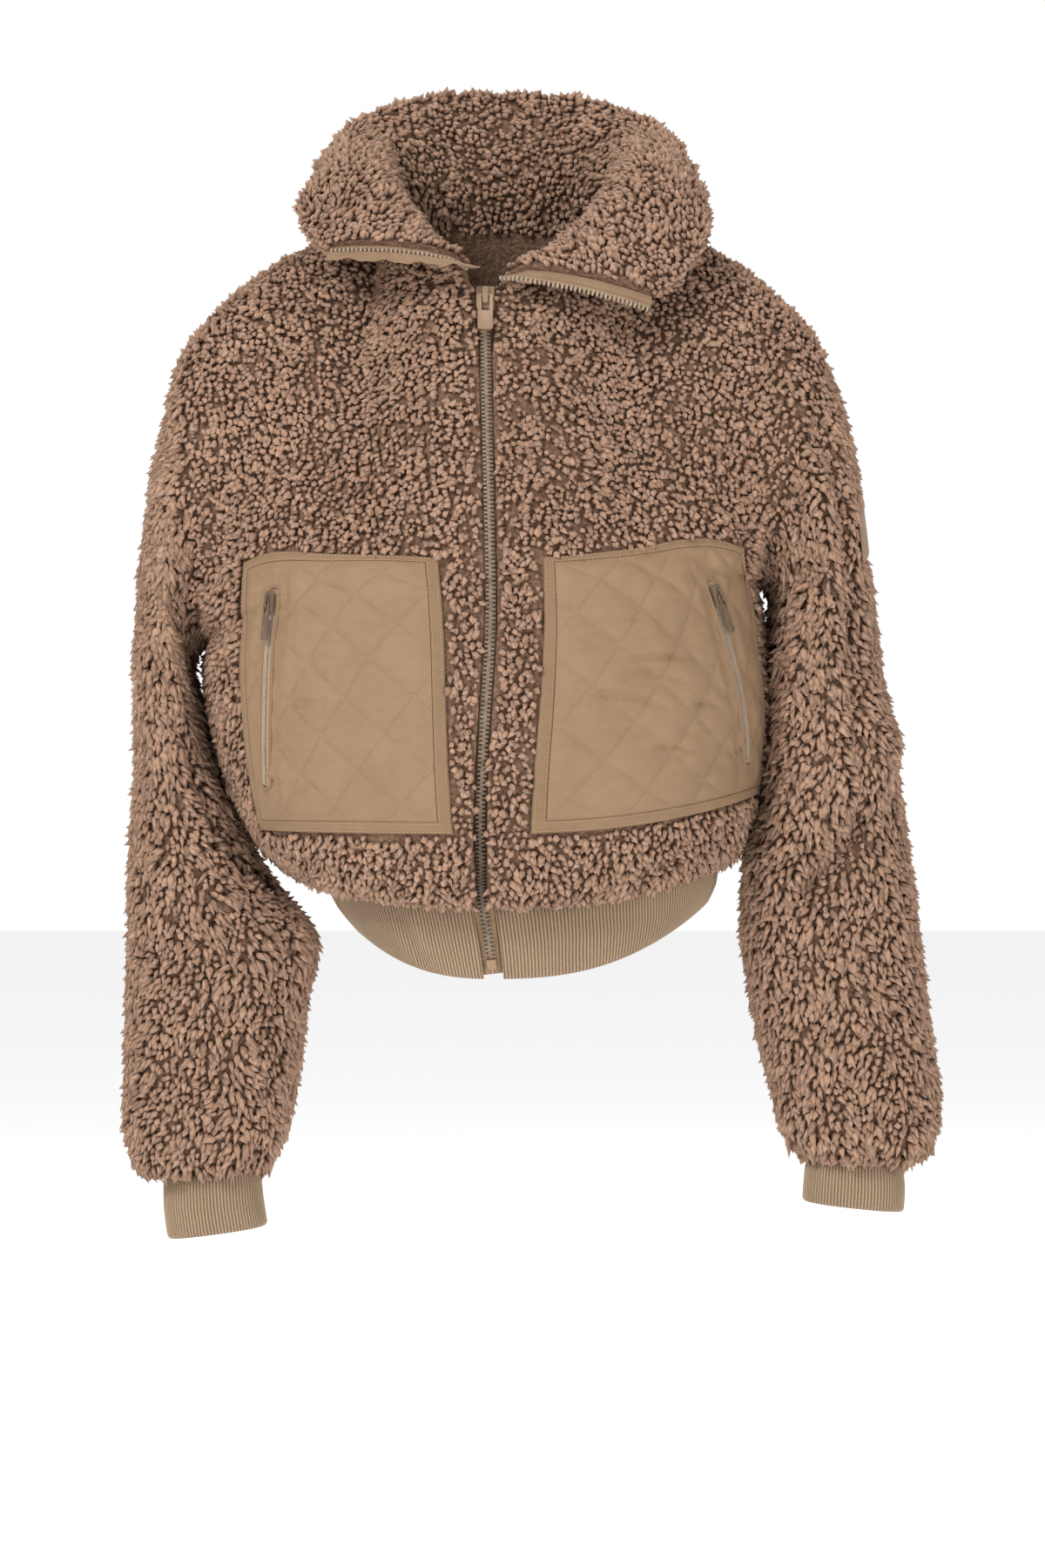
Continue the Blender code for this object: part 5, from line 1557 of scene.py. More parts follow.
@dataclass
class Outfit:
    """What every sub-assembly needs: the finishes and the way a piece is hung on the frame."""

    finishes: dict[str, bpy.types.Material] = field(default_factory=dict)

    def finish(self, kind: type, **options: object) -> bpy.types.Material:
        """A finish's material, made once."""
        key = kind.__name__ + str(sorted(options.items()))
        if key not in self.finishes:
            self.finishes[key] = kind(**options).material()
        return self.finishes[key]

    def hang(
        self, piece: bpy.types.Object, material: bpy.types.Material, body_name: str = "jacket",
        replaces: Sequence[str] = (),
    ) -> bpy.types.Object:
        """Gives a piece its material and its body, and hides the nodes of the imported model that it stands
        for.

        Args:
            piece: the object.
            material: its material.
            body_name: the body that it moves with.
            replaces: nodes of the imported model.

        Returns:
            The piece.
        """
        piece.data.materials.clear()
        piece.data.materials.append(material)
        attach(piece, body_name)
        if replaces:
            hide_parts(*replaces)
        log.info("%s: %d faces", piece.name, len(piece.data.polygons))
        return piece


Surface = Callable[[Array, Array, Number], Array]


def soft_noise(points: Array, size: float, seed: int) -> Array:
    """A smooth number from about -1 to 1 at each point: a sum of five sines along seeded ways.

    Args:
        points: where.
        size: the length of its waves.
        seed: which set of ways.

    Returns:
        One number for each point.
    """
    ways = np.random.default_rng(seed).normal(size=(5, 3))
    phase = points @ (ways.T * (2 * math.pi / size / 1.7)) + np.arange(5) * 1.3
    return np.sin(phase).sum(-1) / 2.6


@dataclass
class PileLocks:
    """Curled locks over a surface: how far apart, how long, how thick and how much they lie down."""

    spacing: float = 4.9 * MM
    length: float = 7.6 * MM
    width: float = 2.4 * MM
    lean: float = 0.72
    belly: float = 0.56
    swirl: float = 0.6
    root: float = 4.7 * MM
    sides: int = 4

    def scatter(
        self, surface: Surface, u_range: tuple[float, float], v_range: tuple[float, float],
        rng: np.random.Generator, coarse: Callable[[Array, Array], Array],
    ) -> tuple[Array, Array]:
        """Places a spacing apart, in staggered rows that keep equal lengths on the surface.

        Args:
            surface: the cloth as a function of u, v and depth.
            u_range: where u starts and ends.
            v_range: where v starts and ends.
            rng: seeded random numbers.
            coarse: how much larger the locks are at u and v.

        Returns:
            The places' u and v.
        """
        u = np.linspace(*u_range, 81)
        v = np.linspace(*v_range, 241)
        grid = surface(u[None, :], v[:, None], 0.0)
        steps = np.linalg.norm(np.diff(grid, axis=0), axis=-1)
        stride = np.percentile(steps, 88, axis=1)
        climb = np.concatenate(((0.0,), np.cumsum(stride)))
        marks = np.arange(self.spacing * 0.4, climb[-1], self.spacing * 0.87)
        rows = np.interp(marks, climb, v)
        across = lengths(surface(u[None, :], rows[:, None], 0.0), 1)
        us, vs = [], []
        for number, row in enumerate(rows):
            total = across[number, -1]
            offset = (0.25 + 0.5 * (number % 2)) * self.spacing
            spots = np.arange(offset, total, self.spacing)
            spots = spots + rng.uniform(-0.33, 0.33, len(spots)) * self.spacing
            drift = rng.uniform(-0.33, 0.33, len(spots)) * self.spacing * 0.87
            us.append(np.interp(spots, across[number], u))
            vs.append(np.interp(marks[number] + drift, climb, v))
        u_all, v_all = np.concatenate(us), np.concatenate(vs)
        i = np.clip(((v_all - v_range[0]) / (v_range[1] - v_range[0]) * 240).astype(int), 0, 239)
        j = np.clip(((u_all - u_range[0]) / (u_range[1] - u_range[0]) * 80).astype(int), 0, 80)
        keep = rng.random(len(u_all)) * coarse(u_all, v_all) ** 2 < steps[i, j] / stride[i] * 1.08
        return u_all[keep], v_all[keep]

    def grow(
        self, name: str, surface: Surface, u: Array, v: Array, down: float, rng: np.random.Generator,
        size: Array,
    ) -> bpy.types.Object:
        """Locks at their places: each is a leaning blob of two rings and a tip.

        The axis is root + n L s (1 - 0.3 l s) + f L l s^1.6 for s from 0 to 1, with the normal n, the flow f,
        the length L and the lean l. Its rings lie at s = 0 and at the belly.

        Args:
            name: the object's name.
            surface: the cloth.
            u: places across.
            v: places along.
            down: 1 where v grows the way the pile lies, -1 where it falls.
            rng: seeded random numbers.
            size: a factor on each lock's size.

        Returns:
            The joined locks, each with its tone and the rise of its points.
        """
        step = 1e-3
        root = surface(u, v, self.root)
        tip = surface(u, v, 0.0)
        across = surface(u + step, v, 0.0) - surface(u - step, v, 0.0)
        along = surface(u, v + step, 0.0) - surface(u, v - step, 0.0)
        normal = unit(np.cross(across, along))
        normal *= np.sign(np.sum(normal * (tip - root), -1, keepdims=True))
        flow = unit(along - normal * np.sum(along * normal, -1, keepdims=True)) * down
        side = np.cross(normal, flow)
        wander = soft_noise(root, 0.055, 3) * 0.9 + soft_noise(root, 0.02, 5) * 0.6
        turn = ((wander + rng.normal(0, 0.8, len(u))) * self.swirl)[:, None]
        flow, side = flow * np.cos(turn) + side * np.sin(turn), side * np.cos(turn) - flow * np.sin(turn)
        clump = 1 + 0.16 * soft_noise(root, 0.03, 8) + 0.12 * soft_noise(root, 0.011, 9)
        size = size * clump
        length = (self.length * size * rng.uniform(0.78, 1.14, len(u)))[:, None]
        width = (self.width * np.sqrt(size) * rng.uniform(0.8, 1.22, len(u)))[:, None]
        lean = (self.lean * rng.uniform(0.3, 1.6, len(u)))[:, None]
        angles = np.arange(self.sides) / self.sides * 2 * math.pi + rng.uniform(0, 6.28, (len(u), 1))
        rings = []
        for level, thick in ((0.0, 0.72), (self.belly, 1.0)):
            climb = normal * length * level * (1 - 0.3 * lean * level)
            axis = root + climb + flow * length * lean * level ** 1.6
            wide = width * thick * rng.uniform(0.74, 1.26, (len(u), self.sides))
            other = unit(flow - normal * lean * level)
            rings.append(axis[:, None] + side[:, None] * (np.cos(angles) * wide)[..., None]
                         + other[:, None] * (np.sin(angles) * wide * 0.92)[..., None])
        top = root + normal * length * (1 - 0.3 * lean) + flow * length * lean
        points = np.concatenate((*rings, top[:, None]), axis=1)
        count = 2 * self.sides + 1
        here, after = np.arange(self.sides), np.roll(np.arange(self.sides), -1)
        walls = np.stack((here, after, after + self.sides, here + self.sides), -1)
        caps = np.stack((here + self.sides, after + self.sides, np.full(self.sides, count - 1)), -1)
        foot = here[None, ::-1]
        shift = (np.arange(len(u)) * count)[:, None, None]
        polygons = [(part[None] + shift).reshape(-1, part.shape[1]) for part in (walls, caps, foot)]
        # The rise, 0 at each lock's root and 1 at its tip, feeds the pile finish's painted shade at the roots
        # and painted light at the tips.
        rise = np.concatenate((np.zeros(self.sides), np.full(self.sides, 0.62), (1.0,)))
        numbers = {"rise": np.broadcast_to(rise, (len(u), count)),
                   "tone": np.broadcast_to(rng.random((len(u), 1)), (len(u), count))}
        round_way = np.concatenate((here, here, (self.sides / 2,))) / self.sides * 2 * math.pi * self.width
        cloth = np.stack(np.broadcast_arrays(round_way + rng.random((len(u), 1)), rise * length), -1)
        return make_mesh(name, points.reshape(-1, 3), polygons, cloth.reshape(-1, 2), numbers)


def everywhere(u: Array, v: Array) -> Array:
    """Locks of one size."""
    return np.ones_like(u)


def nowhere(u: Array, v: Array) -> Array:
    """No bare place."""
    return np.zeros(np.shape(u), bool)


@dataclass
class PilePanel:
    """A panel of curled fleece: a thin backing wall and the locks that stand on it."""

    name: str
    surface: Surface
    u_range: tuple[float, float]
    v_range: tuple[float, float]
    grid: tuple[int, int]
    flat: tuple[float, float]
    area: float
    rests_on: tuple[str, ...]
    locks: PileLocks = field(default_factory=PileLocks)
    down: float = -1.0
    seed: int = 1
    closed: bool = False
    pieces: int = 1
    top: float = 4.2 * MM
    back: float = 7.9 * MM
    coarse: Callable[[Array, Array], Array] = everywhere
    bare: Callable[[Array, Array], Array] = nowhere

    def backing(self) -> bpy.types.Object:
        """The wall between two depths of the panel's surface."""
        u = np.linspace(*self.u_range, self.grid[0], endpoint=not self.closed)
        u, v = np.meshgrid(u, np.linspace(*self.v_range, self.grid[1]))
        outer, inner = self.surface(u, v, self.top), self.surface(u, v, self.back)
        return make_wall(f"{self.name}_backing", outer, inner, self.closed)

    def build(self, outfit: Outfit) -> None:
        """Args:
            outfit: the finishes.
        """
        knit = outfit.finish(BackingFinish)
        backing = outfit.hang(self.backing(), knit, replaces=(self.name,))
        rng = np.random.default_rng(self.seed)
        u, v = self.locks.scatter(self.surface, self.u_range, self.v_range, rng, self.coarse)
        keep = ~self.bare(u, v)
        u, v = u[keep], v[keep]
        for number, pick in enumerate(np.array_split(np.argsort(v, kind="stable"), self.pieces)):
            name = f"{self.name}_locks_{number + 1}"
            size = self.coarse(u[pick], v[pick])
            pile = self.locks.grow(name, self.surface, u[pick], v[pick], self.down, rng, size)
            outfit.hang(pile, outfit.finish(PileFinish))


@dataclass
class Fronts:
    """The two front panels, bare under their pockets."""

    margin: float = 0.002
    row_margin: float = 0.02
    zip_clear: float = 6.9 * MM
    zip_open_z: float = -0.365
    flats: dict[int, tuple[float, float]] = field(
        default_factory=lambda: {LEFT: (0.29, 0.56), RIGHT: (0.30, 0.56)})
    areas: dict[int, float] = field(default_factory=lambda: {LEFT: 0.126, RIGHT: 0.129})

    def build(self, outfit: Outfit) -> None:
        """Makes both fronts.

        Args:
            outfit: the finishes.
        """
        for side, name in ((LEFT, "front_right"), (RIGHT, "front_left")):
            panel = PilePanel(
                name, self.surface(side), (0.0, 1.0), (0.0, LAST_ROW + YOKE_ROWS), (36, 72), self.flats[side],
                self.areas[side], ("collar", "back"), seed=3 + side, bare=self.under(side))
            panel.build(outfit)

    def surface(self, side: int) -> Surface:
        """One front as a function of share, row and depth."""
        return lambda share, row, depth: body(side, 1, share, row, depth)

    def under(self, side: int) -> Callable[[Array, Array], Array]:
        """Whether a place lies under the pocket or beside the zip."""
        pocket = POCKETS[side]

        def covered(share: Array, row: Array) -> Array:
            """The test for arrays of places."""
            flat = row - pocket_lift(side, share, row - pocket_lift(side, share, row))
            near, far = pocket_edges(side, flat)
            beside = (share > near - self.margin) & (share < far + self.margin)
            below = (flat > pocket.foot_row - self.row_margin) & (flat < pocket.head_row + self.row_margin)
            place = body(side, 1, share, row)
            line = zip_frame(np.linspace(0, len(ZIP_PATH) - 1, 60))[0]
            aside = np.abs(place[..., 0] - np.interp(place[..., 2], line[:, 2], line[:, 0]))
            clear = self.zip_clear * ease(place[..., 2] - self.zip_open_z, -0.04, 0.02)
            return (beside & below) | (aside < clear)

        return covered


@dataclass
class Back:
    """The back, one panel from side seam to side seam."""

    flat: tuple[float, float] = (0.57, 0.54)
    area: float = 0.24
    growth: float = 1.16
    cells: tuple[int, int] = (56, 60)

    def surface(self, u: Array, v: Array, depth: Number) -> Array:
        """The back with u from -1 at one side seam to 1 at the other."""
        left = body(LEFT, -1, -np.asarray(u), v, depth)
        right = body(RIGHT, -1, u, v, depth)
        return np.where((np.asarray(u) < 0)[..., None], left, right)

    def build(self, outfit: Outfit) -> None:
        """Makes the back.

        Args:
            outfit: the finishes.
        """
        rows = (0.0, LAST_ROW + YOKE_ROWS)
        locks = PileLocks(spacing=5.1 * MM, width=2.5 * MM)
        panel = PilePanel(
            "back", self.surface, (-1.0, 1.0), rows, self.cells, self.flat, self.area, ("collar",),
            locks=locks, seed=11, coarse=lambda u, v: self.growth + 0 * u)
        panel.build(outfit)


class ArmCrease(NamedTuple):
    """A crease on a sleeve between two places, in degrees round it and rows down it; its width in degrees."""

    turn: float
    row: float
    to_turn: float
    to_row: float
    depth: float
    width: float


@dataclass
class Sleeves:
    """The two sleeves, with longer locks that lie down the arm."""

    locks: PileLocks = field(default_factory=lambda: PileLocks(
        spacing=5.1 * MM, length=8.8 * MM, width=2.5 * MM, lean=0.95, belly=0.52, swirl=0.42))
    growth: float = 0.16
    inner_growth: float = 0.28
    patch_margin: float = 0.03
    turns_per_row: float = 36.0
    creases: dict[int, tuple[ArmCrease, ...]] = field(default_factory=lambda: {
        LEFT: (ArmCrease(66, 5.0, 40, 6.4, 15 * MM, 9), ArmCrease(40, 6.4, -10, 7.2, 13 * MM, 10),
               ArmCrease(84, 3.6, 66, 5.0, 7 * MM, 8), ArmCrease(112, 6.4, 84, 7.4, -4 * MM, 14),
               ArmCrease(230, 6.0, 300, 6.8, 8 * MM, 9), ArmCrease(250, 9.0, 200, 9.8, 6 * MM, 10)),
        RIGHT: (ArmCrease(107, 0.4, 112, 3.2, 9 * MM, 8), ArmCrease(112, 3.2, 104, 5.6, 8 * MM, 8),
                ArmCrease(72, 6.4, 104, 5.6, 12 * MM, 9), ArmCrease(58, 1.6, 90, 2.2, 6 * MM, 9),
                ArmCrease(94, 1.0, 92, 4.2, -3 * MM, 7), ArmCrease(-4, 1.8, -4, 3.4, -6 * MM, 16),
                ArmCrease(235, 5.8, 300, 6.6, 8 * MM, 9), ArmCrease(250, 8.6, 205, 9.6, 5 * MM, 9))})
    flat: tuple[float, float] = (0.52, 0.60)
    areas: dict[int, float] = field(default_factory=lambda: {LEFT: 0.19, RIGHT: 0.20})
    cells: tuple[int, int] = (54, 72)

    def build(self, outfit: Outfit) -> None:
        """Makes both sleeves.

        Args:
            outfit: the finishes.
        """
        for side, hand in ((LEFT, "right"), (RIGHT, "left")):
            rows = (0.0, len(SLEEVES[side]) - 1.0)
            panel = PilePanel(
                f"sleeve_{hand}", self.surface(side), (0.0, 2 * math.pi), rows, self.cells, self.flat,
                self.areas[side], (f"front_{hand}", "back"), locks=self.locks, down=1.0, seed=21 + side,
                closed=True, pieces=2, coarse=self.coarse, bare=self.patched if side == RIGHT else nowhere)
            panel.build(outfit)

    def surface(self, side: int) -> Surface:
        """One sleeve as a function of angle, row and depth, with its creases."""
        return lambda angle, row, depth: sleeve(side, row, angle, depth + self.pressed(side, angle, row))

    def pressed(self, side: int, angle: Array, row: Array) -> Array:
        """How deep the creases press the sleeve: for each, depth times exp(-(d / width)^2), d from its line.

        Args:
            side: -1 or 1.
            angle: turn round the sleeve.
            row: place down the sleeve.

        Returns:
            Metres inward.
        """
        total = 0 * (angle + row)
        for crease in self.creases[side]:
            run = np.array((crease.to_turn - crease.turn, (crease.to_row - crease.row) * self.turns_per_row))
            x = np.degrees(angle) - crease.turn
            y = (row - crease.row) * self.turns_per_row
            along = np.clip((x * run[0] + y * run[1]) / (run @ run), 0, 1)
            off = np.hypot(x - along * run[0], y - along * run[1])
            total = total + crease.depth * np.exp(-(off / crease.width) ** 2)
        return total

    def patched(self, angle: Array, row: Array) -> Array:
        """Whether a place lies under the patch."""
        turn = np.radians((PATCH.front_turn, PATCH.back_turn))
        around = (angle > turn[0] - self.patch_margin) & (angle < turn[1] + self.patch_margin)
        return around & (row > PATCH.head_row - 0.14) & (row < PATCH.foot_row)

    def coarse(self, angle: Array, row: Array) -> Array:
        """Larger locks behind, and where the sleeve hangs beside the body."""
        behind = -np.sin(angle)
        beside = ease(np.cos(angle), 0.75, 0.95) * ease(row, 1.2, 2.2) * ease(-row, -6.0, -5.0)
        return 1 + self.growth * ease(behind, 0.0, 0.6) + self.inner_growth * beside


@dataclass
class TurnedCollar:
    """The folded collar: one rounded double layer with pile on both faces."""

    rim_share: float = 0.10
    rim_start: float = 0.945
    flat: tuple[float, float] = (0.56, 0.12)
    area: float = 0.060
    locks: PileLocks = field(default_factory=lambda: PileLocks(lean=0.6, swirl=0.9, length=7.6 * MM))

    def surface(self, around: Array, loop: Array, depth: Number) -> Array:
        """A point on the collar, with the loop from the neck seam up its under face and down its upper one.

        With t the turn round the rim from -90 to 90 degrees, the height is the rim's start times the share
        climbed, plus the rest times cos t, and the layer is half of 1 + sin t, both drawn in by the depth.

        Args:
            around: 0 to 1 round the neck.
            loop: 0 to 1 over both faces.
            depth: metres inward.

        Returns:
            Points.
        """
        around, loop, depth = np.broadcast_arrays(np.asarray(around, float), loop, depth)
        half = COLLAR_WALL / 2
        turn = np.clip((loop - 0.5) / self.rim_share, -0.5, 0.5) * math.pi
        climbed = np.minimum(np.minimum(loop, 1 - loop) / (0.5 - self.rim_share / 2), 1)
        height = self.rim_start * climbed + (1 - self.rim_start) * np.cos(turn) * (1 - depth / half)
        layer = (0.5 + 0.5 * np.sin(turn) * (1 - depth / half))[..., None]
        under = collar_face(around, height)
        over = collar_face(around, height, COLLAR_WALL)
        return under * (1 - layer) + over * layer

    def build(self, outfit: Outfit) -> None:
        """Makes the collar.

        Args:
            outfit: the finishes.
        """
        around, height = np.meshgrid(np.linspace(0, 1, 110), np.linspace(0, 0.49, 14))
        under = self.surface(around, height, 4.2 * MM)
        over = self.surface(around, 1 - height, 4.2 * MM)
        backing = make_wall("collar_backing", under, over)
        outfit.hang(backing, outfit.finish(BackingFinish), replaces=("collar",))
        rng = np.random.default_rng(31)
        u, v = self.locks.scatter(self.surface, (0.0, 1.0), (0.0, 1.0), rng, everywhere)
        pile = self.locks.grow("collar_locks", self.surface, u, v, 1.0, rng, np.ones_like(u))
        outfit.hang(pile, outfit.finish(PileFinish))


@dataclass
class RibBands:
    """The rib hem and the two rib cuffs, knitted in upright wales."""

    pitch: float = 2.5 * MM
    relief: float = 0.75 * MM
    steps: int = 4
    rows: tuple[float, ...] = (0, 0.06, 0.16, 0.55, 1, 1.45, 1.84, 1.94, 2)
    edge_round: float = 1.1 * MM
    hem_inset: float = 0.8 * MM
    cuff_inset: float = 1.5 * MM
    hem_flat: tuple[float, float] = (0.76, 0.05)
    cuff_flat: tuple[float, float] = (0.20, 0.045)

    def band(
        self, name: str, surface: Surface, u_range: tuple[float, float], inset: float, closed: bool,
    ) -> bpy.types.Object:
        """A knit band: depth = inset + relief (1 - wale) with wale = cos^2 of half the turns per pitch.

        Args:
            name: the object's name.
            surface: the band as a function of u, v and depth; v is 0 at the seam or at the free edge.
            u_range: where u starts and ends.
            inset: how deep the tops of the wales lie.
            closed: whether the band is a ring.

        Returns:
            The object.
        """
        u = np.linspace(*u_range, 721)
        run = lengths(surface(u, np.ones_like(u), 0.0)[None], 1)[0]
        wales = round(run[-1] / self.pitch)
        spots = np.linspace(0, wales, wales * self.steps + 1)
        if closed:
            spots = spots[:-1]
        across = np.interp(spots / wales * run[-1], run, u)
        wale = np.cos(math.pi * spots) ** 2
        u_grid, v_grid = np.meshgrid(across, self.rows)
        hill = np.broadcast_to(wale, u_grid.shape)
        ends = np.minimum(v_grid, 2 - v_grid)
        curl = self.edge_round * (1 - ease(ends, 0.0, 0.16))
        outer = surface(u_grid, v_grid, inset + self.relief * (1 - hill ** 0.7) + curl)
        inner = surface(u_grid, v_grid, inset + RIB_WALL - curl * 0.4)
        # The wale number drives the rib finish's painted shade in the furrows.
        return make_wall(name, outer, inner, closed, {"wale": hill})

    def build(self, outfit: Outfit) -> None:
        """Makes the hem and the cuffs.

        Args:
            outfit: the finishes.
        """
        edges = [math.asin((RIB_OPENING / reach) ** (SECTION_POWER / 2))
                 for reach in (HEM[1].right_x - HEM[1].mid_x, HEM[1].mid_x - HEM[1].left_x)]
        hem = self.band("hem_knit", lambda u, v, depth: hem_point(v, u, depth + self.ripple(u, v)),
                        (edges[0], 2 * math.pi - edges[1]), self.hem_inset, False)
        outfit.hang(hem, outfit.finish(RibFinish), replaces=("hem_rib",))
        for side, hand in ((LEFT, "right"), (RIGHT, "left")):
            turn = (0.0, 2 * math.pi)
            cuff = self.band(f"cuff_knit_{hand}", self.cuff_surface(side), turn, self.cuff_inset, True)
            outfit.hang(cuff, outfit.finish(RibFinish), replaces=(f"cuff_{hand}",))

    def ripple(self, angle: Array, row: Array) -> Array:
        """Slanting wrinkles beside the zip: a sine over turn and height under a soft hill on each side."""
        turn = np.degrees(np.where(angle > math.pi, angle - 2 * math.pi, angle))
        left = np.exp(-((turn + 24) / 13) ** 2) * np.sin(turn * 0.52 + row * 2.6) * 1.7 * MM
        right = np.exp(-((turn - 15 - 5 * row) / 6) ** 2) * 2.4 * MM
        return (left + right) * ease(row, 0.0, 0.5) * ease(2 - row, 0.0, 0.5)

    def cuff_surface(self, side: int) -> Surface:
        """One cuff as a function of angle, row and depth."""
        return lambda angle, row, depth: ring(CUFFS[side], row, angle, depth, SLEEVE_POWER)


class Crease(NamedTuple):
    """A soft trough on a pocket: its middle in shares, its half length and slope, its depth."""

    across: float
    up: float
    reach: float
    slope: float
    depth: float


@dataclass
class PatchPocket:
    """A quilted pocket panel in its binding frame, with its zip."""

    side: int
    hand: str
    creases: tuple[Crease, ...]
    spacing: float = 2.0 * MM
    crease_width: float = 2.6 * MM
    crease_gain: float = 1.7
    stitch_pitch: float = 2.8 * MM
    stitch_size: tuple[float, float] = (2.2 * MM, 0.62 * MM)
    line_slopes: tuple[float, float] = (0.93, 1.47)
    line_gaps: tuple[float, float] = (46 * MM, 43 * MM)
    zip_tape_half: float = 3.9 * MM
    tooth_pitch: float = 1.5 * MM

    def __post_init__(self) -> None:
        """Measures the pocket."""
        cell_across, cell_up = pocket_size(self.side)
        self.width, self.height = cell_across * POCKET_CELLS, cell_up * POCKET_TOP_CELL

    def point(self, x: Number, z: Number, depth: Number) -> Array:
        """A point over the front at metres across from the centre edge and up from the foot.

        Args:
            x: metres across.
            z: metres up.
            depth: metres inward from the tips of the pile.

        Returns:
            Points.
        """
        x, z, depth = np.broadcast_arrays(np.asarray(x, float), z, depth)
        rows = pocket_rows(self.side)
        row = np.interp(z / self.height * POCKET_TOP_CELL, np.arange(len(rows)), rows)
        near, far = pocket_edges(self.side, row)
        share = near + (far - near) * x / self.width
        return body(self.side, 1, share, row + pocket_lift(self.side, share, row), depth)

    def zip_x(self, z: Number) -> Array:
        """Where the zip lies across, at a height."""
        cells = pocket_zip_line(self.side, np.asarray(z) / self.height * POCKET_TOP_CELL)
        return cells / POCKET_CELLS * self.width

    def zip_ends(self) -> tuple[float, float]:
        """The heights of the zip's foot and head."""
        pocket = POCKETS[self.side]
        return pocket.zip_low * self.height, pocket.zip_high * self.height

    def lines(self, x: Array, z: Array) -> tuple[Array, Array]:
        """The two families of quilting lines; a line runs where its number is whole."""
        flip = -self.side
        down, up = self.line_slopes
        first = (x * flip - z / down) / self.line_gaps[0]
        second = (x * flip + z / up) / self.line_gaps[1]
        return first, second

    def relief(self, x: Array, z: Array) -> Array:
        """The panel's depth: puffed cells between the lines, narrow grooves on them, and creases.

        A cell rises by the puff times |sin a sin b| to the power 0.4, with a and b the turns between lines.

        Args:
            x: metres across.
            z: metres up.

        Returns:
            Metres inward.
        """
        first, second = self.lines(x, z)
        puff = np.abs(np.sin(math.pi * first) * np.sin(math.pi * second)) ** 0.4
        rim = np.minimum(np.minimum(x - BINDING_WIDTH, self.width - BINDING_WIDTH - x),
                         np.minimum(z - BINDING_FOOT, self.height - BINDING_WIDTH - z))
        aside = np.abs(x - self.zip_x(z))
        plain = ease(aside, 11 * MM, 19 * MM)
        sag = np.zeros_like(x)
        for crease in self.creases:
            along = x / self.width - crease.across
            offset = z - crease.up * self.height - along * self.width * crease.slope
            arch = offset + (along / crease.reach) ** 2 * 2.0 * MM
            fade = np.exp(-(along / crease.reach) ** 4)
            sag += self.crease_gain * crease.depth * fade * np.exp(-(arch / self.crease_width) ** 2)
            beside = np.exp(-((arch - 5.5 * MM) / (2.0 * self.crease_width)) ** 2)
            sag -= self.crease_gain * crease.depth * 0.5 * fade * beside
        places = np.stack((x * 1.6, z, 0 * x), -1)
        slack = soft_noise(places, 26 * MM, 4 + self.side) * 0.30 * MM
        crumple = soft_noise(np.stack((x * 2.2, z, 0 * x), -1), 30 * MM, 9) * 0.55 * MM * (1 - plain)
        swell = QUILT_PUFF * 1.2 * puff * plain
        relief = (swell - slack - crumple) * ease(rim, 0.0, 8 * MM) - sag * ease(rim, 0.0, 6 * MM)
        return POCKET_TOP + 0.35 * MM - relief

    def panel(self) -> bpy.types.Object:
        """The quilted panel."""
        left = BINDING_WIDTH + PANEL_GAP / 4
        low = BINDING_FOOT + PANEL_GAP / 4
        x = np.linspace(left, self.width - left, round(self.width / self.spacing))
        z = np.linspace(low, self.height - left, round(self.height / self.spacing))
        x, z = np.meshgrid(x, z)
        under = POCKET_FLOOR - POCKET_SEAT
        near = [np.abs(part - np.round(part)) * gap for part, gap in zip(self.lines(x, z), self.line_gaps)]
        # This number marks the quilting lines, where the nylon finish paints shade.
        groove = np.exp(-(np.minimum(*near) / (1.0 * MM)) ** 2) * (np.abs(x - self.zip_x(z)) > 9 * MM)
        outer, inner = self.point(x, z, self.relief(x, z)), self.point(x, z, under)
        return make_wall(f"pocket_panel_{self.hand}", outer, inner, numbers={"groove": groove})

    def frame_grid(self, share: Array, place: Array) -> tuple[Array, Array]:
        """The binding's x and z, for a share across it and a place 0 to 4 round it, whole at the corners.

        Args:
            share: from the outer to the inner edge.
            place: round the frame.

        Returns:
            Metres across and up.
        """
        edge = 1.0 * MM
        side_in = edge + (BINDING_WIDTH - edge) * share
        foot_in = edge + (BINDING_FOOT - edge) * share
        right, high = self.width - side_in, self.height - side_in
        part = place % 1.0
        leg = np.floor(place).astype(int) % 4
        there, back = side_in + (right - side_in) * part, right + (side_in - right) * part
        rising, falling = foot_in + (high - foot_in) * part, high + (foot_in - high) * part
        x = np.choose(leg, (there, right, back, side_in))
        z = np.choose(leg, (foot_in, rising, high, falling))
        return x, z

    def binding(self) -> bpy.types.Object:
        """The frame, rounded across and puckered by its stitches."""
        counts = [round(length / (1.6 * MM)) for length in (self.width, self.height)] * 2
        place = np.concatenate([leg + np.arange(count) / count for leg, count in enumerate(counts)])
        share = np.array((0, 0.06, 0.17, 0.5, 0.83, 0.94, 1))
        share, place = np.meshgrid(share, place, indexing="ij")
        x, z = self.frame_grid(share, place)
        run = np.where(np.floor(place).astype(int) % 2 == 0, x, z)
        pucker = np.cos(run / self.stitch_pitch * 2 * math.pi) * 0.09 * MM
        off = np.abs(2 * share - 1)
        depth = BINDING_TOP + 1.3 * MM * off ** 5 + pucker * (1 - off ** 2)
        stitched = np.exp(-((np.minimum(share, 1 - share) - 0.17) / 0.07) ** 2) * 0.3 * MM
        under = POCKET_FLOOR - POCKET_SEAT
        outer, inner = self.point(x, z, depth + stitched), self.point(x, z, under)
        return make_wall(f"pocket_frame_{self.hand}", outer, inner, closed=True)

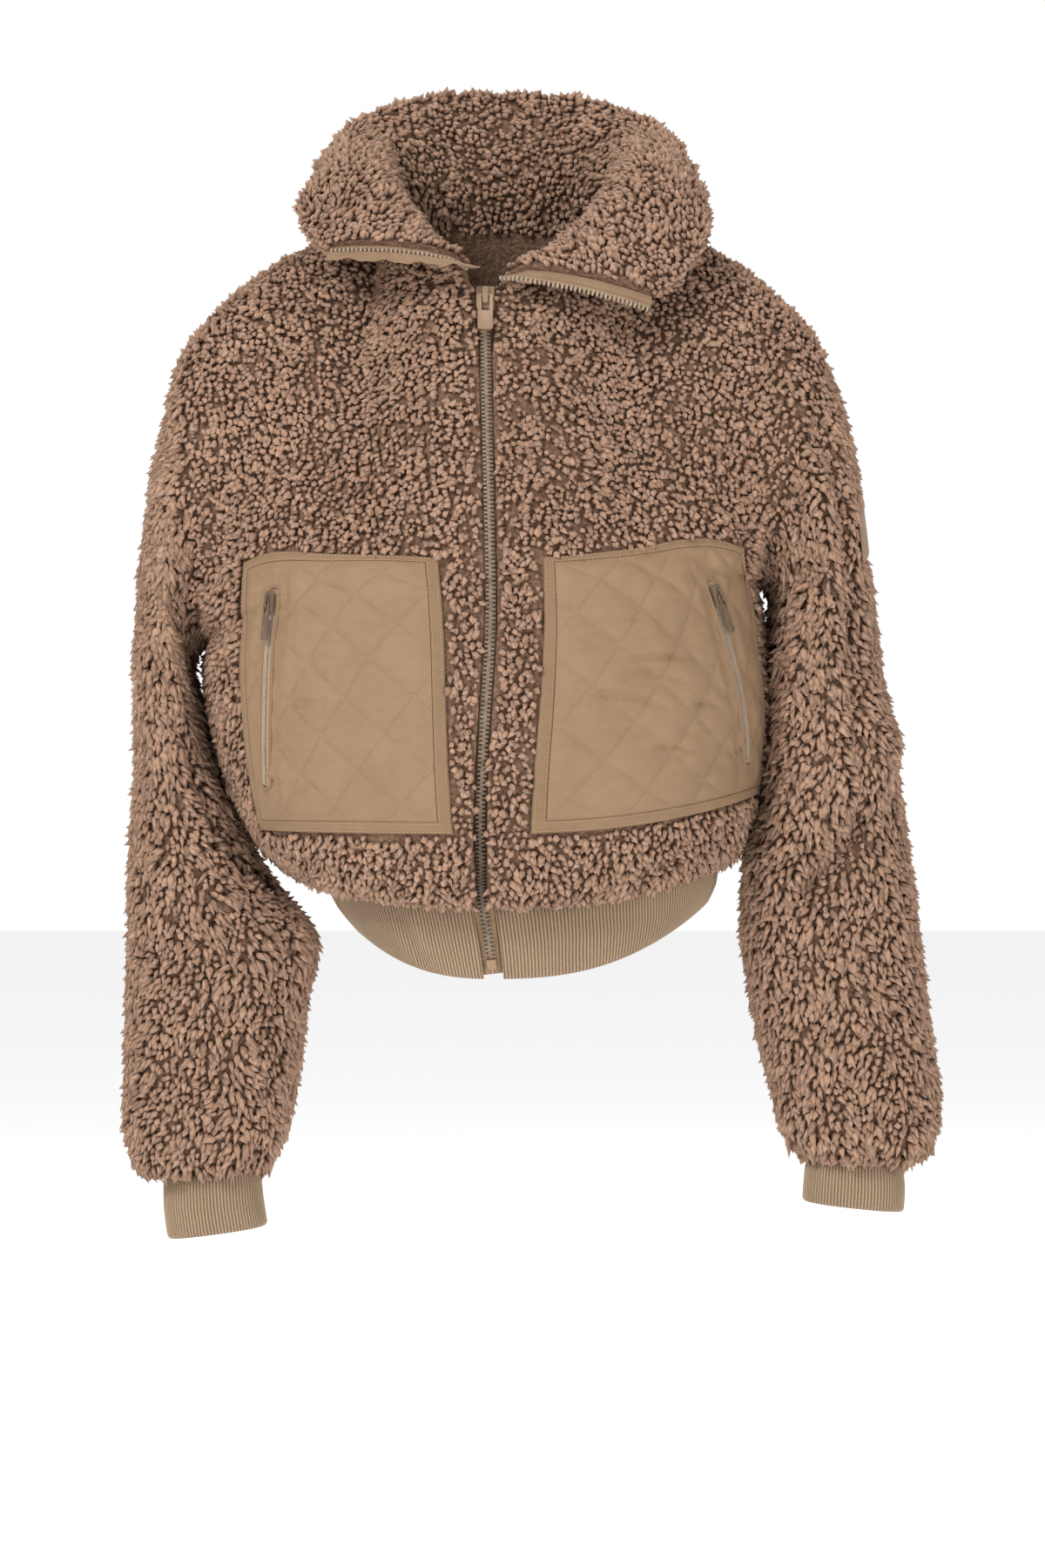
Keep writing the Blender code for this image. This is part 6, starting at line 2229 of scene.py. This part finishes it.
    def stitches(self, x: Array, z: Array, depth: Array, breaks: Array) -> tuple[Array, Array]:
        """Threads along a line that is given by many points.

        Args:
            x: the line's metres across.
            z: its metres up.
            depth: its metres inward.
            breaks: whether the line starts anew at a point.

        Returns:
            The threads' centres and scaled axes.
        """
        points = self.point(x, z, depth)
        steps = np.linalg.norm(np.diff(points, axis=0), axis=-1)
        run = np.concatenate(((0.0,), np.cumsum(np.where(breaks[1:], 0.0, steps))))
        marks = np.arange(self.stitch_pitch / 2, run[-1], self.stitch_pitch)
        centre = np.stack([np.interp(marks, run, points[:, k]) for k in range(3)], -1)
        ahead = np.stack([np.interp(marks + 0.3 * MM, run, points[:, k]) for k in range(3)], -1)
        deeper = self.point(x, z, depth + 1.0 * MM)
        inward = np.stack([np.interp(marks, run, (deeper - points)[:, k]) for k in range(3)], -1)
        way = unit(ahead - centre)
        side = unit(np.cross(way, inward))
        length, thick = self.stitch_size
        axes = np.stack((way * length, side * thick, np.cross(way, side) * thick * 0.8), 1)
        return centre, axes

    def quilt_lines(self) -> tuple[Array, Array, Array]:
        """Dense points along both families of lines inside the panel, and where a new line starts."""
        xs, zs = [], []
        flip = -self.side
        down, up = self.line_slopes
        z = np.linspace(BINDING_FOOT, self.height - BINDING_WIDTH, 400)
        for number in range(-9, 10):
            falling, rising = number * self.line_gaps[0] + z / down, number * self.line_gaps[1] - z / up
            for x in (falling * flip, rising * flip):
                inside = (x > BINDING_WIDTH) & (x < self.width - BINDING_WIDTH)
                inside &= np.abs(x - self.zip_x(z)) > 8.5 * MM
                inside &= (self.zip_x(z) - x) > 0
                if inside.sum() > 12:
                    xs.append(x[inside])
                    zs.append(z[inside])
        starts = np.concatenate([np.arange(len(x)) == 0 for x in xs])
        return np.concatenate(xs), np.concatenate(zs), starts

    def thread(self) -> bpy.types.Object:
        """The stitches of the quilting, of the frame and of the zip's window."""
        x, z, starts = self.quilt_lines()
        rows = [self.stitches(x, z, self.relief(x, z) - 0.05 * MM, starts)]
        for share in (0.17, 0.83):
            place = np.linspace(0, 4, 1600, endpoint=False)
            x, z = self.frame_grid(np.full_like(place, share), place)
            rows.append(self.stitches(x, z, np.full_like(x, BINDING_TOP + 0.22 * MM), place < 0))
        low, high = self.zip_ends()
        z = np.linspace(low - 3 * MM, high + 3 * MM, 300)
        for hand in (-1, 1):
            x = self.zip_x(z) + hand * (self.zip_tape_half + 3.4 * MM)
            rows.append(self.stitches(x, z, self.relief(x, z) - 0.08 * MM, z < 0))
        centres, axes = [np.concatenate([row[k] for row in rows]) for k in (0, 1)]
        return repeat_shape(f"pocket_thread_{self.hand}", spindle(), centres, axes)

    def zip_way(self, z: Array, depth: Number) -> tuple[Array, Array, Array, Array]:
        """The zip's points at heights, with the ways along it, across it and out of it."""
        points = self.point(self.zip_x(z), z, depth)
        ahead, behind = (self.point(self.zip_x(place), place, depth) for place in (z + MM, z - MM))
        run = unit(ahead - behind)
        outward = unit(self.point(self.zip_x(z), z, depth - 3 * MM) - points)
        across = unit(np.cross(run, outward))
        return points, run, across, outward

    def zip_strip(self) -> bpy.types.Object:
        """The woven tape, slightly dished between its edges."""
        low, high = self.zip_ends()
        z = np.linspace(low, high, 60)
        points, _, across, outward = self.zip_way(z, POCKET_TOP - 0.5 * MM)
        place = np.linspace(-1, 1, 9)
        top = 0.25 * MM - 0.35 * MM * (1 - place ** 4)
        grid = points[:, None] + across[:, None] * (place * self.zip_tape_half)[:, None]
        outer = grid + outward[:, None] * top[:, None]
        return make_wall(f"pocket_tape_{self.hand}", outer, grid - outward[:, None] * 0.9 * MM)

    def coil(self) -> bpy.types.Object:
        """The coil's turns, side by side in two rows."""
        low, high = self.zip_ends()
        z = np.arange(low + 1.5 * MM, high - 10 * MM, self.tooth_pitch / 2)
        points, run, across, outward = self.zip_way(z, POCKET_TOP - 0.7 * MM)
        hand = np.where(np.arange(len(z)) % 2 == 0, 1.0, -1.0)[:, None]
        centres = points + across * hand * 0.75 * MM + outward * 0.25 * MM
        axes = np.stack((unit(across + run * 0.25 * hand) * 2.1 * MM, run * 0.95 * MM, outward * 1.0 * MM), 1)
        return repeat_shape(f"pocket_coil_{self.hand}", tooth_shape(), centres, axes)

    def welt(self) -> bpy.types.Object:
        """The rolled edge of nylon round the zip's window.

        Its middle line runs round a long slot with round ends, and its section is a half round on that line.
        """
        low, high = self.zip_ends()
        half = self.zip_tape_half + 0.9 * MM
        straight = np.linspace(0, 1, 60, endpoint=False)
        bend = np.linspace(0, math.pi, 10, endpoint=False)
        up = np.concatenate((low + (high - low) * straight, high + half * 0.6 * np.sin(bend),
                             high + (low - high) * straight, low - half * 0.6 * np.sin(bend)))
        sides = (0 * straight + half, half * np.cos(bend), 0 * straight - half, -half * np.cos(bend))
        aside = np.concatenate(sides)
        outwards = np.concatenate((0 * straight + 1, np.cos(bend), 0 * straight - 1, -np.cos(bend)))
        upwards = np.concatenate((0 * straight, np.sin(bend), 0 * straight, -np.sin(bend)))
        share = np.linspace(-1, 1, 7)[:, None]
        x = self.zip_x(up) + aside + outwards * share * 1.5 * MM
        z = up + upwards * share * 1.5 * MM
        depth = POCKET_TOP + 0.2 * MM - 1.3 * MM * np.sqrt(np.maximum(1 - share ** 2, 0)) + 0 * x
        outer, inner = self.point(x, z, depth), self.point(x, z, POCKET_TOP + 1.6 * MM)
        return make_wall(f"pocket_welt_{self.hand}", outer, inner, closed=True)

    def build(self, outfit: Outfit) -> None:
        """Makes the pocket's pieces and hangs them.

        Args:
            outfit: the finishes.
        """
        nylon = outfit.finish(NylonFinish)
        # Like the nylon, the binding's finish paints shade into its crease troughs.
        trim = outfit.finish(
            NylonFinish, name="nylon_binding", light=(0.285, 0.175, 0.096), dark=(0.22, 0.132, 0.069))
        hand = self.hand
        panel = outfit.hang(self.panel(), nylon, replaces=(f"pocket_{hand}",))
        frame_piece = outfit.hang(self.binding(), trim, replaces=(f"pocket_binding_{hand}",))
        thread = outfit.hang(self.thread(), outfit.finish(ThreadFinish))
        welt = outfit.hang(self.welt(), trim)
        pale = outfit.finish(
            TapeFinish, name="pocket_tape", light=(0.46, 0.35, 0.25), dark=(0.33, 0.24, 0.165))
        outfit.hang(self.zip_strip(), pale, replaces=(f"pocket_zip_{hand}",))
        outfit.hang(self.coil(), outfit.finish(TeethFinish))


@dataclass
class Hardware:
    """Cast pieces whose forms come from their solids, with their edges rounded."""

    radius: float = 0.28 * MM

    def polish(
        self, outfit: Outfit, source: bpy.types.Object, metal: bpy.types.Material, body_name: str = "jacket",
    ) -> None:
        """Copies a solid, merges its faces and rounds its edges.

        Args:
            outfit: the finishes.
            source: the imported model's node.
            metal: its finish.
            body_name: the body that it moves with.
        """
        shape = bmesh.new()
        shape.from_mesh(source.data)
        bmesh.ops.remove_doubles(shape, verts=shape.verts, dist=2e-6)
        bmesh.ops.dissolve_limit(shape, angle_limit=math.radians(2), verts=shape.verts, edges=shape.edges)
        mesh = bpy.data.meshes.new(f"{source.name}_cast")
        shape.to_mesh(mesh)
        shape.free()
        item = bpy.data.objects.new(f"{source.name}_cast", mesh)
        bpy.context.scene.collection.objects.link(item)
        mesh.shade_smooth()
        edge = item.modifiers.new("rounded", "BEVEL")
        edge.width = self.radius
        edge.segments = 2
        edge.limit_method = "ANGLE"
        edge.angle_limit = math.radians(28)
        edge.harden_normals = True
        outfit.hang(item, metal, body_name, (source.name,))


def carried(
    name: str, line: tuple[Array, Array, Array], profile: Array, closed: bool = False,
) -> bpy.types.Object:
    """A strip: point = line + across . place + outward . height, for both heights of each place.

    Args:
        name: the object's name.
        line: points, ways across and ways outward.
        profile: for each place across, its place, lower and upper height; or one such list for each point.
        closed: whether the line closes.

    Returns:
        The strip.
    """
    points, across, outward = line
    profile = np.broadcast_to(profile, (len(points),) + profile.shape[-2:])
    place, lower, upper = np.moveaxis(profile, -1, 0)[..., None]
    base = points[:, None] + across[:, None] * place
    return make_wall(name, base + outward[:, None] * upper, base + outward[:, None] * lower, closed)


@dataclass
class FrontZip:
    """The front zip: meshed teeth and two tapes with rolled edges; its box, slider and pull are cast by
    Hardware.
    """

    pitch: float = 3.0 * MM
    tooth: tuple[float, float, float] = (4.6 * MM, 1.75 * MM, 2.7 * MM)
    overlap: float = 1.25 * MM
    start: float = 0.36
    foot: float = 0.0
    foot_drop: float = 4.0 * MM
    flange: float = 10.5 * MM
    flange_drop: float = 2.4 * MM

    def tapes(self, outfit: Outfit) -> None:
        """Makes both tapes, with a rolled edge that stands beside the teeth."""
        places = np.linspace(self.foot, len(ZIP_PATH) - 1.0, 100)
        points, way, across, outward = zip_frame(places)
        points[0] -= way[0] * self.foot_drop
        wide = TAPE_HALF + (self.flange - TAPE_HALF) * ease(-places, -2.1, -1.6)
        share = np.linspace(0, 1, 13)
        roll = np.exp(-((share - 0.93) / 0.07) ** 2) * 1.15 * MM * ease(places, 1.4, 2.0)[:, None]
        for side, hand in ((LEFT, "right"), (RIGHT, "left")):
            across_places = side * (TAPE_EDGE + (wide[:, None] - TAPE_EDGE) * share)
            behind_rib = ease(np.abs(across_places), RIB_OPENING - 1.4 * MM, RIB_OPENING + 0.6 * MM)
            drop = behind_rib * self.flange_drop
            top = TAPE_TOP + roll - drop
            back = TAPE_BACK - drop
            profile = np.stack((across_places, back, top), -1)
            tape = carried(f"front_tape_{hand}", (points, across, outward), profile)
            outfit.hang(tape, outfit.finish(TapeFinish), replaces=(f"zip_tape_{hand}",))

    def teeth(self, outfit: Outfit) -> None:
        """Places the moulded teeth, one side between the other's."""
        dense = np.linspace(self.start, len(ZIP_PATH) - 1.0, 2000)
        run = lengths(zip_frame(dense)[0][None], 1)[0]
        marks = np.arange(1.5 * MM, run[-1] - 7 * MM, self.pitch / 2)
        places = np.interp(marks, run, dense)
        points, way, across, outward = zip_frame(places)
        hand = np.where(np.arange(len(marks)) % 2 == 0, 1.0, -1.0)[:, None]
        length, thick, high = self.tooth
        centres = points + across * hand * (length / 2 - self.overlap) + outward * 0.1 * MM
        axes = np.stack((across * length, way * thick, outward * high), 1)
        teeth = repeat_shape("front_teeth", tooth_shape(), centres, axes)
        finish = outfit.finish(
            TeethFinish, name="front_teeth", light=(0.27, 0.195, 0.135), dark=(0.15, 0.105, 0.07))
        outfit.hang(teeth, finish, replaces=("zip_chain",))

    def build(self, outfit: Outfit) -> None:
        """Makes the tapes and the teeth.

        Args:
            outfit: the finishes.
        """
        self.tapes(outfit)
        self.teeth(outfit)


@dataclass
class CollarZip:
    """The open halves of the zip on the collar's two ends, and the strip that backs one of them."""

    pitch: float = 3.0 * MM
    tooth: tuple[float, float, float] = (4.4 * MM, 1.7 * MM, 2.9 * MM)
    low: float = 0.14
    high: float = 0.97
    strip_flat: tuple[float, float] = (0.110, 0.0105)

    def line(self, around: float, count: int) -> tuple[Array, Array, Array]:
        """The end line of a wing with the ways past it and out of its face."""
        points, past, outward = collar_end(around, np.linspace(self.low, self.high, count))
        return points, unit(past), unit(outward)

    def half(self, outfit: Outfit, around: float, near: float, hand: str) -> None:
        """One half: a cord that holds the teeth, and the teeth on it.

        Args:
            outfit: the finishes.
            around: which end of the collar.
            near: metres past the end where the half starts.
            hand: the wearer's side.
        """
        points, past, outward = self.line(around, 160)
        place = np.linspace(0, 1, 7)
        thick = 0.55 * MM + 0.5 * MM * np.sin(math.pi * place)
        profile = np.stack((near + place * 3.4 * MM, -thick, thick), -1)
        cord = carried(f"collar_bead_{hand}", (points, past, outward), profile)
        outfit.hang(cord, outfit.finish(TapeFinish), replaces=(f"collar_chain_{hand}",))
        run = lengths(points[None], 1)[0]
        marks = np.arange(2 * MM, run[-1] - 1 * MM, self.pitch)
        middle, beyond, out = (np.stack([np.interp(marks, run, part[:, k]) for k in range(3)], -1)
                               for part in (points, past, outward))
        along = unit(np.cross(out, beyond))
        length, wide, high = self.tooth
        centres = middle + beyond * (near + COLLAR_CHAIN_WIDTH - length / 2)
        axes = np.stack((beyond * length, along * wide, out * high), 1)
        teeth = repeat_shape(f"collar_teeth_{hand}", tooth_shape(), centres, axes)
        outfit.hang(teeth, outfit.finish(TeethFinish))

    def build(self, outfit: Outfit) -> None:
        """Makes both halves, the left one's tape and the right one's strip.

        Args:
            outfit: the finishes.
        """
        gap, gap_left = 5 * SEAM_GAP, 3.2 * SEAM_GAP
        self.half(outfit, 0.0, gap, "right")
        self.half(outfit, 1.0, gap_left + COLLAR_TAPE_WIDTH + SEAM_GAP, "left")
        line = self.line(0.0, 120)
        share = np.linspace(0, 1, 12)
        heights = np.linspace(self.low, self.high, 120)[:, None]
        wave = (np.sin(heights * 31) * 1.2 + np.sin(heights * 67 + 1) * 0.5) * MM * ease(heights, 0.1, 0.3)
        start = gap + COLLAR_CHAIN_WIDTH + SEAM_GAP
        thick = 0.45 * MM + 0.5 * MM * np.exp(-((share - 0.93) / 0.08) ** 2)
        across = np.broadcast_to(start + share * COLLAR_STRIP_WIDTH, (120, 12))
        profile = np.stack((across, wave * share - thick, wave * share + thick), -1)
        strip = carried("collar_wind_strip", line, profile)
        outfit.hang(strip, outfit.finish(NylonFinish), replaces=("collar_strip_right",))
        thick = 0.4 * MM + 0.25 * MM * np.sin(math.pi * share) ** 2
        profile = np.stack((gap_left + share * COLLAR_TAPE_WIDTH, -thick, thick), -1)
        tape = carried("collar_tape_woven", self.line(1.0, 120), profile)
        outfit.hang(tape, outfit.finish(TapeFinish), replaces=("collar_tape_left",))


@dataclass
class SleevePatch:
    """The small bare patch on the sleeve, with its stitched border."""

    round: float = 0.7 * MM
    flat: tuple[float, float] = (0.122, 0.040)

    def build(self, outfit: Outfit) -> None:
        """Makes the patch, with a raised line along its border.

        Args:
            outfit: the finishes.
        """
        rows = np.linspace(PATCH.foot_row, PATCH.head_row, 26)
        angles = np.radians(np.linspace(PATCH.front_turn, PATCH.back_turn, 38))
        angle, row = np.meshgrid(angles, rows)
        i, j = np.meshgrid(np.linspace(0, 1, 38), np.linspace(0, 1, 26))
        rim = np.minimum(np.minimum(i, 1 - i) * 1.5, np.minimum(j, 1 - j))
        drop = self.round * (1 - ease(rim, 0.0, 0.06))
        hem = 0.18 * MM * np.exp(-((rim - 0.1) / 0.02) ** 2)
        outer = sleeve(RIGHT, row, angle, -PATCH.gap - PATCH.thick + drop + hem)
        inner = sleeve(RIGHT, row, angle, np.full_like(row, -PATCH.gap))
        patch = make_wall("patch_cloth", outer, inner)
        outfit.hang(patch, outfit.finish(NylonFinish), replaces=("sleeve_patch",))


class Lamp(NamedTuple):
    """A square light: where it stands, how wide it is and how strong."""

    name: str
    place: Point
    size: float
    watts: float


LAMPS = (
    Lamp("key_light", (-1.7, -2.5, 1.7), 1.1, 84.0),
    Lamp("fill_light", (2.2, -2.6, -0.2), 1.6, 33.0),
    Lamp("top_light", (0.2, 0.4, 2.6), 1.6, 26.0),
    Lamp("back_light", (-0.6, 2.3, 1.3), 1.6, 18.0),
)


@dataclass
class Studio:
    """A pale wide floor, soft lights, even surroundings and the camera."""

    floor_z: float = -0.93
    floor_reach: float = 14.0
    ambience: float = 0.44
    target: Point = (0.017, -0.10, -0.405)
    distance: float = 3.5
    elevation: float = 0.0
    lens: float = 112.9

    def floor(self, outfit: Outfit) -> None:
        """A wide flat floor below the jacket."""
        places = np.linspace(-self.floor_reach, self.floor_reach, 9)
        x, y = np.meshgrid(places, places)
        grid = np.stack((x, y, np.full_like(x, self.floor_z)), -1)
        floor = make_wall("pale_floor", grid, grid - np.array((0, 0, 0.02)))
        floor.data.materials.append(outfit.finish(FloorFinish))

    def sky(self) -> None:
        """A soft even light all round, which the camera sees as plain white."""
        world = bpy.data.worlds.new("soft_world")
        world.use_nodes = True
        tree = world.node_tree
        soft = tree.nodes["Background"]
        soft.inputs["Color"].default_value = (1.0, 1.0, 1.0, 1.0)
        soft.inputs["Strength"].default_value = self.ambience
        white = tree.nodes.new("ShaderNodeBackground")
        white.inputs["Color"].default_value = (1.0, 1.0, 1.0, 1.0)
        seen = tree.nodes.new("ShaderNodeMixShader")
        tree.links.new(tree.nodes.new("ShaderNodeLightPath").outputs["Is Camera Ray"], seen.inputs[0])
        tree.links.new(soft.outputs[0], seen.inputs[1])
        tree.links.new(white.outputs[0], seen.inputs[2])
        tree.links.new(seen.outputs[0], tree.nodes["World Output"].inputs["Surface"])
        bpy.context.scene.world = world

    def light(self, lamp: Lamp) -> None:
        """A soft square light that looks at the jacket.

        Args:
            lamp: its place, size and power.
        """
        light = bpy.data.lights.new(lamp.name, "AREA")
        light.energy = lamp.watts
        light.size = lamp.size
        item = bpy.data.objects.new(lamp.name, light)
        item.location = lamp.place
        way = Vector(self.target) - Vector(lamp.place)
        item.rotation_euler = way.to_track_quat("-Z", "Y").to_euler()
        bpy.context.scene.collection.objects.link(item)

    def build(self, outfit: Outfit) -> None:
        """Sets the floor, the lights, the world and the camera.

        Args:
            outfit: the finishes.
        """
        self.floor(outfit)
        self.sky()
        for lamp in LAMPS:
            self.light(lamp)
        bpy.context.scene.view_settings.view_transform = "Standard"
        turn = math.radians(self.elevation)
        target = Vector(self.target)
        camera = bpy.data.objects.new("camera", bpy.data.cameras.new("camera"))
        camera.data.lens = self.lens
        camera.data.sensor_width = 36.0
        camera.location = target + Vector((0, -math.cos(turn), math.sin(turn))) * self.distance
        camera.rotation_euler = (target - camera.location).to_track_quat("-Z", "Y").to_euler()
        bpy.context.scene.collection.objects.link(camera)
        bpy.context.scene.camera = camera


LEFT_POCKET_CREASES = (
    Crease(0.58, 0.43, 0.10, 0.02, 1.5 * MM),
    Crease(0.71, 0.28, 0.07, 0.00, 1.3 * MM),
    Crease(0.80, 0.19, 0.07, 0.03, 1.2 * MM),
    Crease(0.59, 0.165, 0.07, -0.05, 1.1 * MM),
    Crease(0.62, 0.73, 0.10, 0.05, 0.7 * MM),
    Crease(0.68, 0.54, 0.08, 0.08, 0.7 * MM),
)
RIGHT_POCKET_CREASES = (
    Crease(0.39, 0.565, 0.13, 0.00, 1.5 * MM),
    Crease(0.36, 0.515, 0.11, -0.18, 1.3 * MM),
    Crease(0.25, 0.445, 0.13, -0.20, 1.4 * MM),
    Crease(0.56, 0.415, 0.07, -0.10, 1.3 * MM),
    Crease(0.41, 0.275, 0.10, -0.12, 1.2 * MM),
    Crease(0.78, 0.235, 0.07, -0.04, 0.9 * MM),
    Crease(0.22, 0.695, 0.12, 0.00, 0.7 * MM),
)


def main() -> None:
    """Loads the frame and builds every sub-assembly in order."""
    logging.basicConfig(level=logging.INFO, format="%(message)s")
    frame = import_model()
    outfit = Outfit()
    Fronts().build(outfit)
    Back().build(outfit)
    Sleeves().build(outfit)
    TurnedCollar().build(outfit)
    RibBands().build(outfit)
    PatchPocket(LEFT, "right", LEFT_POCKET_CREASES).build(outfit)
    PatchPocket(RIGHT, "left", RIGHT_POCKET_CREASES).build(outfit)
    FrontZip().build(outfit)
    CollarZip().build(outfit)
    SleevePatch().build(outfit)
    cast = Hardware()
    coated = outfit.finish(MetalFinish)
    dark = outfit.finish(
        MetalFinish, name="pocket_metal", light=(0.20, 0.135, 0.088), dark=(0.11, 0.072, 0.046))
    for node, metal, body_name in (
        ("zip_box", coated, "jacket"), ("zip_slider", coated, "jacket"), ("zip_pull", coated, "main_pull"),
        ("pocket_slider_right", dark, "jacket"), ("pocket_slider_left", dark, "jacket"),
        ("pocket_pull_right", dark, "right_pocket_pull"), ("pocket_pull_left", dark, "left_pocket_pull"),
    ):
        cast.polish(outfit, frame["nodes"][node], metal, body_name)
    Studio().build(outfit)


if __name__ == "__main__":
    main()
